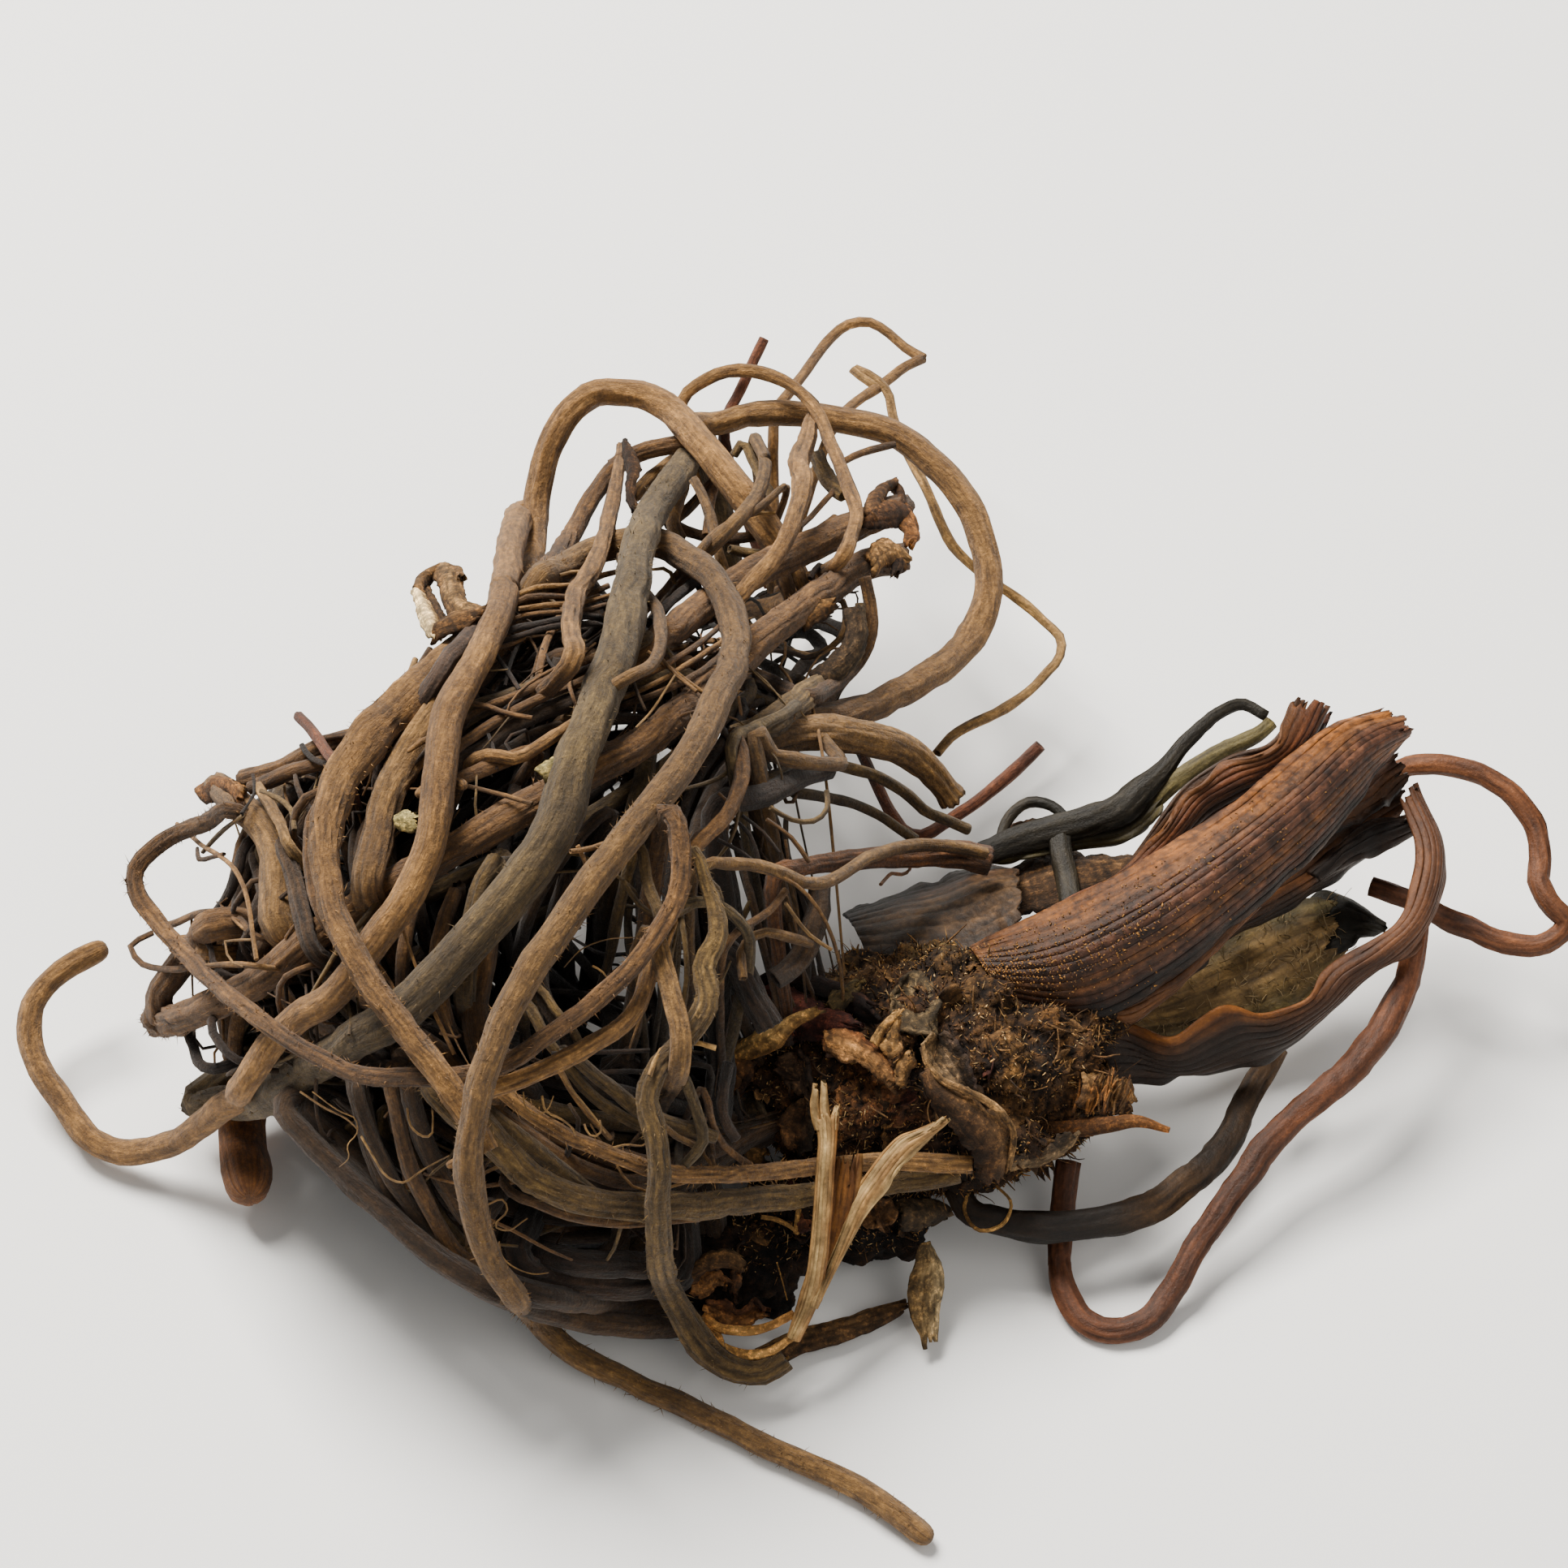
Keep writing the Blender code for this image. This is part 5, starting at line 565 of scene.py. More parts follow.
# Gaps through which the eye sees past the tangle: across, down, half width, half height
GAPS = ((250, 1072, 34, 36), (222, 1030, 14, 24), (258, 1272, 12, 20), (1066, 1030, 92, 90), (1070, 1120, 62, 55),
        (945, 1035, 12, 10), (645, 812, 12, 10), (689, 793, 10, 8), (698, 814, 8, 8), (724, 762, 9, 9),
        (740, 757, 7, 10), (727, 779, 9, 5),
        (614, 840, 9, 9), (630, 842, 5, 5), (626, 914, 6, 5), (652, 797, 8, 5), (793, 757, 10, 9), (842, 754, 17, 13),
        (862, 735, 11, 10), (840, 717, 8, 7), (826, 779, 8, 7), (878, 787, 9, 10), (878, 812, 9, 7),
        (924, 760, 9, 12),
        (994, 795, 16, 8), (1018, 784, 10, 9), (951, 742, 8, 10), (995, 712, 9, 18), (822, 659, 17, 10),
        (850, 640, 14, 14), (862, 575, 14, 12), (895, 612, 12, 14), (955, 618, 12, 14), (930, 655, 9, 9),
        (915, 690, 18, 14), (1010, 640, 16, 18), (1036, 634, 12, 12), (965, 545, 17, 20), (1045, 545, 10, 10),
        (800, 545, 25, 12), (275, 1030, 14, 14), (330, 1000, 6, 8), (792, 628, 8, 22), (948, 690, 10, 10))
GAP_MARGIN = 7.0
GAP_STEP = 0.8
# Hollows that hidden roots are sunk back in: middle, reach, depth
HOLLOWS = (((925, 1330), (110, 150), 9.0), ((700, 1235), (75, 70), 6.0), ((905, 1552), (115, 72), 9.0),
           ((640, 1545), (130, 45), 4.0), ((930, 1035), (60, 50), 5.0), ((640, 815), (60, 40), 3.5),
           ((860, 640), (110, 70), 4.0), ((600, 1250), (30, 80), 4.0))

# Torn scales of the rhizome: name, lift, crown, thickness, veins, colours from the far edge to the near one,
# and the two edges from the base to the tip
SHEETS = (
    ("orange_chunk", 1.6, 0.7, 0.8, 3, ((112, 62, 34), (146, 92, 46), (96, 58, 30)),
     ((872, 1246), (886, 1232), (905, 1226), (922, 1222), (923, 1232)),
     ((868, 1262), (886, 1266), (904, 1264), (918, 1262), (924, 1250))),
    ("purple_flake", 1.7, 0.8, 0.3, 8, ((70, 36, 30), (92, 50, 40), (56, 30, 26)),
     ((936, 1216), (960, 1216), (990, 1224), (1020, 1238), (1046, 1252), (1062, 1266)),
     ((944, 1226), (956, 1250), (974, 1276), (1000, 1280), (1032, 1274), (1060, 1272))),
    ("purple_rim", 2.2, 0.2, 0.25, 2, ((150, 92, 62), (120, 66, 44), (104, 56, 40)),
     ((944, 1222), (954, 1234), (964, 1250), (972, 1264)), ((948, 1230), (956, 1244), (964, 1258), (976, 1272))),
    ("dark_under", 0.9, 0.9, 0.3, 5, ((62, 38, 28), (40, 24, 18), (28, 18, 14)),
     ((925, 1205), (960, 1200), (1000, 1206), (1040, 1216), (1075, 1235)),
     ((925, 1222), (965, 1222), (1005, 1230), (1045, 1246), (1080, 1258))),
    ("pale_bract", 3.4, 0.7, 0.35, 3, ((214, 184, 130), (198, 162, 104), (150, 112, 64)),
     ((902, 1302), (915, 1284), (934, 1272), (956, 1262), (980, 1256), (1010, 1248)),
     ((898, 1322), (922, 1308), (946, 1298), (962, 1292), (976, 1272), (1012, 1251))),
    ("bract_base", 2.9, 0.6, 0.5, 4, ((140, 104, 62), (112, 78, 44), (80, 54, 32)),
     ((900, 1304), (894, 1320), (890, 1340), (888, 1366)), ((930, 1308), (926, 1322), (916, 1342), (904, 1366))),
    ("bract_fold", 2.3, 0.4, 0.4, 4, ((96, 66, 38), (70, 46, 28), (50, 34, 22)),
     ((924, 1310), (920, 1330), (914, 1346)), ((932, 1306), (930, 1322), (922, 1342))),
    ("gold_flap", 2.0, 0.8, 0.45, 5, ((112, 68, 36), (150, 110, 66), (120, 88, 56)),
     ((1018, 1270), (1044, 1272), (1070, 1284), (1092, 1304), (1104, 1334)),
     ((1022, 1296), (1034, 1306), (1056, 1314), (1078, 1322), (1098, 1340))),
    ("gold_flap_left", 1.6, 0.6, 0.4, 4, ((96, 60, 34), (118, 78, 42), (84, 54, 32)),
     ((1014, 1284), (1032, 1282), (1052, 1288), (1068, 1298)),
     ((1022, 1304), (1036, 1306), (1054, 1308), (1070, 1312))),
    ("gold_stalk", 3.0, 0.3, 0.3, 2, ((184, 148, 94), (170, 132, 78), (140, 104, 62)),
     ((1072, 1284), (1084, 1266), (1094, 1256), (1104, 1249)),
     ((1080, 1290), (1090, 1272), (1098, 1262), (1108, 1254))),
    ("gold_blade", 2.6, 0.4, 0.3, 3, ((170, 134, 84), (150, 114, 66), (120, 88, 52)),
     ((1078, 1284), (1092, 1278), (1100, 1262), (1102, 1256)),
     ((1092, 1302), (1106, 1304), (1110, 1282), (1106, 1258))),
    ("gold_ear", 2.2, 0.5, 0.4, 3, ((164, 126, 78), (138, 104, 62), (104, 76, 46)),
     ((1102, 1338), (1104, 1318), (1112, 1302), (1122, 1298)),
     ((1118, 1338), (1122, 1324), (1128, 1310), (1126, 1299))),
    ("grey_scale", 1.2, -0.9, 0.35, 5, ((70, 60, 44), (92, 80, 60), (108, 92, 68)),
     ((1106, 1212), (1130, 1196), (1148, 1212), (1156, 1240), (1150, 1264)),
     ((1098, 1226), (1100, 1250), (1114, 1266), (1130, 1272), (1146, 1270))),
    ("olive_flap", 1.4, 0.5, 0.35, 4, ((104, 90, 58), (84, 72, 46), (62, 52, 34)),
     ((1018, 1238), (1032, 1224), (1048, 1214), (1058, 1216)),
     ((1028, 1252), (1040, 1246), (1054, 1236), (1060, 1222))),
    ("cup_left", 1.6, -0.8, 0.4, 5, ((96, 74, 54), (66, 50, 38), (48, 36, 28)),
     ((966, 1296), (958, 1306), (962, 1326), (972, 1344)), ((984, 1292), (996, 1310), (1002, 1330), (1000, 1350))),
    ("cup_low", 1.2, -0.6, 0.4, 5, ((110, 80, 52), (84, 60, 40), (66, 56, 46)),
     ((986, 1358), (970, 1366), (960, 1384), (964, 1404), (976, 1420)),
     ((996, 1362), (1002, 1380), (1002, 1400), (996, 1418), (984, 1424))),
    ("lip_cup", 1.5, -1.1, 0.3, 7, ((58, 46, 40), (112, 94, 72), (148, 122, 88)),
     ((1164, 1272), (1180, 1284), (1194, 1304), (1200, 1324), (1206, 1346)),
     ((1150, 1273), (1136, 1290), (1143, 1312), (1164, 1334), (1196, 1346))),
    ("lip_rim", 2.3, 0.25, 0.3, 2, ((168, 136, 94), (150, 118, 78), (126, 96, 62)),
     ((1137, 1288), (1143, 1308), (1162, 1328), (1196, 1343), (1222, 1356), (1242, 1376), (1252, 1400), (1247, 1424),
      (1242, 1440)),
     ((1135, 1292), (1141, 1314), (1162, 1336), (1194, 1350), (1218, 1362), (1237, 1380), (1246, 1400), (1242, 1424),
      (1239, 1440))),
    ("lip_sheet", 1.9, 0.7, 0.35, 12, ((112, 86, 56), (88, 64, 42), (58, 42, 28)),
     ((1142, 1314), (1164, 1338), (1194, 1352), (1218, 1364), (1236, 1382), (1244, 1402), (1241, 1426), (1238, 1442)),
     ((1134, 1326), (1142, 1350), (1158, 1372), (1176, 1394), (1190, 1412), (1198, 1426), (1202, 1438),
      (1206, 1450))),
    ("brush_cuff", 0.8, 0.7, 0.4, 16, ((158, 124, 80), (124, 92, 58), (84, 60, 38)),
     ((1330, 1324), (1346, 1318), (1362, 1326), (1378, 1328), (1390, 1334), (1396, 1350)),
     ((1322, 1360), (1340, 1366), (1358, 1370), (1374, 1372), (1386, 1376), (1393, 1380))),
    ("dry_curl", 1.6, 0.4, 0.3, 4, ((74, 62, 50), (118, 100, 76), (150, 124, 86)),
     ((1240, 1420), (1268, 1418), (1290, 1412), (1305, 1402), (1312, 1394)),
     ((1240, 1440), (1266, 1436), (1292, 1428), (1316, 1414), (1326, 1400))),
    ("round_flake", 1.4, -0.7, 0.35, 4, ((104, 76, 48), (80, 56, 34), (118, 86, 54)),
     ((1082, 1474), (1096, 1480), (1102, 1494), (1096, 1510)),
     ((1068, 1486), (1064, 1502), (1074, 1516), (1090, 1515))),
    ("low_lump", 0.9, 0.9, 0.6, 4, ((92, 76, 54), (74, 60, 42), (50, 40, 28)),
     ((1102, 1482), (1120, 1478), (1140, 1478), (1156, 1486)),
     ((1104, 1512), (1122, 1516), (1140, 1510), (1154, 1500))),
    ("grey_left", 1.4, 0.5, 0.35, 6, ((88, 76, 58), (70, 58, 44), (52, 42, 32)),
     ((900, 1350), (916, 1346), (934, 1352), (942, 1372), (940, 1396)),
     ((900, 1392), (910, 1402), (922, 1406), (934, 1404), (940, 1400))),
    ("tan_left", 1.7, 0.5, 0.4, 5, ((142, 112, 72), (120, 92, 58), (88, 64, 40)),
     ((910, 1406), (924, 1400), (938, 1404), (942, 1420)), ((912, 1420), (922, 1432), (932, 1438), (940, 1430))),
    ("upright_left", 2.4, 0.4, 0.5, 4, ((98, 70, 42), (76, 52, 32), (54, 36, 24)),
     ((888, 1360), (884, 1380), (888, 1400), (898, 1420)), ((904, 1362), (902, 1382), (906, 1400), (914, 1416))),
)

# Torn sheets on the roots, with a lift over the tangle's skin
HUSK_SHEETS = (
    ("curl_body", 0.6, 0.5, 0.4, 9, ((118, 90, 56), (142, 112, 70), (96, 70, 42)),
     ((558, 700), (569, 710), (572, 730), (580, 746), (602, 752)),
     ((530, 708), (540, 722), (547, 742), (556, 760), (578, 776))),
    ("curl_cap", 0.9, 0.4, 0.5, 4, ((96, 72, 44), (122, 92, 56), (74, 52, 30)),
     ((513, 728), (522, 708), (543, 697), (562, 700), (573, 714)),
     ((521, 734), (530, 716), (546, 706), (558, 709), (568, 720))),
    ("curl_pale", 0.5, 0.4, 0.3, 3, ((206, 186, 142), (214, 192, 148), (166, 134, 88)),
     ((508, 732), (514, 755), (523, 778), (529, 790)), ((523, 732), (534, 750), (541, 768), (542, 786))),
    ("curl_inner", 0.1, 0.2, 0.3, 3, ((104, 78, 48), (80, 58, 34), (60, 42, 26)),
     ((524, 716), (536, 736), (548, 758), (552, 768)), ((516, 724), (526, 742), (538, 760), (546, 774))),
    ("curl_foot", 0.8, 0.4, 0.5, 5, ((128, 98, 60), (104, 76, 44), (76, 54, 32)),
     ((545, 768), (560, 756), (585, 752), (606, 750)), ((530, 792), (548, 786), (570, 778), (592, 766))),
    ("hood_left", 1.2, 0.5, 0.4, 6, ((104, 76, 48), (84, 60, 38), (104, 76, 46)),
     ((1062, 636), (1068, 616), (1080, 602), (1096, 592)), ((1078, 646), (1084, 628), (1090, 612), (1100, 600))),
    ("hood_right", 1.2, 0.4, 0.4, 5, ((84, 60, 40), (68, 48, 32), (96, 68, 42)),
     ((1096, 592), (1108, 602), (1113, 616), (1110, 632)), ((1098, 600), (1102, 610), (1102, 622), (1100, 636))),
    ("hood_face", 1.0, 0.6, 0.5, 5, ((128, 90, 52), (96, 66, 40), (60, 42, 30)),
     ((1066, 628), (1084, 620), (1102, 620), (1116, 628)), ((1062, 650), (1082, 652), (1102, 650), (1120, 648))),
    ("hood_tail", 1.6, 0.5, 0.4, 5, ((164, 112, 58), (150, 100, 52), (112, 76, 42)),
     ((1112, 622), (1124, 640), (1129, 662), (1122, 676)), ((1100, 626), (1108, 644), (1116, 660), (1112, 670))),
    ("husk_cap", 1.0, 0.4, 0.5, 5, ((132, 98, 60), (156, 120, 74), (110, 80, 48)),
     ((1066, 686), (1078, 668), (1092, 664), (1108, 676)), ((1076, 712), (1088, 700), (1100, 696), (1112, 700))),
    ("husk_end", 1.0, 0.2, 0.4, 3, ((84, 60, 38), (62, 44, 28), (44, 30, 20)),
     ((1092, 664), (1106, 674), (1113, 690), (1108, 706)), ((1086, 672), (1096, 684), (1100, 696), (1096, 708))),
    ("dark_curl", 4.6, 0.4, 0.3, 3, ((84, 60, 36), (50, 34, 22), (38, 26, 16)),
     ((772, 545), (784, 562), (789, 582), (782, 604), (786, 630)),
     ((767, 552), (770, 572), (774, 592), (772, 612), (780, 634))),
    ("diagonal_flap", 1.2, 0.3, 0.4, 4, ((132, 100, 60), (104, 76, 44), (76, 54, 33)),
     ((985, 762), (1004, 744), (1022, 738)), ((990, 776), (1012, 764), (1030, 752))),
    ("chip_left", 1.6, 0.3, 0.3, 3, ((206, 196, 138), (182, 170, 112), (140, 126, 80)),
     ((486, 1006), (498, 1000), (512, 1002)), ((490, 1020), (502, 1024), (515, 1024))),
    ("chip_middle", 1.2, 0.3, 0.3, 3, ((178, 166, 112), (152, 140, 90), (120, 106, 66)),
     ((660, 952), (678, 936), (702, 932)), ((672, 962), (688, 958), (704, 948))),
    ("stub_head", 0.6, 0.6, 0.5, 6, ((150, 108, 58), (120, 82, 44), (84, 56, 32)),
     ((246, 972), (262, 962), (286, 962), (306, 974)), ((256, 990), (272, 980), (290, 984), (304, 998))),
    ("ribbon_fold", 0.6, 0.5, 0.4, 7, ((92, 78, 58), (74, 60, 44), (56, 44, 32)),
     ((1062, 748), (1068, 790), (1052, 822), (1016, 850)), ((1040, 752), (1040, 786), (1026, 806), (996, 832))),
)

# Pieces that stand clear of the rhizome, with the heights of their marks
LOOSE_SHEETS = (
    ("hanging_chip", 0.3, 0.45, 5, ((196, 176, 136), (160, 136, 96), (122, 98, 64)),
     ((1142, 1530, 5.0), (1156, 1552, 4.2), (1162, 1580, 3.2), (1156, 1615, 2.2), (1153, 1650, 1.2)),
     ((1134, 1532, 5.4), (1128, 1556, 4.6), (1119, 1586, 3.6), (1122, 1618, 2.4), (1138, 1655, 1.2))),
    ("folded_roof", 0.6, 0.4, 4, ((92, 74, 52), (112, 84, 54), (84, 60, 38)),
     ((842, 1562, 6.0), (868, 1548, 6.6), (896, 1539, 7.0), (912, 1552, 6.6)),
     ((850, 1580, 5.6), (872, 1566, 6.2), (890, 1560, 6.5), (911, 1562, 6.2))),
    ("folded_face", 0.4, 0.4, 3, ((110, 76, 46), (140, 100, 60), (100, 68, 40)),
     ((852, 1574, 5.6), (868, 1566, 6.0), (884, 1562, 6.2), (892, 1572, 5.8)),
     ((850, 1592, 4.6), (862, 1602, 4.0), (876, 1594, 4.4), (888, 1582, 5.0))),
    ("folded_leg", 0.3, 0.35, 3, ((104, 72, 44), (84, 56, 34), (60, 40, 26)),
     ((906, 1560, 6.0), (912, 1576, 5.4), (910, 1592, 4.6)), ((900, 1564, 5.8), (902, 1580, 5.0), (906, 1600, 4.2))),
    ("cup_front", -0.5, 0.35, 5, ((96, 62, 40), (132, 90, 56), (150, 108, 66)),
     ((872, 1606, 4.2), (892, 1602, 4.4), (912, 1612, 4.0), (934, 1602, 4.4), (940, 1612, 4.0)),
     ((862, 1614, 3.8), (880, 1626, 3.4), (905, 1634, 3.0), (926, 1628, 3.2), (941, 1620, 3.6))),
    ("red_flake", 0.3, 0.3, 3, ((112, 66, 40), (92, 52, 34), (72, 40, 28)),
     ((984, 1494, 8.0), (990, 1500, 8.0), (1000, 1502, 8.0)),
     ((980, 1518, 7.2), (990, 1520, 7.2), (1000, 1512, 7.4))),
    ("floor_strip", 0.4, 0.5, 4, ((118, 92, 60), (98, 74, 48), (80, 60, 40)),
     ((930, 1664, 1.4), (980, 1640, 1.2), (1030, 1628, 1.0), (1080, 1612, 0.9), (1108, 1606, 0.8)),
     ((940, 1694, 1.0), (990, 1668, 0.8), (1040, 1654, 0.7), (1088, 1632, 0.6), (1112, 1618, 0.6))),
    ("dark_back", 0.5, 0.4, 5, ((60, 46, 30), (84, 62, 40), (60, 44, 30)),
     ((1240, 1074, 8.0), (1290, 1050, 8.6), (1350, 1052, 9.6), (1400, 1060, 10.6)),
     ((1250, 1130, 8.4), (1300, 1118, 9.4), (1360, 1100, 10.6), (1410, 1075, 11.6))),
    ("back_lobe", 0.6, 0.5, 5, ((72, 54, 42), (84, 60, 46), (52, 38, 28)),
     ((1236, 1026, 10.0), (1262, 1012, 10.6), (1296, 1016, 10.8), (1312, 1030, 10.6)),
     ((1232, 1046, 9.6), (1262, 1052, 9.8), (1296, 1052, 9.8), (1316, 1042, 10.2))),
)
FIBRES = (
    ((938, 1500, 8.0), (958, 1503, 8.2), (972, 1510, 8.0), (984, 1521, 7.4)),
    ((984, 1490, 8.4), (982, 1505, 8.0), (980, 1520, 7.4)),
    ((957, 1555, 5.6), (963, 1575, 5.2), (970, 1602, 4.6)),
    ((1195, 1465, 6.6), (1188, 1490, 6.2), (1206, 1516, 5.8), (1236, 1508, 6.2), (1246, 1482, 6.8),
     (1226, 1460, 7.0)),
    ((866, 1622, 4.6), (886, 1636, 4.4), (915, 1640, 4.4), (950, 1634, 5.2), (978, 1618, 6.4)),
    ((870, 1642, 4.2), (886, 1658, 3.8), (910, 1668, 3.6), (945, 1666, 4.2), (980, 1646, 5.6)),
    ((860, 1632, 4.4), (882, 1640, 4.2), (890, 1656, 3.8), (892, 1668, 3.4)),
    ((905, 1668, 3.4), (930, 1680, 3.0), (955, 1682, 3.0), (972, 1672, 4.0)),
)
FIBRE_WIDTHS = (0.35, 0.4, 0.12, 0.3, 0.8, 0.8, 0.5, 0.3)


def sight(across, down):
    """Unit direction from the eye through a mark."""
    ray = AHEAD * SIGHT_LENGTH + ACROSS * (across - FRAME_SIDE / 2) + DOWN * (down - FRAME_SIDE / 2)
    return ray / np.linalg.norm(ray)


def seen(across, down, height):
    """The point at a height above the surface that the eye sees at a mark."""
    ray = sight(across, down)
    return EYE + ray * (height - EYE[2]) / ray[2]


def skin_point(across, down, lift, domes=TANGLE_DOMES):
    """The point where a sight line meets the nearest dome, or passes closest to one, moved by lift."""
    ray = sight(across, down)
    meetings = []
    for centre, radii in domes:
        start = (EYE - np.array(centre)) / np.array(radii)
        way = ray / np.array(radii)
        a = way @ way
        b = start @ way
        c = start @ start - 1.0
        depth = b * b - a * c
        miss = max(0.0, -depth)
        meetings.append((miss, (-b - math.sqrt(max(depth, 0.0))) / a))
    return EYE + ray * (min(meetings)[1] - lift)


def smoothed(values, rounds=1):
    """Values along a line, each averaged with its neighbours."""
    for _ in range(rounds):
        inner = (values[:-2] + 2.0 * values[1:-1] + values[2:]) / 4.0
        values = np.concatenate((values[:1], inner, values[-1:]))
    return values


def placed(spec):
    """A root's marks as points, with the heights that come from the skin evened along the root."""
    heights = []
    for mark, lift in zip(spec["marks"], spread(spec["lifts"], len(spec["marks"]))):
        domes = spec.get("domes", TANGLE_DOMES)
        heights.append(mark[2] if len(mark) == 3 else skin_point(mark[0], mark[1], lift, domes)[2])
    even = smoothed(np.array(heights, dtype=float), 2)
    points = []
    for mark, height in zip(spec["marks"], even):
        level = mark[2] if len(mark) == 3 else height
        points.append(seen(mark[0], mark[1], level))
    return np.array(points)


def pictured(points):
    """The marks at which the eye sees points."""
    gaze = points - EYE
    depth = gaze @ AHEAD
    marks = np.column_stack((gaze @ ACROSS / depth, gaze @ DOWN / depth))
    return marks * SIGHT_LENGTH + FRAME_SIDE / 2


def within_outline(points):
    """Whether the eye sees each point inside the tangle's outline."""
    across, down = pictured(points).T
    inside = np.zeros(len(points), dtype=bool)
    corners = np.array(OUTLINE, dtype=float)
    for (x1, y1), (x2, y2) in zip(corners, np.roll(corners, -1, axis=0)):
        crossed = (y1 > down) != (y2 > down)
        inside ^= crossed & (across < x1 + (x2 - x1) * (down - y1) / (y2 - y1 + 1e-9))
    return inside


def drawn_in(points):
    """Points seen outside the tangle's outline, drawn towards its spine until they are inside."""
    spine = spine_frame()[0]
    home = spine[np.argmin(np.linalg.norm(points[:, None] - spine[None], axis=2), axis=1)]
    result = points.copy()
    out = ~within_outline(points)
    for share in np.linspace(0.08, 0.96, 12):
        trial = points + (home - points) * share
        fine = out & (within_outline(trial) | (share > 0.9))
        result[fine] = trial[fine]
        out &= ~fine
    return result


def sunk_back(points):
    """Points seen in a hollow, moved away from the eye."""
    marks = pictured(points)
    rays = points - EYE
    rays /= np.linalg.norm(rays, axis=1)[:, None]
    for middle, reach, depth in HOLLOWS:
        far = np.linalg.norm((marks - np.array(middle)) / np.array(reach), axis=1)
        points = points + rays * (depth * np.clip(1.6 - 1.2 * far, 0.0, 1.0))[:, None]
    points[:, 2] = np.maximum(points[:, 2], 0.8)
    return points


def cleared(points):
    """Points seen in a gap of the tangle, moved sideways until they are seen beside it."""
    marks = pictured(points)
    moved = marks.copy()
    for across, down, wide, high in GAPS:
        reach = np.array((wide, high), dtype=float) + GAP_MARGIN
        off = (moved - np.array((across, down))) / reach
        far = np.linalg.norm(off, axis=1)
        inside = far < 1.0
        moved[inside] = np.array((across, down)) + (off / (far[:, None] + 1e-6) * reach)[inside]
    shift = (moved - marks) * ((points - EYE) @ AHEAD / SIGHT_LENGTH)[:, None]
    return points + ACROSS * shift[:, :1] + DOWN * shift[:, 1:]


def settled(line):
    """A hidden root's line kept under the tangle's skin, inside its outline and out of its hollows."""
    moved = drawn_in(sunk_back(kept_inside(line, FREE_SHARE)))
    return smoothed(line + smoothed(moved - line, 3), 1)


def threaded(line):
    """A hidden root's settled line, led around the gaps that the eye sees through the tangle."""
    fine = curve_through(unrepeated(settled(line)), GAP_STEP)
    return unrepeated(smoothed(cleared(smoothed(cleared(fine), 2)), 1))


def unrepeated(line):
    """A line without the points that lie on the one before them."""
    return line[np.concatenate(((True,), np.linalg.norm(np.diff(line, axis=0), axis=1) > 0.05))]


def curve_through(points, step=STEP):
    """Evenly spaced points on the smooth curve through the given points."""
    chords = np.linalg.norm(np.diff(points, axis=0), axis=1)
    marks = np.concatenate(((0.0,), np.cumsum(chords)))
    slopes = np.gradient(points, marks, axis=0, edge_order=1)
    count = max(3, int(round(marks[-1] / step)) + 1)
    where = np.linspace(0.0, marks[-1], count)
    left = np.clip(np.searchsorted(marks, where, side="right") - 1, 0, len(points) - 2)
    span = chords[left][:, None]
    t = ((where - marks[left]) / chords[left])[:, None]
    a = (2 * t**3 - 3 * t**2 + 1) * points[left]
    b = (t**3 - 2 * t**2 + t) * span * slopes[left]
    c = (3 * t**2 - 2 * t**3) * points[left + 1]
    d = (t**3 - t**2) * span * slopes[left + 1]
    return a + b + c + d


def spread(values, count):
    """Values given at even shares of a length, read at count even places."""
    return np.interp(np.linspace(0.0, 1.0, count), np.linspace(0.0, 1.0, len(values)), values)


def spine_frame():
    """The spine's points, with its sideways direction, and the tangle's half width and height."""
    points = curve_through(np.array(SPINE, dtype=float), 1.0)
    points = points[np.linspace(0, len(points) - 1, SPINE_POINTS).round().astype(int)]
    along = np.gradient(points, axis=0)
    side = np.cross(along, (0.0, 0.0, 1.0))
    side /= np.linalg.norm(side, axis=1)[:, None]
    return points, side, spread(SPINE_WIDTHS, SPINE_POINTS), spread(SPINE_HEIGHTS, SPINE_POINTS)


def filler(number, draw, look=INNER, reach=(0.62, 0.92)):
    """An inner root that leaves the rhizome and winds along the spine, as strands do in a loose rope."""
    points, side, widths, heights = spine_frame()
    last = int(len(points) * draw.uniform(*FILLER_REACH))
    share = np.linspace(0.0, 1.0, len(points))[:last]
    out = draw.uniform(*reach) * np.clip(0.25 + share * 4.0, 0.0, 1.0)
    out *= 1.0 + 0.12 * np.sin(share * draw.uniform(9.0, 16.0) + draw.uniform(0.0, 6.3))
    outer = number % 2 == 0
    turn = draw.uniform(0.4, 1.6) * math.pi if outer else draw.uniform(0.0, 2.0) * math.pi
    turn = turn + draw.uniform(-1.6, 1.6) * share
    line = points[:last] + side[:last] * (out * widths[:last] * np.cos(turn))[:, None]
    line[:, 2] += out * heights[:last] * np.sin(turn)
    wide = draw.uniform(*FILLER_WIDTHS)
    widths = (wide * 1.1, wide, wide * 0.75)
    spec = root("filler_%02d" % number, (), widths, look, flat=0.85, start="rhizome", end="cut", ribs=6)
    return spec, curve_through(line[::4])


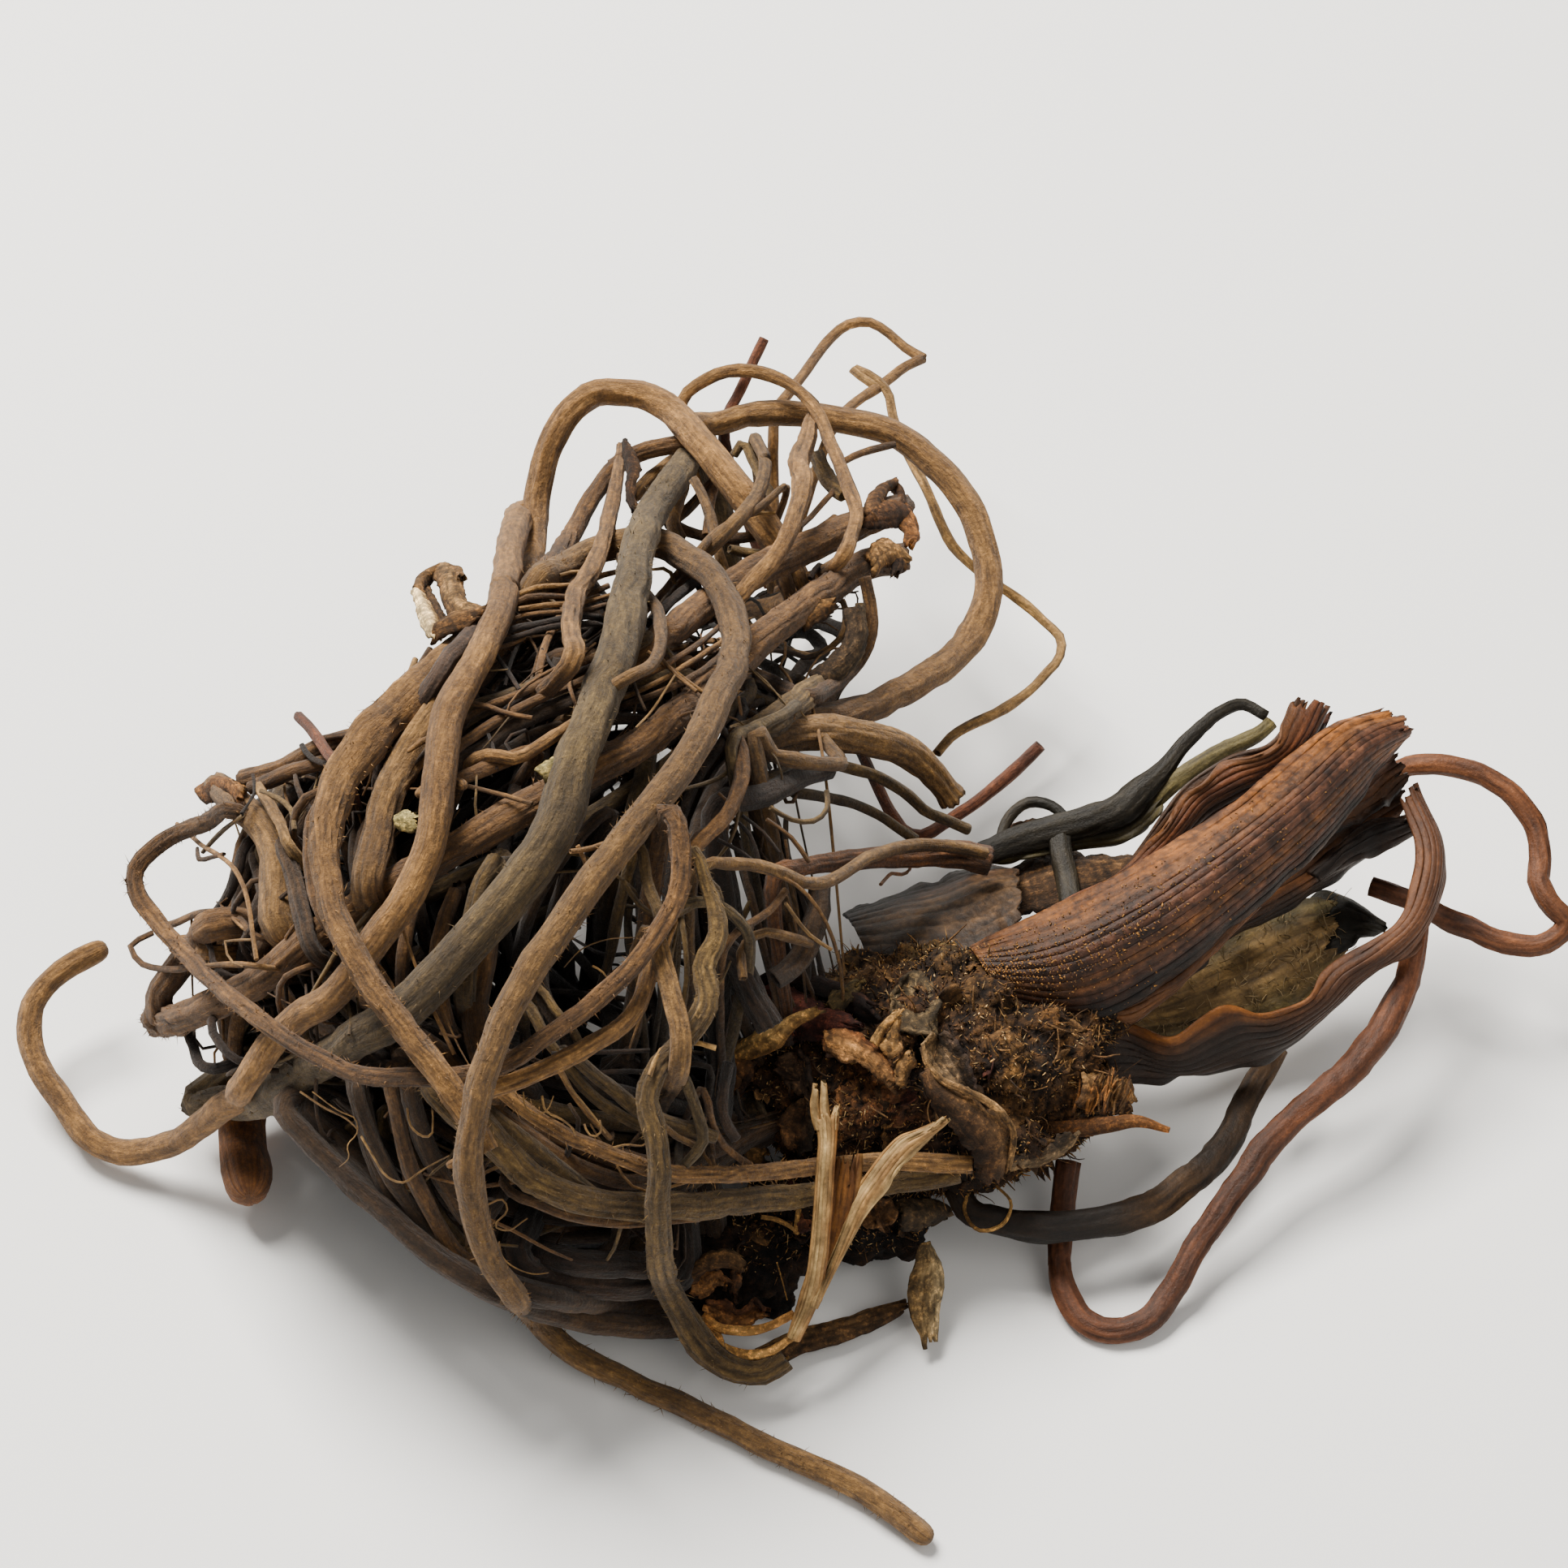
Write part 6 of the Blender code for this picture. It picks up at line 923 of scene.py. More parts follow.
def parted(laid, rounds=RELAX_ROUNDS, held=0):
    """The roots' lines with crossing roots moved apart: an outer root slides along its sight lines, and
    an inner one moves freely. The first held lines stay. Nothing sinks below the surface."""
    points = np.concatenate([line for spec, line in laid])
    sizes = [len(line) for spec, line in laid]
    owner = np.repeat(np.arange(len(laid)), sizes)
    half = np.concatenate([spread(spec["widths"], len(line)) * (1 + spec["flat"]) / 4 for spec, line in laid])
    traced = np.concatenate([np.full(len(line), bool(spec["marks"])) for spec, line in laid])
    eased = np.concatenate([ease_at_ends(spec, len(line)) for spec, line in laid])
    loose = owner >= held
    starts = np.cumsum([0] + sizes)
    near, far = (), ()
    for turn in range(rounds):
        if turn % 10 == 0:
            near, far = close_pairs(points, owner, PAIR_REACH)
        rays = points - EYE
        rays /= np.linalg.norm(rays, axis=1)[:, None]
        apart = points[near] - points[far]
        gap = np.linalg.norm(apart, axis=1) + 1e-9
        push = np.clip(half[near] + half[far] + CLEARANCE - gap, 0.0, 1.0) * 0.5
        shove = apart / gap[:, None] * (push * eased[near] * eased[far])[:, None]
        moves = np.zeros_like(points)
        np.add.at(moves, near, shove)
        np.add.at(moves, far, -shove)
        moves *= loose[:, None]
        along = np.sum(moves * rays, axis=1)
        along = np.where(np.abs(along) > 1e-9, np.sign(along) * np.linalg.norm(moves, axis=1), 0.0)
        moves = np.where(traced[:, None], rays * along[:, None], moves)
        for i in range(held, len(laid)):
            part = slice(starts[i], starts[i + 1])
            moves[part] = smoothed(moves[part], 2)
        points = points + np.clip(moves, -LONGEST_MOVE, LONGEST_MOVE)
        if turn % EVENING_TURNS == EVENING_TURNS - 1 or turn == rounds - 1:
            for i, (spec, line) in enumerate(laid):
                if i >= held and spec["marks"]:
                    part = slice(starts[i], starts[i + 1])
                    points[part] = evened_depth(points[part])
        points = above_surface(points, half, traced)
    return [(spec, points[starts[i]:starts[i + 1]]) for i, (spec, line) in enumerate(laid)]


def evened_depth(line):
    """A traced root's line with its distance from the eye evened, seen at the same marks as before."""
    rays = line - EYE
    far = np.linalg.norm(rays, axis=1)
    return EYE + rays * (smoothed(far) / far)[:, None]


def ease_at_ends(spec, count):
    """How far each point of a line takes part: none where it starts or ends inside another piece."""
    share = np.ones(count)
    if spec["start"] not in ("any", "cut"):
        share[:4] = 0.0
    if spec["end"] not in ("any", "cut"):
        share[-2:] = 0.0
    return share


def close_pairs(points, owner, reach):
    """Pairs of points of different roots that lie within reach."""
    near, far = [], []
    for i in range(0, len(points), 400):
        block = points[i:i + 400]
        gaps = np.linalg.norm(block[:, None] - points[None], axis=2)
        rows, columns = np.nonzero(gaps < reach)
        keep = (columns > rows + i) & (owner[columns] != owner[rows + i])
        near.append(rows[keep] + i)
        far.append(columns[keep])
    return np.concatenate(near), np.concatenate(far)


def above_surface(points, half, traced):
    """Points whose root would sink into the surface raised to lie on it."""
    low = half + 0.02
    rays = points - EYE
    raised = EYE + rays * ((low - EYE[2]) / rays[:, 2])[:, None]
    sunk = points[:, 2] < low
    lifted = np.where(traced[:, None], raised, np.column_stack((points[:, :2], low)))
    return np.where(sunk[:, None], lifted, points)


def nearest(line, point):
    """The point of a line nearest to a point."""
    return line[np.argmin(np.linalg.norm(line - point, axis=1))]


def direction(start, end):
    """Unit direction from one point to another."""
    return (end - start) / np.linalg.norm(end - start)


def run_in(end, before, target):
    """Points on the bend from a root's end, in its own direction, into the piece that it grows from."""
    reach = np.linalg.norm(target - end)
    way = direction(before, end) * reach * 0.5
    t = np.linspace(0.0, 1.0, max(3, int(reach / STEP) + 1))[1:, None]
    bend = (2 * t**3 - 3 * t**2 + 1) * end + (t**3 - 2 * t**2 + t) * way
    bend = bend + (3 * t**2 - 2 * t**3) * target + (t**3 - t**2) * (target - end)
    bend[:, 2] = np.maximum(bend[:, 2], LOWEST_RUN)
    return bend


def hidden_run(kind, end, before, roots):
    """How a root goes on out of sight from an end that isn't cut."""
    if kind == "cut":
        return np.zeros((0, 3))
    if kind in roots:
        return run_in(end, before, nearest(roots[kind], end))
    heart = np.array(RHIZOME_HEART, dtype=float) if kind == "rhizome" else spine_frame()[0]
    target = nearest(heart, end)
    if kind != "rhizome":
        target = end + (target - end) * min(1.0, 14.0 / (np.linalg.norm(target - end) + 1e-6))
    return run_in(end, before, target)


def with_hidden_ends(parts):
    """The roots' lines, run on into the tangle, the rhizome or another root where they aren't cut."""
    roots = {spec["name"]: line for spec, line in parts}
    whole = []
    for spec, line in parts:
        first = hidden_run(spec["start"], line[0], line[1], roots)[::-1]
        last = hidden_run(spec["end"], line[-1], line[-2], roots)
        whole.append((spec, unrepeated(np.concatenate((first, line, last)))))
    return whole


def bundle_strands():
    """The inner roots of the bundles, each a strand beside its bundle's middle line."""
    draw = np.random.default_rng(BUNDLE_SEED)
    strands = []
    for number, (marks, count, wide, widths, lifts) in enumerate(BUNDLES):
        middle = np.array(marks, dtype=float)
        along = np.gradient(middle, axis=0)
        side = np.column_stack((-along[:, 1], along[:, 0]))
        side /= np.linalg.norm(side, axis=1)[:, None]
        for k in range(count):
            shift = draw.uniform(-1.0, 1.0, 2) * wide
            offset = np.linspace(shift[0], shift[1] * 0.7 + shift[0] * 0.3, len(middle))
            offset = offset + draw.normal(0.0, wide * 0.2, len(middle))
            first = draw.integers(0, 2)
            last = len(middle) - draw.integers(0, 2)
            line = (middle + side * offset[:, None])[first:last]
            size = draw.uniform(*widths)
            depth = draw.uniform(*lifts)
            tone = (OLIVE, BROWN, INNER, INNER)[draw.integers(0, 4)]
            spec = root("strand_%02d_%02d" % (number, k), tuple(map(tuple, line)), (size, size * 0.95, size * 0.8),
                        tone,
                        flat=draw.uniform(0.6, 1.0), lift=depth, ribs=int(draw.integers(4, 8)), groove=0.25)
            strands.append((spec, curve_through(placed(spec))))
    return strands


def seen_strands():
    """The inner strands that the photo shows."""
    strands = []
    for number, (look, width, flat, lift, marks) in enumerate(STRANDS):
        first, last = ("any" if width > 0.45 and within_outline(seen(*mark, 5.0)[None])[0] else "cut"
                       for mark in (marks[0], marks[-1]))
        spec = root("seen_%03d" % number, marks, (width * 0.9, width, width * 0.95), look, flat, lift, first, last,
                    ribs=4 + int(width * 3.0), groove=0.32)
        strands.append((spec, curve_through(placed(spec))))
    return strands


def laid_roots():
    """Every root's record with its line, its crossings parted and its hidden ends run on."""
    laid = [(spec, curve_through(placed(spec))) for spec in ROOTS]
    draw = random.Random(FILLER_SEED)
    for number in range(FILLERS):
        laid.append(filler(number, draw))
    outer = parted(laid)
    extra = random.Random(EXTRA_SEED)
    inner = bundle_strands()
    for number in range(EXTRA_FILLERS):
        look = (INNER, OLIVE, BROWN)[number % 3]
        inner.append(filler(FILLERS + number, extra, look, (0.35, 0.98)))
    freed = [(spec | {"marks": ()}, line) for spec, line in inner]
    everything = parted(outer + seen_strands() + freed, 20, len(outer))
    calm = [(spec, line if spec["marks"] else settled(line)) for spec, line in everything]
    return [(spec, run if spec["marks"] else threaded(run)) for spec, run in with_hidden_ends(calm)]


def wander(draw, count, knots, size):
    """Smooth random values along a line."""
    knots = max(2, int(knots))
    values = draw.normal(0.0, size, knots)
    where = np.linspace(0.0, knots - 1.0, count)
    left = np.clip(where.astype(int), 0, knots - 2)
    t = (1.0 - np.cos(math.pi * (where - left))) / 2.0
    return values[left] * (1.0 - t) + values[left + 1] * t


def facing(line):
    """For each point of a line its direction, and the direction across it that faces the eye."""
    along = np.gradient(line, axis=0)
    along /= np.linalg.norm(along, axis=1)[:, None] + 1e-12
    look = EYE - line
    look /= np.linalg.norm(look, axis=1)[:, None]
    flat = look - along * np.sum(look * along, axis=1)[:, None]
    sizes = np.linalg.norm(flat, axis=1)
    normals = []
    last = None
    for i in range(len(line)):
        way = flat[i]
        if last is not None and sizes[i] < 0.35:
            way = last - along[i] * (last @ along[i])
        last = way / np.linalg.norm(way)
        normals.append(last)
    return along, np.array(normals)


class Pile:
    """Vertices, faces, colours and bark coordinates gathered for one piece."""

    def __init__(self):
        self.places, self.faces, self.paints, self.barks = [], [], [], []
        self.count = 0

    def add(self, places, faces, paints, barks):
        self.places.append(places)
        self.faces.extend([i + self.count for i in face] for face in faces)
        self.paints.append(paints)
        self.barks.append(barks)
        self.count += len(places)

    def made(self, name, finish, slot, *nodes):
        """The piece, with its material, riding on the root body and standing for its nodes."""
        data = bpy.data.meshes.new(name)
        data.from_pydata((np.concatenate(self.places) * MM).tolist(), [], self.faces)
        data.update()
        paint = data.color_attributes.new("paint", "FLOAT_COLOR", "POINT")
        colours = np.concatenate(self.paints)
        paint.data.foreach_set("color", np.column_stack((colours, np.ones(len(colours)))).ravel())
        bark = data.attributes.new("bark", "FLOAT_VECTOR", "POINT")
        bark.data.foreach_set("vector", np.concatenate(self.barks).ravel())
        data.polygons.foreach_set("use_smooth", np.ones(len(data.polygons), dtype=bool))
        data.materials.append(finish)
        piece = bpy.data.objects.new(name, data)
        bpy.context.scene.collection.objects.link(piece)
        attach(piece, "root")
        if nodes:
            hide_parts(*nodes)
        return piece


def ring_faces(rings, sides):
    """The faces between the rings of a tube, with a fan at each end to the two last points."""
    faces = []
    for i in range(rings - 1):
        a = i * sides
        for k in range(sides):
            j = (k + 1) % sides
            faces.append((a + k, a + j, a + sides + j, a + sides + k))
    first, last = rings * sides, rings * sides + 1
    top = (rings - 1) * sides
    for k in range(sides):
        j = (k + 1) % sides
        faces.append((first, j, k))
        faces.append((last, top + k, top + j))
    return faces


ROUND_TIP = ((0.30, 0.94), (0.52, 0.80), (0.66, 0.56), (0.72, 0.28))
TORN_TIP = ((0.10, 0.97), (0.06, 0.80), (-0.10, 0.62), (-0.22, 0.34))
HUSK_TIP = ((0.25, 1.12), (0.42, 1.16), (0.20, 0.92), (-0.35, 0.72), (-0.60, 0.30))
TIPS = {"round": ROUND_TIP, "torn": TORN_TIP, "husk": HUSK_TIP}
TIP_TONES = {"round": (1.0, 1.0), "torn": (1.0, 0.55), "husk": (1.15, 0.45)}


def tube(pile, line, widths, look, draw, sides, step, flat=1.0, ribs=7, groove=0.16, tips=("none", "none"), rough=1.0,
         depth_shaded=True, tones=(1.0,)):
    """A root or stalk on a line: ribbed, uneven, coloured along its ribs with painted shade in its grooves,
    optionally darkened with painted shade deep in the tangle, with closed ends.
    """
    fine = curve_through(line, step)
    count = len(fine)
    length = np.concatenate(((0.0,), np.cumsum(np.linalg.norm(np.diff(fine, axis=0), axis=1))))
    radius = spread(widths, count) / 2.0
    mean = float(np.mean(radius))
    for axis in range(3):
        fine[:, axis] += wander(draw, count, length[-1] / 2.2 + 2, 0.05 * mean * rough)
    swell = 1.0 + wander(draw, count, length[-1] / 4.0 + 3, 0.03 * rough)
    swell = swell + wander(draw, count, length[-1] / 0.8 + 3, 0.018)
    along, normals = facing(fine)
    side = np.cross(along, normals)
    angle = np.linspace(0.0, 2.0 * math.pi, sides, endpoint=False)[None, :]
    twist = draw.uniform(-0.05, 0.05) / max(mean, 0.3)
    phase = draw.uniform(0.0, 6.3) + twist * length + wander(draw, count, length[-1] / 6.0 + 3, 0.25)
    ridge = np.abs(np.sin(ribs / 2.0 * (angle + phase[:, None]))) ** 0.55
    drift = wander(draw, count, length[-1] / 5.0 + 3, 0.4)
    small = np.abs(np.sin((ribs + 1.5) * (angle + drift[:, None] - phase[:, None]))) ** 0.7
    fade = np.clip(0.75 + wander(draw, count, length[-1] / 4.0 + 3, 0.35), 0.2, 1.3)[:, None]
    fibre = np.stack([wander(draw, count, length[-1] / 4.0 + 3, 1.0) for _ in range(sides)], axis=1)
    fibre = np.clip(fibre, -2.0, 2.0) * min(1.0, groove * 3.5)
    reach = radius[:, None] * swell[:, None] * (1.0 - groove * fade * (1.0 - ridge) - 0.35 * groove * (1.0 - small))
    reach = reach * (1.0 + 0.045 * fibre)
    # Painted shade: the grooves between the ribs are darkened, with streaks of the root's own colour along its fibres
    depth = min(0.78, 0.12 + groove * 1.9)
    shade = (1.0 - depth + depth * ridge) * (0.75 + 0.25 * small) * (1.0 + 0.17 * fibre)
    blend = np.clip(0.5 + wander(draw, count, length[-1] / 7.0 + 3, 0.35), 0.0, 1.0)[:, None, None]
    colour = look[0] * (1.0 - blend) + look[1] * blend
    tone = draw.uniform(0.88, 1.12)
    colour = colour * shade[:, :, None] * tone * spread(tones, count)[:, None, None]
    spin = (np.cos(angle), np.sin(angle) * flat)
    around = side[:, None, :] * spin[0][:, :, None] + normals[:, None, :] * spin[1][:, :, None]
    rings = fine[:, None, :] + around * reach[:, :, None]
    seed = draw.uniform(0.0, 90.0)
    bark = np.stack((np.broadcast_to(length[:, None] * 0.22 + seed, reach.shape),
                     np.cos(angle) * radius[:, None], np.sin(angle) * radius[:, None]), axis=2)
    ends = []
    for at_end, kind in ((False, tips[0]), (True, tips[1])):
        here = -1 if at_end else 0
        way = along[here] if at_end else -along[here]
        for out, scale in TIPS.get(kind, ((0.05, 0.5),)):
            jag = draw.uniform(-0.25, 0.45, sides) if kind in ("torn", "husk") else np.zeros(sides)
            ring = fine[here] + around[here] * (reach[here] * scale)[:, None]
            ring = ring + way * (radius[here] * (out * 2.0 + jag * abs(out)))[:, None]
            bright, low = TIP_TONES.get(kind, (1.0, 0.8))
            tint = colour[here] * (low + (bright - low) * np.clip(scale, 0.0, 1.0) ** 3)
            ends.append((at_end, ring, tint, bark[here]))
    before = [end for end in ends if not end[0]][::-1]
    after = [end for end in ends if end[0]]
    places = np.concatenate([end[1][None] for end in before] + [rings] + [end[1][None] for end in after])
    paints = np.concatenate([end[2][None] for end in before] + [colour] + [end[2][None] for end in after])
    barks = np.concatenate([end[3][None] for end in before] + [bark] + [end[3][None] for end in after])
    caps = np.array((places[0].mean(axis=0), places[-1].mean(axis=0)))
    cap_paints = np.array((paints[0].mean(axis=0), paints[-1].mean(axis=0)))
    cap_barks = np.array((barks[0].mean(axis=0), barks[-1].mean(axis=0)))
    flat_places = np.concatenate((places.reshape(-1, 3), caps))
    flat_places[:, 2] = np.maximum(flat_places[:, 2], 0.0)
    # Painted shade: a root is darkened the deeper it lies in the tangle
    if depth_shaded:
        deep = 1.0 - DEEP_SHADE * inwardness(flat_places)[:, None]
        paints = paints * deep[:-2].reshape(len(paints), sides, 1)
        cap_paints = cap_paints * deep[-2:]
    pile.add(flat_places, ring_faces(len(places), sides), np.concatenate((paints.reshape(-1, 3), cap_paints)),
             np.concatenate((barks.reshape(-1, 3), cap_barks)))


def slab(pile, grid, thick, paint, seed=0.0, under=0.75):
    """A thin closed sheet: a grid of points with a thickness at each, its colours on one face and darkened by painted
    shade on the other.
    """
    rows, columns = grid.shape[:2]
    along = np.gradient(grid, axis=0)
    across = np.gradient(grid, axis=1)
    out = np.cross(along, across)
    out /= np.linalg.norm(out, axis=2)[:, :, None] + 1e-12
    half = np.broadcast_to(np.asarray(thick, dtype=float), (rows, columns))[:, :, None] / 2.0
    top = (grid + out * half).reshape(-1, 3)
    bottom = (grid - out * half).reshape(-1, 3)
    places = np.concatenate((top, bottom))
    places[:, 2] = np.maximum(places[:, 2], 0.0)
    cell = np.arange(rows * columns).reshape(rows, columns)
    a, b, c, d = cell[:-1, :-1], cell[:-1, 1:], cell[1:, 1:], cell[1:, :-1]
    upper = np.stack((a, d, c, b), axis=2).reshape(-1, 4)
    lower = np.stack((a, b, c, d), axis=2).reshape(-1, 4) + rows * columns
    rim = np.concatenate((cell[0, :], cell[1:, -1], cell[-1, -2::-1], cell[-2:0:-1, 0]))
    ahead = np.roll(rim, -1)
    edge = np.stack((rim, ahead, ahead + rows * columns, rim + rows * columns), axis=1)
    lengthwise, crosswise = grid[:, columns // 2], grid[rows // 2]
    lengths = np.cumsum(np.linalg.norm(np.diff(lengthwise, axis=0, prepend=lengthwise[:1]), axis=1))
    widths = np.cumsum(np.linalg.norm(np.diff(crosswise, axis=0, prepend=crosswise[:1]), axis=1))
    bark = np.stack((np.broadcast_to(lengths[:, None] * 0.22 + seed, (rows, columns)),
                     np.broadcast_to(widths[None, :], (rows, columns)), np.full((rows, columns), seed)), axis=2)
    bark = bark.reshape(-1, 3)
    colours = paint.reshape(-1, 3)
    # Painted shade: the second face gets the colours darkened by under
    pile.add(places, upper.tolist() + lower.tolist() + edge.tolist(), np.concatenate((colours, colours * under)),
             np.concatenate((bark, bark)))


def marked(marks, step=STEP):
    """Points on the smooth curve through marks that all have heights."""
    return curve_through(np.array([seen(*mark) for mark in marks]), step)


def sides_and_step(width):
    """How finely a root of a width is meshed: sides and the length of a step."""
    return next((sides, step) for least, sides, step in ROOT_MESHES if width > least)


def root_piles(laid):
    """The tubes of all roots: the outer, the inner and the filling ones."""
    piles = {"outer": Pile(), "inner": Pile(), "filling": Pile()}
    for number, (spec, line) in enumerate(laid):
        draw = np.random.default_rng(1000 + number)
        width = max(spec["widths"])
        sides, step = sides_and_step(width)
        name = "outer" if spec["marks"] else "filling"
        widths = np.array(spec["widths"])
        rough = 1.0
        if spec["name"].startswith("seen"):
            name = "inner"
            rough = 1.4
        if spec["name"].startswith("strand"):
            name = "inner"
            sides, step = max(6, int(sides * STRAND_MESH[0])), step * STRAND_MESH[1]
            rough = 1.5
        if name == "filling":
            sides, step = max(6, int(sides * FILLING_MESH[0])), step * FILLING_MESH[1]
            widths = widths * FILLING_MESH[2]
        tips = [spec["tips"] if kind == "cut" else "none" for kind in (spec["start"], spec["end"])]
        if spec["name"] == "grey_thick":
            tips[0] = "round"
        open_work = bool(spec["marks"]) and min(mark[1] for mark in spec["marks"]) < LATTICE_FOOT
        tube(piles[name], line, widths, spec["look"], draw, sides, step, spec["flat"], spec["ribs"],
             spec["groove"], tips, rough, not open_work, spec["tones"])
        if spec["name"] in FUZZY:
            fuzz(piles["inner"], line, widths, spec["flat"], spec["look"], draw)
    return piles


def slivers(pile, feet, ways, paints, half_width, seed):
    """Short three-sided slivers that stand on a surface."""
    draw = np.random.default_rng(seed)
    side = np.cross(ways, draw.normal(0.0, 1.0, ways.shape))
    side *= half_width / (np.linalg.norm(side, axis=1)[:, None] + 1e-9)
    third = np.cross(ways, side)
    third *= half_width * 1.4 / (np.linalg.norm(third, axis=1)[:, None] + 1e-9)
    places = np.stack((feet - side, feet + side, feet + third, feet + ways), axis=1).reshape(-1, 3)
    places[:, 2] = np.maximum(places[:, 2], 0.0)
    first = np.arange(len(feet))[:, None, None] * 4
    faces = (first + np.array(((0, 1, 3), (1, 2, 3), (2, 0, 3), (2, 1, 0)))[None]).reshape(-1, 3)
    pile.add(places, [tuple(face) for face in faces.tolist()], np.repeat(paints, 4, axis=0), places)


def fuzz(pile, line, widths, flat, look, draw):
    """Short fine hairs all over a strap."""
    fine = curve_through(line, 0.5)
    along, normals = facing(fine)
    side = np.cross(along, normals)
    half = spread(widths, len(fine)) / 2.0
    count = int(len(fine) * 0.5 * FUZZ_PER_MM)
    spots = draw.integers(1, len(fine) - 1, count)
    angle = draw.uniform(0.0, 2.0 * math.pi, count)[:, None]
    out = side[spots] * np.cos(angle) + normals[spots] * np.sin(angle) * flat
    feet = fine[spots] + along[spots] * draw.uniform(-0.3, 0.3, (count, 1)) + out * half[spots][:, None] * 0.9
    ways = out / np.linalg.norm(out, axis=1)[:, None] + along[spots] * draw.normal(0.0, 0.8, (count, 1))
    ways = (ways + draw.normal(0.0, 0.25, (count, 3))) * draw.uniform(0.2, 0.5, (count, 1))
    slivers(pile, feet, ways, look[0] * draw.uniform(0.9, 1.5, (count, 1)), 0.04, 41)


def curl_path(draw, start, way, length, bend, step=0.7):
    """A curly path that starts in a direction and keeps turning at random."""
    count = max(4, int(length / step))
    place = np.array(start, dtype=float)
    way = np.array(way, dtype=float)
    axis = draw.normal(0.0, 1.0, 3)
    points = [place.copy()]
    for _ in range(count):
        axis = axis * 0.85 + draw.normal(0.0, 1.0, 3) * 0.35
        turned = way + np.cross(axis, way) * bend * step
        way = turned / np.linalg.norm(turned)
        place = place + way * step
        points.append(place.copy())
    return np.array(points)


def kept_inside(points, share=0.97):
    """Points outside the tangle's domes drawn back to just under their skin."""
    centres = np.array([dome[0] for dome in TANGLE_DOMES])
    radii = np.array([dome[1] for dome in TANGLE_DOMES])
    apart = (points[:, None] - centres[None]) / radii[None]
    out = np.linalg.norm(apart, axis=2)
    best = np.argmin(out, axis=1)
    rows = np.arange(len(points))
    scale = np.minimum(1.0, share / out[rows, best])[:, None]
    return centres[best] + apart[rows, best] * radii[best] * scale


def inwardness(points):
    """How deep points lie in the tangle: 0 on its skin or outside, 1 well inside."""
    centres = np.array([dome[0] for dome in TANGLE_DOMES])
    radii = np.array([dome[1] for dome in TANGLE_DOMES])
    out = np.linalg.norm((points[:, None] - centres[None]) / radii[None], axis=2).min(axis=1)
    return np.clip((DEEP_FROM - out) / DEEP_SPAN, 0.0, 1.0)


def rootlets(pile, laid, seed, count, lengths, widths, bend, looks):
    """Fine curly roots that leave the bigger ones."""
    draw = np.random.default_rng(seed)
    low = np.array(cad_box[0]) / MM + 0.6
    high = np.array(cad_box[1]) / MM - 0.6
    for _ in range(count):
        line = laid[draw.integers(0, len(laid))][1]
        if len(line) < 5:
            continue
        spot = draw.integers(1, len(line) - 2)
        way = direction(line[spot - 1], line[spot + 1]) + draw.normal(0.0, 0.7, 3)
        way /= np.linalg.norm(way)
        path = curl_path(draw, line[spot], way, draw.uniform(*lengths), draw.uniform(*bend))
        path = cleared(drawn_in(kept_inside(np.clip(path, low, high))))
        path = unrepeated(path)
        if len(path) < 4:
            continue
        size = draw.uniform(*widths)
        look = looks[draw.integers(0, len(looks))]
        sides = 5 if size > 0.3 else 4
        tube(pile, path, (size, size * 0.9, size * 0.5), look, draw, sides, 1.2, 1.0, 4, 0.1)


def mound(mesh, centre, radii, rough):
    """A lump of the rhizome: an uneven ball on the mesh."""
    made = bmesh.ops.create_icosphere(mesh, subdivisions=3, radius=1.0)
    for vertex in made["verts"]:
        way = vertex.co.copy()
        place = Vector([way[i] * radii[i] for i in range(3)])
        place += way * rough * noise.fractal(place * 0.2 + Vector(centre), 1.0, 2.0, 3)
        place += Vector(centre)
        place.z = max(place.z, 0.15)
        vertex.co = place * MM


# Lumps that the eye sees on the rhizome: across, down, lift, size
MOUNDS = ((1235, 1312, -0.6, 2.4), (1278, 1318, -0.8, 2.2), (1292, 1268, -0.6, 1.9), (1210, 1232, -0.6, 1.8),
          (1165, 1200, -0.8, 2.2), (1060, 1360, -0.9, 2.4), (1110, 1350, -0.9, 2.0), (1060, 1190, -1.0, 1.6),
          (1320, 1300, -0.8, 2.2), (1340, 1350, -1.4, 2.2), (1190, 1400, -1.2, 2.0), (1030, 1400, -1.2, 1.8))
# Dark lumps under its front foot, those at the front darkened by painted shade: across, down, height, size
FOOT_MOUNDS = ((1122, 1190, 12.5, 1.5), (1200, 1188, 13.0, 1.2), (1160, 1178, 12.5, 1.2), (885, 1530, 3.0, 3.2),
               (935, 1560, 2.2, 3.0), (970, 1530, 2.6, 2.8), (860, 1580, 1.8, 2.6),
               (905, 1600, 1.2, 2.2), (955, 1600, 1.0, 1.8), (1060, 1530, 1.8, 1.8))
# Golden and mossy places on it: across, down, reach, strength, colour
PATCHES = ((1250, 1310, 2.6, 0.7, (112, 84, 46)), (1290, 1262, 2.0, 0.8, (118, 84, 42)),
           (1205, 1230, 1.8, 0.5, (84, 66, 38)), (1165, 1180, 2.6, 0.8, (92, 80, 44)),
           (1050, 1355, 2.8, 0.7, (124, 84, 50)), (1100, 1375, 2.2, 0.6, (104, 62, 42)),
           (1325, 1300, 2.4, 0.5, (84, 60, 34)), (1000, 1200, 3.5, 0.7, (84, 72, 42)))


# Small lumps strewn over the rhizome, its height of lumps, grain and pits, and its dark and light tone
SMALL_LUMPS = 60
LUMP_RISE, GRAIN_RISE, PIT_DEPTH = 0.16, 0.06, 0.35
BODY_DARK, BODY_LIGHT = rgb(20, 13, 8), rgb(72, 50, 30)
# Painted shade: across this the body's front goes dark, from this far forward
DARK_FRONT, DARK_FRONT_SPAN = -8.0, 3.0


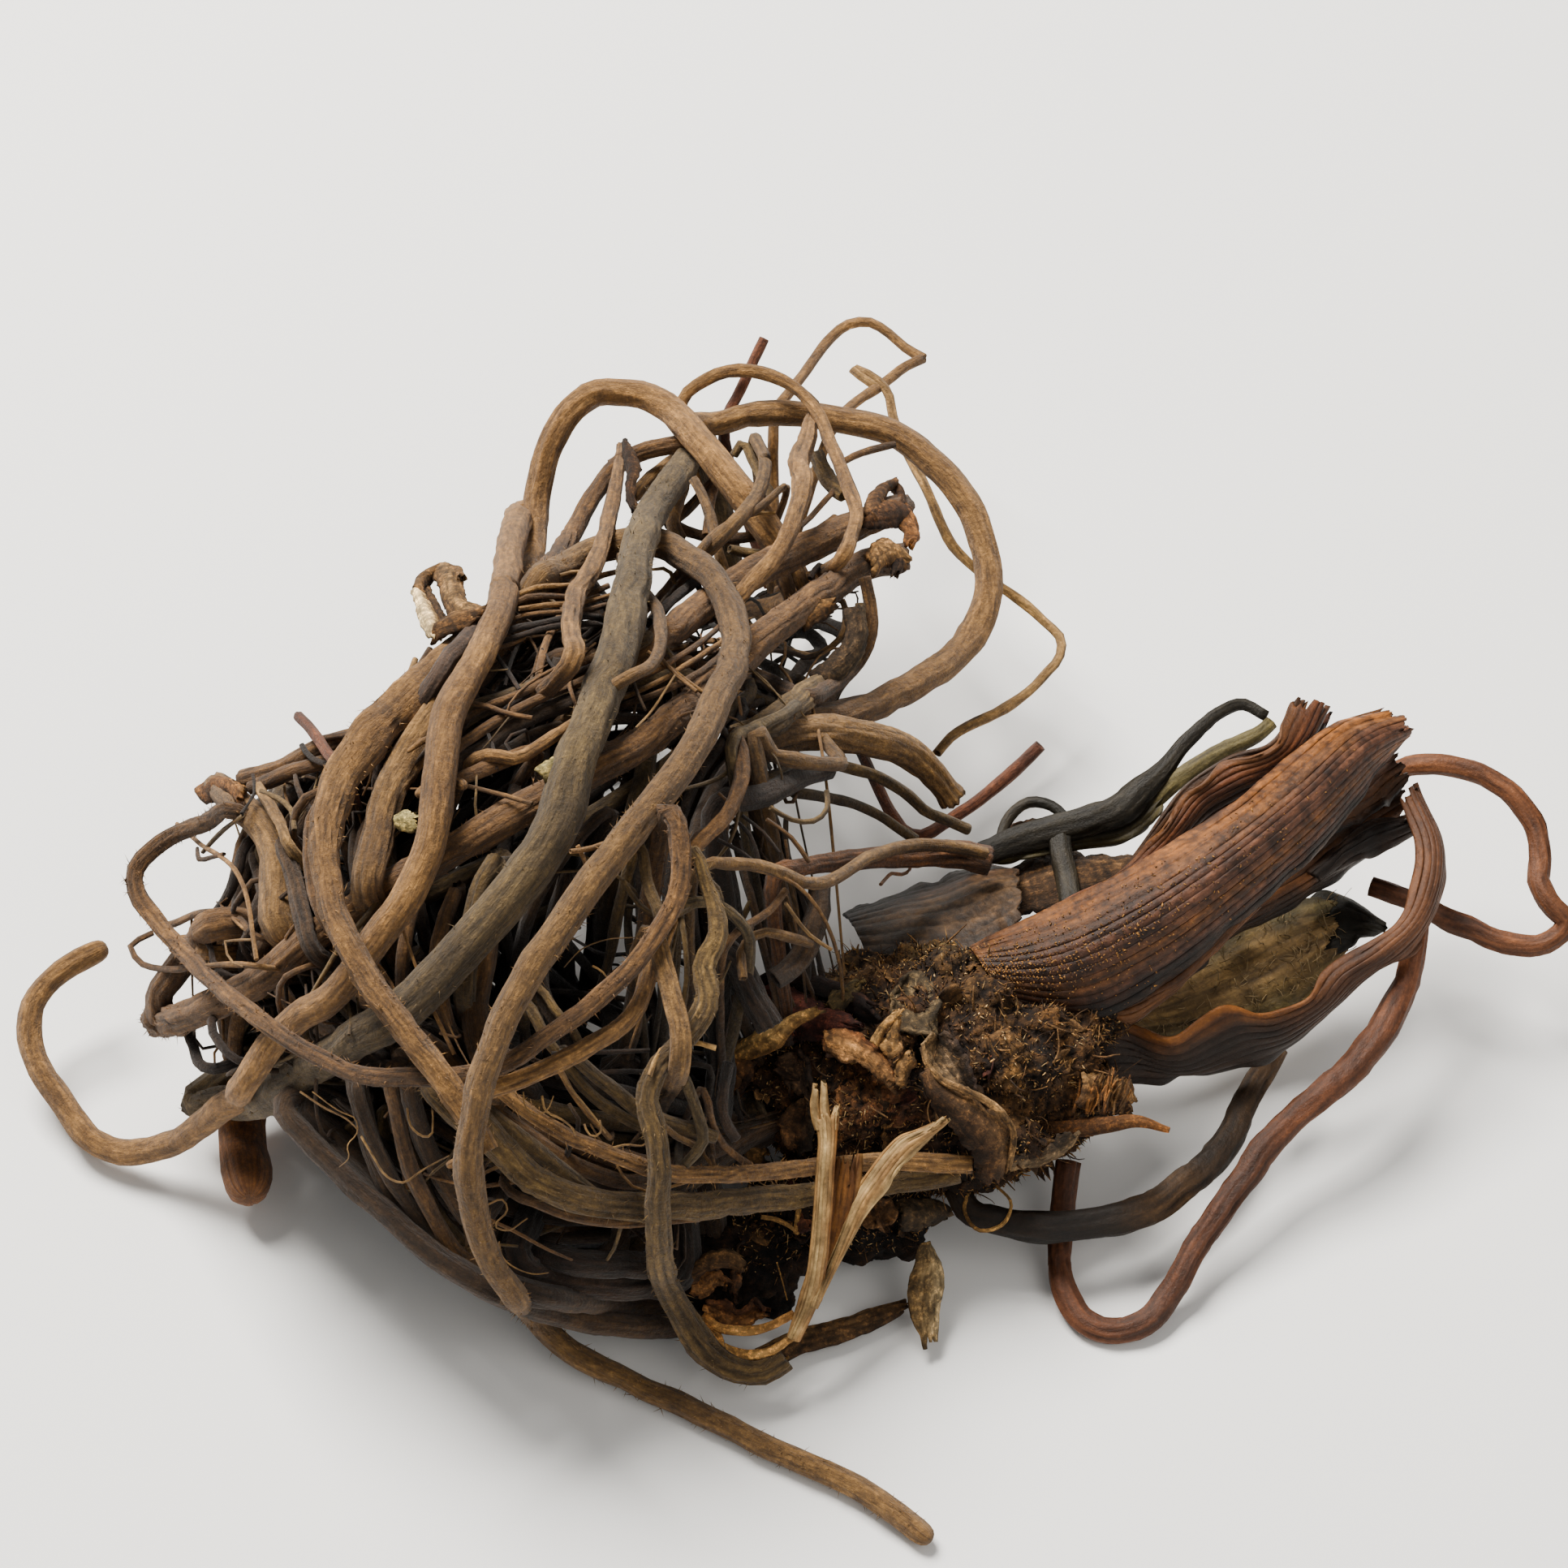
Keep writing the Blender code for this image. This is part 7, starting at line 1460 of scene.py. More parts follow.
def rhizome_body():
    """The rhizome's knobby body: lumps joined by a voxel remesh, then roughened."""
    draw = np.random.default_rng(77)
    mesh = bmesh.new()
    mound(mesh, RHIZOME_CENTRE, BODY_RADII, 1.3)
    mound(mesh, BODY_FOOT, BODY_FOOT_RADII, 1.0)
    mound(mesh, COLLAR_CENTRE, np.array(COLLAR_RADII) * 0.85, 0.8)
    for _ in range(SMALL_LUMPS):
        way = draw.normal(0.0, 1.0, 3)
        way /= np.linalg.norm(way)
        size = draw.uniform(0.7, 1.8)
        centre = np.array(RHIZOME_CENTRE) + way * np.array(BODY_RADII) * draw.uniform(0.84, 0.96)
        mound(mesh, centre, (size * draw.uniform(0.8, 1.6), size, size), 0.5)
    for across, down, lift, size in MOUNDS:
        mound(mesh, skin_point(across, down, lift - 0.5, BODY_DOMES), (size, size, size), 0.35)
    for across, down, height, size in FOOT_MOUNDS:
        mound(mesh, seen(across, down, height), (size, size, size * 0.8), 0.5)
    data = bpy.data.meshes.new("rhizome_lumps")
    mesh.to_mesh(data)
    mesh.free()
    thing = bpy.data.objects.new("rhizome_lumps", data)
    bpy.context.scene.collection.objects.link(thing)
    remesh = thing.modifiers.new("join", "REMESH")
    remesh.mode = "VOXEL"
    remesh.voxel_size = VOXEL * MM
    graph = bpy.context.evaluated_depsgraph_get()
    solid = bpy.data.meshes.new_from_object(thing.evaluated_get(graph))
    bpy.data.objects.remove(thing)
    count = len(solid.vertices)
    places = np.zeros(count * 3)
    solid.vertices.foreach_get("co", places)
    places = places.reshape(-1, 3) / MM
    normals = np.zeros(count * 3)
    solid.vertices.foreach_get("normal", normals)
    normals = normals.reshape(-1, 3)
    rough = np.array([noise.hetero_terrain(Vector(p) * 0.5, 0.9, 2.1, 5, 0.6) for p in places])
    fine = np.array([noise.fractal(Vector(p) * 1.7, 0.8, 2.0, 4) for p in places])
    pits = np.array([abs(noise.fractal(Vector(p) * 0.8 + Vector((9, 9, 9)), 1.0, 2.0, 3)) for p in places])
    rough = (rough - rough.mean()) / (rough.std() + 1e-9)
    fine = fine / (fine.std() + 1e-9)
    pit = np.clip(1.0 - pits / (pits.mean() * 0.8), 0.0, 1.0)
    above = np.clip(places[:, 2] / 1.5, 0.0, 1.0)
    rise = LUMP_RISE * np.clip(rough, -2, 2) + GRAIN_RISE * np.clip(fine, -2, 2) - PIT_DEPTH * pit
    places = places + normals * (rise * above)[:, None]
    places[:, 2] = np.maximum(places[:, 2], 0.0)
    faces = [tuple(face.vertices) for face in solid.polygons]
    bpy.data.meshes.remove(solid)
    # Painted shade: the body's colour goes dark in its pits
    level = np.clip(0.42 + 0.26 * rough + 0.2 * fine - 0.6 * pit, 0.0, 1.0)[:, None]
    colour = BODY_DARK * (1.0 - level) + BODY_LIGHT * level
    for across, down, reach, share, tone in PATCHES:
        gap = np.linalg.norm(places - skin_point(across, down, 0.0, BODY_DOMES), axis=1)
        near = np.exp(-(gap / reach) ** 2)[:, None] * share * np.clip(level * 1.7, 0.0, 1.0)
        colour = colour * (1.0 - near) + rgb(*tone) * near * (0.4 + 0.8 * level)
    # Painted shade: the body's front is darkened
    front = np.clip((DARK_FRONT - places[:, 1]) / DARK_FRONT_SPAN, 0.0, 0.75)[:, None]
    colour = colour * (1.0 - front)
    return places, normals, faces, colour


def flake(draw, place, normal, way, long, wide, curl, cup, look, pile):
    """A torn scale that stands on a surface: curled along its length, cupped across, ragged at its tip."""
    thick, rows, columns = 0.16, 7, 6
    side = np.cross(normal, way)
    side /= np.linalg.norm(side)
    u = np.linspace(0.0, 1.0, rows)[:, None]
    v = np.linspace(-1.0, 1.0, columns)[None, :]
    jag = 1.0 + draw.normal(0.0, 0.16, columns)[None, :] * u**2
    breadth = wide / 2.0 * (0.7 + 0.5 * np.sin(np.pi * np.clip(u * 0.8 + 0.12, 0, 1))) * (1.0 - 0.12 * u**3)
    bend = curl * u * jag
    forward = long * u * jag * np.sinc(bend / math.pi / 1.6)
    rise = long * u * jag * np.sin(np.clip(bend, -2.2, 2.2)) * 0.6
    rise = rise + cup * wide * 0.35 * v**2 + draw.normal(0.0, 0.05)
    rise = rise + 0.12 * np.sin(v * 5.0 + u * 4.0 + draw.uniform(0, 6))
    grid = place + way * forward[:, :, None] + side * (breadth * v)[:, :, None] + normal * rise[:, :, None]
    stripe = 0.8 + 0.2 * np.sin(v * draw.uniform(6.0, 14.0) + draw.uniform(0, 6))
    level = np.clip(u * 0.9 + draw.normal(0.0, 0.08, (rows, columns)), 0.0, 1.0)[:, :, None]
    paint = (look[1] * (1.0 - level) + look[0] * level) * stripe[:, :, None]
    slab(pile, grid, thick * (1.0 - 0.5 * u), paint, draw.uniform(0, 50), 0.7)


# The rhizome: size of its remesh, and how many small flakes, fibres, crumbs and slivers of meal stand on it
VOXEL = 0.3
FLAKES = 130
FINE_FIBRES = 420
CRUMBS = 3000
MEAL = 9500
FLAKE_LOOKS = (
    (rgb(112, 84, 52), rgb(48, 34, 22)), (rgb(84, 62, 40), rgb(34, 24, 16)), (rgb(136, 104, 66), rgb(62, 44, 28)),
    (rgb(84, 46, 36), rgb(32, 20, 16)), (rgb(62, 44, 30), rgb(26, 18, 13)), (rgb(146, 98, 50), rgb(70, 46, 26)),
)
CRUMB_LOOKS = (rgb(150, 116, 70), rgb(112, 82, 48), rgb(84, 60, 38), rgb(62, 44, 30), rgb(176, 150, 108),
               rgb(44, 30, 22))


def on_body(marks, lift, domes=BODY_DOMES):
    """Marks with the heights of the rhizome's skin, or the tangle's, raised by lift."""
    heights = smoothed(np.array([skin_point(a, d, lift, domes)[2] for a, d in marks]), 1)
    return tuple((a, d, height) for (a, d), height in zip(marks, heights))


def torn_sheet(pile, far, near, crown, thick, veins, tones, seed, crumble):
    """A small torn scale between two edges, with crumbly margins."""
    stops = tuple(zip((0.0, 0.5, 1.0), (rgb(*tone) for tone in tones)))
    leaf(pile, far, near, crown, stops, veins, seed, rows=30, columns=15, thick=thick, wave=crumble, ragged=0.4,
         depth=0.07, crumble=crumble)


def rhizome_pieces():
    """The rhizome's body, and the scales, fibres and grains that stand on it."""
    places, normals, faces, colour = rhizome_body()
    body, scales, fibres, flour = Pile(), Pile(), Pile(), Pile()
    body.add(places, faces, colour, places * 0.6)
    for number, (name, lift, crown, thick, veins, tones, far, near) in enumerate(SHEETS):
        torn_sheet(scales, on_body(far, lift), on_body(near, lift), crown, thick, veins, tones, 200 + number,
                   SMOOTH_CRUMBLE if name in SMOOTH_SHEETS else SCALE_CRUMBLE)
    for number, (name, crown, thick, veins, tones, far, near) in enumerate(LOOSE_SHEETS):
        torn_sheet(scales, far, near, crown, thick, veins, tones, 260 + number,
                   SMOOTH_CRUMBLE if name in SMOOTH_SHEETS else SCALE_CRUMBLE)
    for number, (_, lift, crown, thick, veins, tones, far, near) in enumerate(HUSK_SHEETS):
        edges = [on_body(edge, lift, TANGLE_DOMES) for edge in (far, near)]
        torn_sheet(scales, *edges, crown, thick, veins, tones, 290 + number, HUSK_CRUMBLE)
    draw = np.random.default_rng(5)
    spots = np.nonzero((places[:, 2] > 4.0) & (places[:, 0] > -13.0))[0]
    for _ in range(FLAKES):
        spot = spots[draw.integers(0, len(spots))]
        normal = normals[spot] + draw.normal(0.0, 0.25, 3)
        normal /= np.linalg.norm(normal)
        lean = np.array((0.9, 0.1, 0.15)) * (1.0 if places[spot][0] > 2.0 else -0.6) + draw.normal(0.0, 0.6, 3)
        way = lean - normal * (lean @ normal)
        way /= np.linalg.norm(way)
        flake(draw, places[spot] - normal * 0.3, normal, way, draw.uniform(0.7, 2.0), draw.uniform(0.8, 2.2),
              draw.uniform(-0.2, 0.7), draw.uniform(-0.8, 0.8), FLAKE_LOOKS[draw.integers(0, 5)], scales)
    for _ in range(FINE_FIBRES):
        spot = spots[draw.integers(0, len(spots))]
        way = normals[spot] + draw.normal(0.0, 0.9, 3)
        way /= np.linalg.norm(way)
        path = curl_path(draw, places[spot] - normals[spot] * 0.2, way, draw.uniform(0.8, 3.2),
                         draw.uniform(0.2, 1.0), 0.35)
        path[:, 2] = np.maximum(path[:, 2], 0.2)
        size = draw.uniform(0.06, 0.18)
        tube(fibres, path, (size, size, size * 0.5), FLAKE_LOOKS[draw.integers(0, 3)], draw, 4, 0.5, 1.0, 4, 0.1)
    for marks, size in zip(FIBRES, FIBRE_WIDTHS):
        look = STRAW if size > 0.45 else PALE
        tube(fibres, marked(marks, 0.5), (size, size, size * 0.7), look, draw, 8, 0.4, 0.6, 4, 0.25, depth_shaded=False)
    crumbs = spots[draw.integers(0, len(spots), CRUMBS)]
    grains(fibres, places[crumbs] + normals[crumbs] * 0.03, 17, CRUMB_LOOKS, (0.03, 0.1))
    meal = spots[draw.integers(0, len(spots), MEAL)]
    ways = normals[meal] * 0.5 + draw.normal(0.0, 0.7, (len(meal), 3))
    paints = np.array(CRUMB_LOOKS)[draw.integers(0, len(CRUMB_LOOKS), len(meal))]
    slivers(flour, places[meal], ways * draw.uniform(0.2, 0.55, (len(meal), 1)), paints, 0.06, 31)
    brush(fibres)
    return {"rhizome": body, "rhizome_scales": scales, "rhizome_fibres": fibres, "rhizome_meal": flour}


BRUSH_FIBRES = 60


def brush(pile):
    """The frayed brush of fibres and the twig tip at the rhizome's right end."""
    draw = np.random.default_rng(15)
    for _ in range(BRUSH_FIBRES):
        across = draw.uniform(1328, 1394)
        foot = seen(across - draw.uniform(0, 14), 1366 + draw.uniform(-12, 8), 11.6)
        tip = seen(across + draw.uniform(-6, 8), 1326 + draw.uniform(-12, 14), 12.6 + draw.uniform(-0.6, 1.0))
        middle = (foot + tip) / 2 + draw.normal(0.0, 0.2, 3)
        size = draw.uniform(0.12, 0.34)
        tube(pile, curve_through(np.array((foot, middle, tip)), 0.5), (size, size * 0.9, size * 0.5),
             FLAKE_LOOKS[(0, 2, 5)[draw.integers(0, 3)]], draw, 5, 0.45, 0.7, 4, 0.2)
    line = marked(((1262, 1392, 9.5), (1310, 1390, 10.2), (1360, 1386, 11.0), (1400, 1382, 11.8),
                   (1440, 1392, 12.0)), 0.5)
    tube(pile, line, (1.6, 1.5, 1.4, 1.0, 0.5), (rgb(150, 98, 48), rgb(84, 58, 34)), draw, 16, 0.4, 0.8, 7, 0.3,
         ("none", "torn"), tones=(0.35, 0.45, 0.5, 0.9, 1.4))


def leaf(pile, far, near, crown, stops, veins, seed, rows=108, columns=44, thick=0.42, wave=0.5, ragged=1.6,
         shift=0.0, shrink=0.0, depth=0.16, tones=(1.0,), crumble=0.0, tip=None):
    """A dry leaf base: a veined sheet between its two edges, waved at its margins and ragged at its tip.
    stops are the colours across it, from the far edge to the near one, and tones are shades along it."""
    draw = np.random.default_rng(seed)
    edges = []
    for marks in (far, near):
        line = marked(marks, 0.2)
        where = np.linspace(0, len(line) - 1, rows)
        edges.append(np.stack([np.interp(where, np.arange(len(line)), line[:, k]) for k in range(3)], axis=1))
    across = edges[1] - edges[0]
    along = np.gradient(edges[0] + edges[1], axis=0)
    out = np.cross(along, across)
    out *= np.sign(np.sum(out * (EYE - edges[0]), axis=1))[:, None]
    out /= np.linalg.norm(out, axis=1)[:, None]
    ways = along / np.linalg.norm(along, axis=1)[:, None]
    v = np.linspace(shrink, 1.0 - shrink, columns)[None, :]
    u = np.linspace(0.0, 1.0, rows)[:, None]
    wide = float(np.mean(np.linalg.norm(across, axis=1)))
    drift = wander(draw, rows, 7, 0.25)[:, None] + 0.35 * wander(draw, columns, 9, 1.0)[None, :]
    vein = np.abs(np.sin(math.pi * veins * v + drift)) ** 0.6
    fold = np.sin(math.pi * veins * 0.23 * v + wander(draw, rows, 5, 0.8)[:, None] + seed)
    margin = np.abs(2.0 * v - 1.0) ** 4
    ripple = wander(draw, rows, rows / 9, 1.0)[:, None] * np.where(v < 0.5, 1.0, 0.0)
    ripple = ripple + wander(draw, rows, rows / 7, 1.0)[:, None] * np.where(v >= 0.5, 1.0, 0.0)
    rise = crown * np.sin(math.pi * v) + depth * (vein - 0.6) + wide / 60.0 * fold
    rise = rise + wave * margin * ripple + shift
    grid = edges[0][:, None] + across[:, None] * v[:, :, None] + out[:, None] * rise[:, :, None]
    tear = wander(draw, columns, 12, ragged)[None, :] + draw.normal(0.0, ragged * 0.2, columns)[None, :]
    grid = grid + ways[:, None] * (np.minimum(tear, 0.6) * np.clip(u * 4.0 - 3.0, 0.0, 1.0) ** 1.5)[:, :, None]
    places = np.array([stop[0] for stop in stops])
    where = np.clip(v + 0.04 * wander(draw, rows, 20, 1.0)[:, None], 0.0, 1.0)
    paint = np.stack([np.interp(where, places, [stop[1][k] for stop in stops]) for k in range(3)], axis=2)
    streak = 0.82 + 0.25 * wander(draw, columns, columns * 0.8, 0.5)[None, :]
    streak = streak + 0.1 * wander(draw, rows, 14, 1.0)[:, None]
    if tip is not None:
        share = np.clip((np.linspace(0.0, 1.0, rows) - tip[1]) / 0.25, 0.0, 0.85)[:, None, None]
        paint = paint * (1.0 - share) + tip[0] * share
    # Painted shade in the furrows between the veins, with streaks of the leaf's own colour
    paint = paint * (np.clip(streak, 0.45, 1.35) * (0.55 + 0.45 * vein))[:, :, None]
    paint = paint * spread(tones, rows)[:, None, None]
    if crumble:
        grid, shade = crumbled(grid, np.abs(2.0 * v - 1.0), crumble, draw)
        paint = paint * shade[:, :, None]
    slab(pile, grid, thick * (1.0 - 0.45 * margin) * np.ones((rows, 1)), paint, seed * 3.1, 0.8)
    return grid


def crumbled(grid, margin, size, draw):
    """A sheet's points moved unevenly, most at its margins, and a shade that goes with each."""
    noise.seed_set(CRUMBLE_SEED)
    places = grid.reshape(-1, 3)
    coarse = np.array([noise.noise_vector(Vector(p) * 0.9) for p in places]).reshape(grid.shape)
    fine = np.array([noise.noise_vector(Vector(p) * 2.6) for p in places]).reshape(grid.shape)
    grit = draw.normal(0.0, 0.05, grid.shape[:2])
    share = (0.5 + 1.1 * margin**2)[:, :, None]
    moved = grid + (coarse * 1.1 + fine * 0.7) * size * share + grit[:, :, None] * size
    shade = np.clip(0.95 + 0.7 * coarse[:, :, 0] + 0.9 * fine[:, :, 1] + 3.0 * grit, 0.4, 1.5)
    return moved, shade


def grains(pile, spots, seed, looks, sizes=(0.07, 0.2)):
    """Mealy grains that lie on a surface: small uneven splinters and lumps."""
    draw = np.random.default_rng(seed)
    shape = np.array(((1, 0, 0), (-1, 0, 0), (0, 1, 0), (0, -1, 0), (0, 0, 1), (0, 0, -1)), dtype=float)
    faces = ((0, 2, 4), (2, 1, 4), (1, 3, 4), (3, 0, 4), (2, 0, 5), (1, 2, 5), (3, 1, 5), (0, 3, 5))
    for spot in spots:
        size = draw.uniform(*sizes)
        way = draw.normal(0.0, 1.0, 3)
        way /= np.linalg.norm(way)
        body = shape * size * draw.uniform(0.6, 1.4, (6, 1))
        body = spot + body + np.outer(body @ way, way) * draw.uniform(0.0, 2.6)
        body[:, 2] = np.maximum(body[:, 2], 0.0)
        look = looks[draw.integers(0, len(looks))]
        pile.add(body, faces, np.repeat(look[None], 6, axis=0), body)


def node(tree, kind, **inputs):
    """A shader node with values on its sockets."""
    made = tree.nodes.new(kind)
    for name, value in inputs.items():
        if name in made.inputs:
            made.inputs[name].default_value = value
        else:
            setattr(made, name, value)
    return made


def toned(tree, colour, pattern, low, high, share=1.0):
    """A colour multiplied by a pattern's shades: low and high are a place on the pattern and its shade."""
    ramp = tree.nodes.new("ShaderNodeValToRGB")
    for element, (place, shade) in zip(ramp.color_ramp.elements, (low, high)):
        element.position = place
        element.color = (*shade, 1.0)
    mix = node(tree, "ShaderNodeMix", data_type="RGBA", blend_type="MULTIPLY")
    mix.inputs["Factor"].default_value = share
    tree.links.new(pattern.outputs["Fac"], ramp.inputs["Fac"])
    tree.links.new(colour, mix.inputs["A"])
    tree.links.new(ramp.outputs["Color"], mix.inputs["B"])
    return mix.outputs["Result"]


def dry_material(name, roughness, grain, relief, speckle, dust, sheen=0.0, patchy=0.8):
    """A dry plant surface: the piece's own colours with streaks, blotches and dust, and a fine relief."""
    finish = bpy.data.materials.new(name)
    finish.use_nodes = True
    tree = finish.node_tree
    shader = tree.nodes["Principled BSDF"]
    shader.inputs["Roughness"].default_value = roughness
    shader.inputs["Specular IOR Level"].default_value = 0.25
    shader.inputs["Sheen Weight"].default_value = sheen
    shader.inputs["Sheen Roughness"].default_value = 0.6
    paint = tree.nodes.new("ShaderNodeAttribute")
    paint.attribute_name = "paint"
    bark = tree.nodes.new("ShaderNodeAttribute")
    bark.attribute_name = "bark"
    streak = node(tree, "ShaderNodeTexNoise", Scale=grain, Detail=6.0, Roughness=0.66)
    tree.links.new(bark.outputs["Vector"], streak.inputs["Vector"])
    place = tree.nodes.new("ShaderNodeTexCoord")
    blotch = node(tree, "ShaderNodeTexNoise", Scale=620.0, Detail=7.0, Roughness=0.72)
    tree.links.new(place.outputs["Object"], blotch.inputs["Vector"])
    crumb = node(tree, "ShaderNodeTexNoise", Scale=2700.0, Detail=4.0, Roughness=0.75)
    tree.links.new(place.outputs["Object"], crumb.inputs["Vector"])
    colour = toned(tree, paint.outputs["Color"], streak, (0.38, (0.58, 0.55, 0.52)), (0.64, (1.34, 1.32, 1.30)))
    colour = toned(tree, colour, blotch, (0.36, (0.60, 0.56, 0.52)), (0.62, (1.26, 1.24, 1.20)), patchy)
    colour = toned(tree, colour, crumb, (0.5, (0.88, 0.87, 0.86)), (0.66, 1.0 + speckle * np.array(dust)))
    tree.links.new(colour, shader.inputs["Base Color"])
    sum_up = node(tree, "ShaderNodeMath", operation="MULTIPLY_ADD")
    sum_up.inputs[1].default_value = 0.8
    tree.links.new(crumb.outputs["Fac"], sum_up.inputs[0])
    tree.links.new(streak.outputs["Fac"], sum_up.inputs[2])
    bump = node(tree, "ShaderNodeBump", Strength=relief, Distance=0.00025)
    tree.links.new(sum_up.outputs[0], bump.inputs["Height"])
    tree.links.new(bump.outputs["Normal"], shader.inputs["Normal"])
    return finish


# Rootlets of the outer and the inner roots: seed, count, lengths, widths, bend, colours
OUTER_ROOTLETS = (301, 130, (5.0, 16.0), (0.16, 0.4), (0.05, 0.3), (BROWN, TAN, OLIVE))
INNER_ROOTLETS = (302, 320, (6.0, 20.0), (0.2, 0.6), (0.03, 0.25), (BROWN, OLIVE, INNER))


def build_roots(bark):
    """The roots with their rootlets and curly hairs."""
    laid = laid_roots()
    for name, pile in root_piles(laid).items():
        pile.made("roots_" + name, bark, "root_bark", "rhizome_and_roots")
    hairs = Pile()
    draw = np.random.default_rng(300)
    for marks in HAIRS:
        line = curve_through(placed(root("hair", marks, (0.2,), lift=0.8)), 0.5)
        size = draw.uniform(0.1, 0.2)
        tube(hairs, line, (size, size, size * 0.7), PALE, draw, 5, 0.4, 1.0, 4, 0.1, depth_shaded=False)
    inner = [entry for entry in laid if entry[0]["name"].startswith("strand")]
    rootlets(hairs, laid[:len(ROOTS)], *OUTER_ROOTLETS)
    rootlets(hairs, inner, *INNER_ROOTLETS)
    hairs.made("rootlets", bark, "root_bark", "rhizome_and_roots")


def build_rhizome(crumbly):
    """The rhizome's body with its scales, fibres and meal."""
    for name, pile in rhizome_pieces().items():
        pile.made(name, crumbly, "root_bark", "rhizome_and_roots")


# Colours of the leaf bases
AMBER, SADDLE, PLUM = rgb(138, 84, 32), rgb(106, 67, 33), rgb(84, 54, 38)
UMBER, SOOT = rgb(60, 40, 25), rgb(27, 19, 14)
WOOL, MOSS = rgb(160, 130, 82), rgb(104, 92, 54)
# Colour stops across each leaf base, from its far edge at 0 to its near edge at 1
BROAD_PAINT = ((0.0, AMBER), (0.1, AMBER * 0.9), (0.2, SADDLE), (0.32, PLUM), (0.55, PLUM), (0.66, SADDLE),
               (0.8, PLUM), (0.92, SOOT), (1.0, UMBER))
FOLDED_PAINT = ((0.0, SADDLE), (0.3, RUSSET[0]), (0.55, UMBER), (0.8, RUSSET[1]), (1.0, SOOT))
INNER_PAINT = ((0.0, SADDLE), (0.2, UMBER), (0.45, AMBER * 0.7), (0.7, UMBER), (1.0, SOOT))
INNER_END_PAINT = ((0.0, SADDLE), (0.4, PLUM), (0.7, SADDLE * 0.8), (1.0, SOOT))
WOOLLY_PAINT = ((0.0, MOSS * 0.6), (0.15, MOSS), (0.4, WOOL), (0.7, WOOL * 0.8), (1.0, MOSS))
WAVED_PAINT = ((0.0, AMBER), (0.07, AMBER), (0.15, SADDLE * 0.9), (0.26, UMBER * 0.8), (0.55, UMBER * 0.55),
               (0.8, UMBER * 0.7), (1.0, UMBER * 0.5))
PAPERY_PAINT = ((0.0, SOOT), (0.3, rgb(66, 46, 30)), (0.6, rgb(100, 76, 50)), (1.0, rgb(60, 44, 30)))
WEB_PAINT = ((0.0, rgb(30, 28, 20)), (0.5, rgb(52, 46, 32)), (1.0, rgb(84, 76, 44)))
# Golden flecks on the broad leaf base, and hairs on the woolly one
GOLD_FLECKS = 1600
WOOL_HAIRS = 420


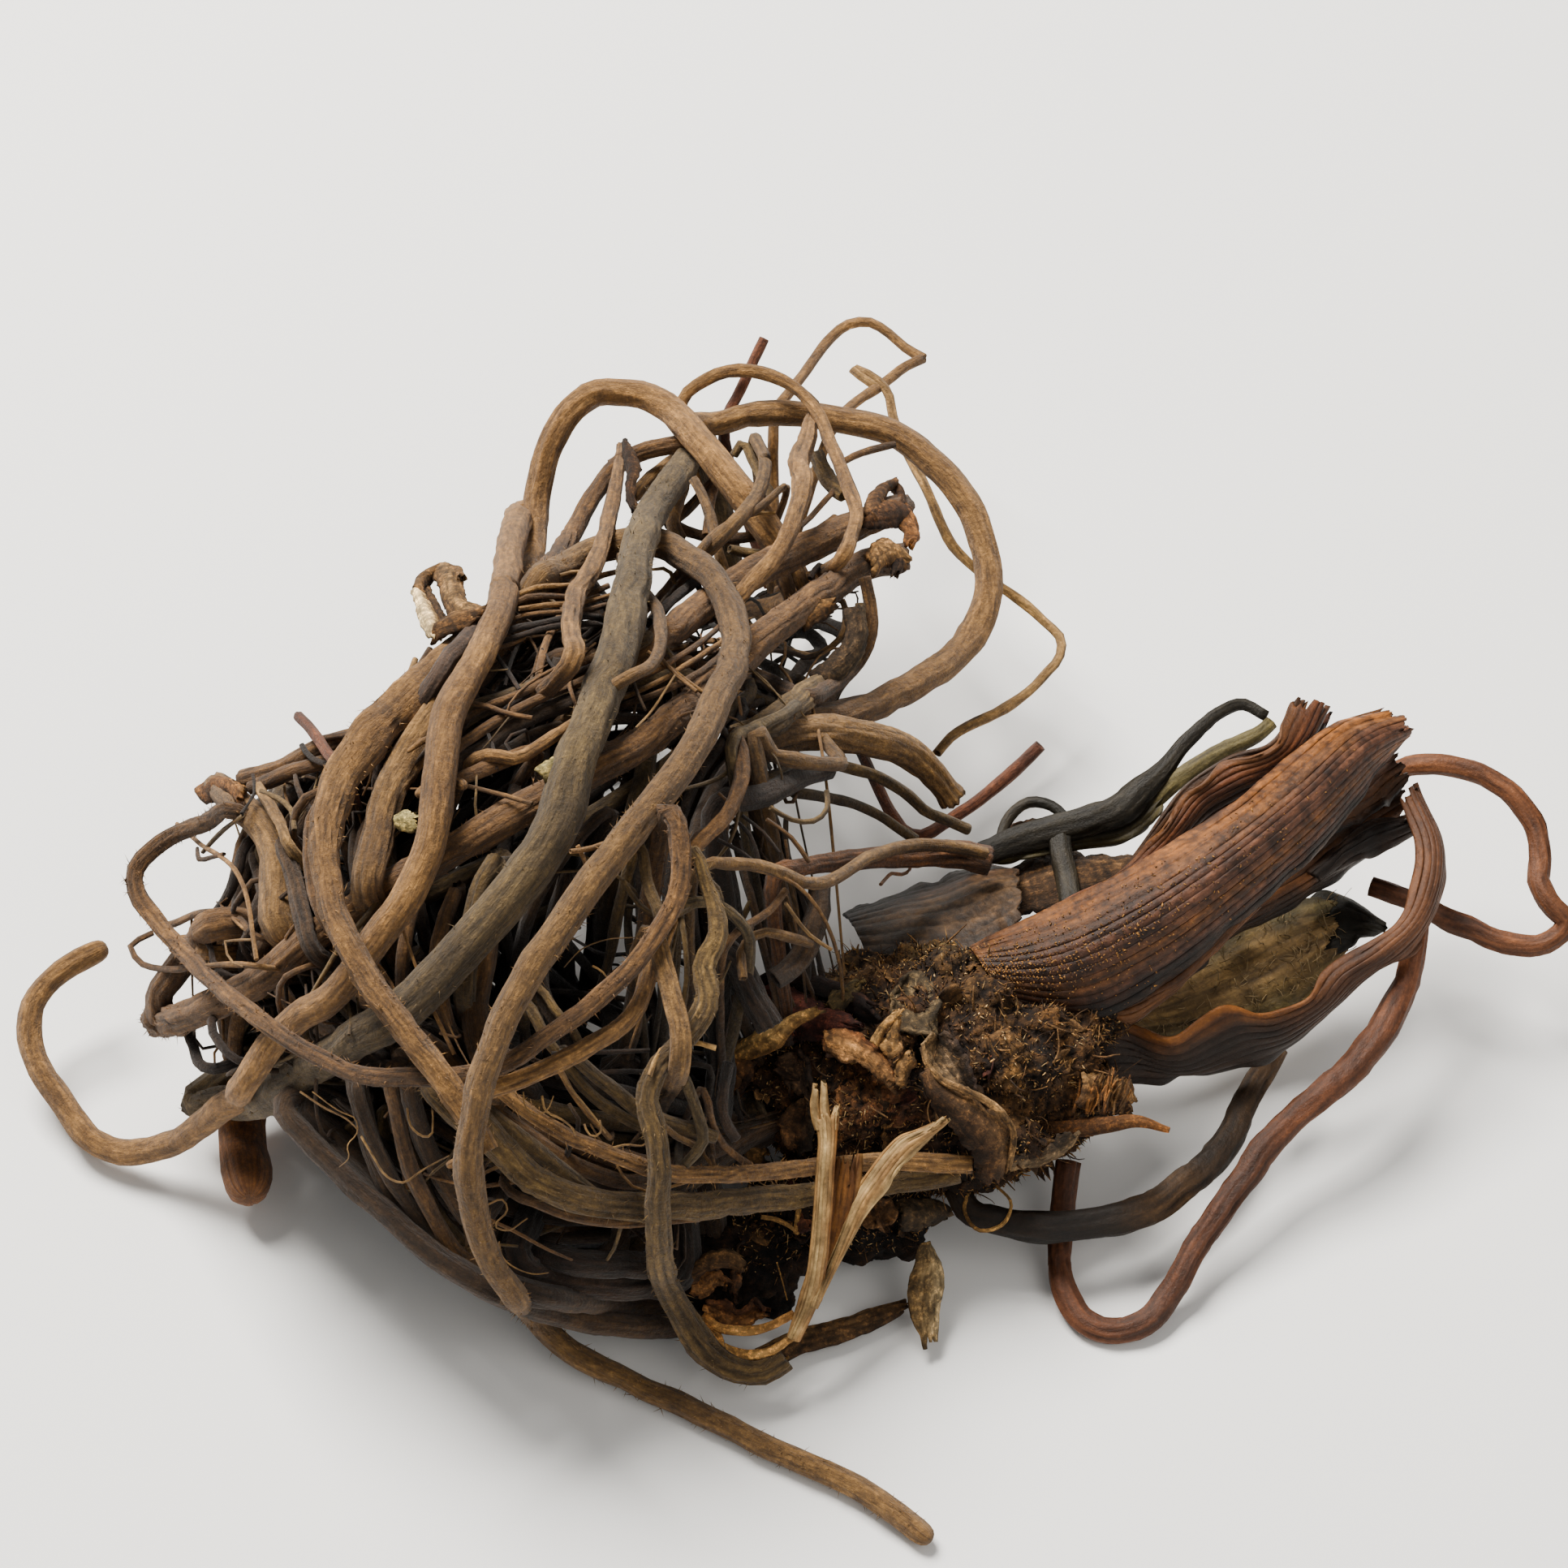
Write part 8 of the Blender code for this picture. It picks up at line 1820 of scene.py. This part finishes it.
def build_leaves(skin):
    """The leaf bases with their petioles, the dark strip and the low petiole."""
    broad = Pile()
    grid = leaf(broad, BROAD_FAR, BROAD_NEAR, 2.0, BROAD_PAINT, 13, 11, rows=150, columns=96, ragged=0.7,
                depth=0.13, wave=0.4, tones=(0.6, 0.75, 1.0, 1.15, 1.25, 1.35, 1.4), crumble=0.02)
    leaf(broad, BROAD_FAR, BROAD_NEAR, 1.4, ((0.0, SADDLE), (0.4, UMBER), (1.0, SOOT)), 12, 12, rows=80, columns=32,
         shift=-0.75, shrink=0.06, ragged=1.2)
    draw = np.random.default_rng(8)
    spots = []
    for _ in range(GOLD_FLECKS):
        i = int(draw.beta(0.9, 3.4) * (grid.shape[0] - 1))
        j = int(np.clip(draw.normal(0.5, 0.2), 0.1, 0.97) * (grid.shape[1] - 1))
        spots.append(grid[i, j] + np.array((0.0, -0.08, 0.24)))
    grains(broad, spots, 9, (rgb(164, 118, 60), rgb(136, 96, 50), rgb(112, 80, 46)), (0.025, 0.075))
    leaf(broad, BROAD_KEEL_FAR, BROAD_KEEL_NEAR, 0.8, ((0.0, PLUM), (0.5, SADDLE * 0.8), (1.0, SADDLE)), 6, 13,
         rows=90, columns=30, ragged=0.6)
    broad.made("leaf_broad", skin, "leaf_base", "leaf_base_broad")
    folded = Pile()
    leaf(folded, FOLDED_FAR, FOLDED_NEAR, 1.0, FOLDED_PAINT, 9, 21)
    leaf(folded, FOLDED_FAR, FOLDED_NEAR, 0.6, ((0.0, UMBER), (0.5, SADDLE), (1.0, SOOT)), 7, 22, rows=70, columns=32,
         shift=-0.8, shrink=0.08)
    folded.made("leaf_folded", skin, "leaf_base", "leaf_base_folded")
    inner = Pile()
    leaf(inner, INNER_FAR, INNER_NEAR, 0.8, INNER_PAINT, 7, 31, ragged=0.8)
    leaf(inner, END_FAR, END_NEAR, 0.6, INNER_END_PAINT, 6, 33, rows=80, columns=40, ragged=0.6)
    leaf(inner, HOOD_FAR, HOOD_NEAR, 0.7, ((0.0, UMBER), (0.5, SOOT), (1.0, UMBER)), 4, 34, rows=60, columns=24,
         ragged=0.4)
    petiole(inner, INNER_PETIOLE, (1.6, 1.7, 1.9, 1.8, 1.6), (rgb(128, 80, 48), rgb(90, 55, 34)), 32)
    inner.made("leaf_inner", skin, "leaf_base", "leaf_base_inner")
    woolly = Pile()
    grid = leaf(woolly, WOOLLY_FAR, WOOLLY_NEAR, 0.9, WOOLLY_PAINT, 5, 41, wave=0.3, ragged=0.8, depth=0.1)
    leaf(woolly, DARK_END_FAR, DARK_END_NEAR, 0.5, ((0.0, rgb(44, 40, 26)), (1.0, rgb(30, 27, 18))), 4, 42, rows=50,
         columns=24, ragged=0.5)
    wool(woolly, grid)
    woolly.made("leaf_woolly", skin, "leaf_woolly", "leaf_base_woolly")
    waved = Pile()
    leaf(waved, WAVED_FAR, WAVED_NEAR, 0.8, WAVED_PAINT, 8, 51, rows=160, wave=0.25, ragged=0.4,
         tip=(rgb(116, 74, 46), 0.4))
    leaf(waved, FOLD_FAR, FOLD_NEAR, 0.5, ((0.0, AMBER), (0.3, SADDLE), (1.0, UMBER)), 4, 53, rows=60, columns=24,
         ragged=0.3)
    petiole(waved, WAVED_PETIOLE, (1.6, 2.2, 2.2, 2.0, 1.9), (rgb(112, 68, 42), rgb(76, 47, 31)), 52,
            tones=(1.2, 1.1, 0.8, 0.65, 0.65, 0.8, 0.9, 0.9, 1.0, 0.7))
    waved.made("leaf_waved", skin, "leaf_base", "leaf_base_waved")
    papery = Pile()
    leaf(papery, PAPERY_FAR, PAPERY_NEAR, 0.8, PAPERY_PAINT, 8, 61, thick=0.3, ragged=0.3, wave=0.15,
         tones=(0.5, 0.9, 1.1), crumble=0.06)
    papery.made("leaf_papery", skin, "leaf_papery", "leaf_base_papery")
    dark = Pile()
    green = (rgb(46, 40, 28), rgb(24, 22, 16))
    leaf(dark, WEB_FAR, WEB_NEAR, 0.3, WEB_PAINT, 5, 74, rows=80, columns=24, thick=0.3, ragged=0.5)
    petiole(dark, DARK_LOWER, (1.3, 1.6, 1.4, 1.2), (rgb(112, 102, 64), rgb(52, 48, 30)), 75, 0.5)
    petiole(dark, DARK_STRIP, (1.8, 2.4, 2.6, 2.4, 1.4, 1.0, 0.9), green, 71, 0.4)
    petiole(dark, DARK_STRIP_LOOP, (0.9, 0.9), green, 72, 0.8)
    petiole(dark, DARK_STEM, (1.6, 1.8), green, 73, 0.5)
    dark.made("leaf_strip", skin, "leaf_dark", "leaf_strip_dark")
    low = Pile()
    # Painted shade: the petiole is darkest where it runs under the rhizome
    petiole(low, LOW_PETIOLE, (2.0, 2.6, 2.6, 2.2, 1.6), (rgb(88, 64, 38), rgb(44, 32, 20)), 81, 0.45,
            tones=(0.25, 0.3, 0.45, 0.8, 1.1, 1.0))
    low.made("petiole_front", skin, "petiole_dark", "petiole_low")


def petiole(pile, marks, widths, look, seed, flat=0.7, tones=(1.0,)):
    """A dry petiole: a ribbed, flattened stalk through its marks."""
    tube(pile, marked(marks), widths, look, np.random.default_rng(seed), 24, 0.6, flat, 8, 0.24, ("none", "none"),
         1.4, tones=tones)


def wool(pile, grid):
    """Short matted hairs on the woolly leaf base."""
    draw = np.random.default_rng(45)
    for _ in range(WOOL_HAIRS):
        spot = grid[draw.integers(0, grid.shape[0]), draw.integers(0, grid.shape[1])]
        way = draw.normal(0.0, 1.0, 3) + np.array((0.0, -0.5, 1.2))
        way /= np.linalg.norm(way)
        path = curl_path(draw, spot, way, draw.uniform(0.8, 2.2), draw.uniform(0.5, 1.6), 0.3)
        size = draw.uniform(0.05, 0.1)
        tube(pile, path, (size, size), (rgb(156, 134, 96), rgb(120, 104, 74)), draw, 3, 0.4, 1.0, 3, 0.05)


def build_core(wood):
    """The split pale wood: two prongs with an amber sheet between them, and a forked tip."""
    pile = Pile()
    pale, straw, amber, brown = rgb(208, 178, 124), rgb(188, 144, 88), rgb(150, 98, 42), rgb(112, 68, 28)
    leaf(pile, TALL_LEFT, TALL_RIGHT, 0.35, ((0.0, straw), (0.4, pale), (0.8, straw), (1.0, amber)), 6, 91, rows=80,
         columns=22, thick=0.5, wave=0.12, ragged=0.2, depth=0.09)
    for number, (left, right) in enumerate(FORK_TIPS):
        leaf(pile, left, right, 0.2, ((0.0, straw), (0.5, pale), (1.0, straw)), 3, 93 + number, rows=30, columns=12,
             thick=0.36, wave=0.1, ragged=0.3, depth=0.06)
    leaf(pile, SLANTED_LEFT, SLANTED_RIGHT, 0.35, ((0.0, straw), (0.3, pale), (0.7, straw), (1.0, pale)), 7, 92,
         rows=80, columns=22, thick=0.42, wave=0.12, ragged=0.5, depth=0.1)
    leaf(pile, AMBER_LEFT, AMBER_RIGHT, 0.3, ((0.0, brown), (0.4, amber), (0.75, brown), (1.0, straw)), 5, 96,
         rows=60, columns=20, thick=0.3, wave=0.15, ragged=1.0, depth=0.09)
    draw = np.random.default_rng(97)
    for edges in ((TALL_LEFT, TALL_RIGHT), (SLANTED_LEFT, SLANTED_RIGHT)):
        left, right = marked(edges[0], 0.5), marked(edges[1], 0.5)
        count = min(len(left), len(right))
        for _ in range(7):
            share = draw.uniform(0.05, 0.95)
            first = draw.integers(0, count // 3)
            strip = (left[:count] * (1.0 - share) + right[:count] * share)[first:] + np.array((0.0, -0.1, 0.3))
            tube(pile, strip[::3], (0.3, 0.26, 0.1), STRAW, draw, 5, 0.6, 0.6, 4, 0.2, depth_shaded=False)
    pile.made("root_core", wood, "wood_core", "root_core_torn")


# What the lamps point at, in metres
LIT_POINT = Vector((0.0, 0.015, 0.01))


def stage_and_light():
    """The pale floor, soft light and the camera."""
    data = bpy.data.meshes.new("floor")
    half = 1.5
    data.from_pydata([(-half, -half, 0), (half, -half, 0), (half, half, 0), (-half, half, 0)], [], [(0, 1, 2, 3)])
    floor = bpy.data.objects.new("floor", data)
    floor.location.z = -0.0002
    bpy.context.scene.collection.objects.link(floor)
    finish = bpy.data.materials.new("floor_pale")
    finish.use_nodes = True
    shader = finish.node_tree.nodes["Principled BSDF"]
    shader.inputs["Base Color"].default_value = (0.86, 0.86, 0.85, 1.0)
    shader.inputs["Roughness"].default_value = 0.9
    data.materials.append(finish)
    world = bpy.data.worlds.new("soft_sky")
    world.use_nodes = True
    world.node_tree.nodes["Background"].inputs["Color"].default_value = (1.0, 0.99, 0.97, 1.0)
    world.node_tree.nodes["Background"].inputs["Strength"].default_value = 0.34
    bpy.context.scene.world = world
    for name, place, size, power in (
        ("key", (-0.24, 0.30, 0.62), 0.34, 17.0),
        ("fill", (0.35, -0.35, 0.55), 0.5, 1.6),
    ):
        lamp = bpy.data.lights.new(name, "AREA")
        lamp.size = size
        lamp.energy = power
        lamp.color = (1.0, 0.96, 0.90)
        thing = bpy.data.objects.new(name, lamp)
        thing.location = place
        thing.rotation_euler = (LIT_POINT - Vector(place)).to_track_quat("-Z", "Y").to_euler()
        bpy.context.scene.collection.objects.link(thing)
    view = bpy.data.cameras.new("eye")
    view.lens = LENS
    view.sensor_width = SENSOR
    camera = bpy.data.objects.new("eye", view)
    camera.location = EYE * MM
    camera.rotation_euler = (math.pi / 2.0 - EYE_ELEVATION, 0.0, 0.0)
    bpy.context.scene.collection.objects.link(camera)
    bpy.context.scene.camera = camera


bark = dry_material("dry_bark", 0.88, 3.8, 1.0, 0.45, (1.0, 0.95, 0.85), 0.1)
skin = dry_material("dry_leaf", 0.55, 1.4, 0.5, 0.3, (1.0, 0.85, 0.6), patchy=0.45)
crumbly = dry_material("rhizome_skin", 0.9, 1.8, 1.0, 1.6, (1.0, 0.85, 0.6))
wood = dry_material("pale_wood", 0.7, 2.2, 0.4, 0.15, (1.0, 0.9, 0.7))

build_roots(bark)
build_rhizome(crumbly)
build_leaves(skin)
build_core(wood)
stage_and_light()

bpy.context.view_layer.update()
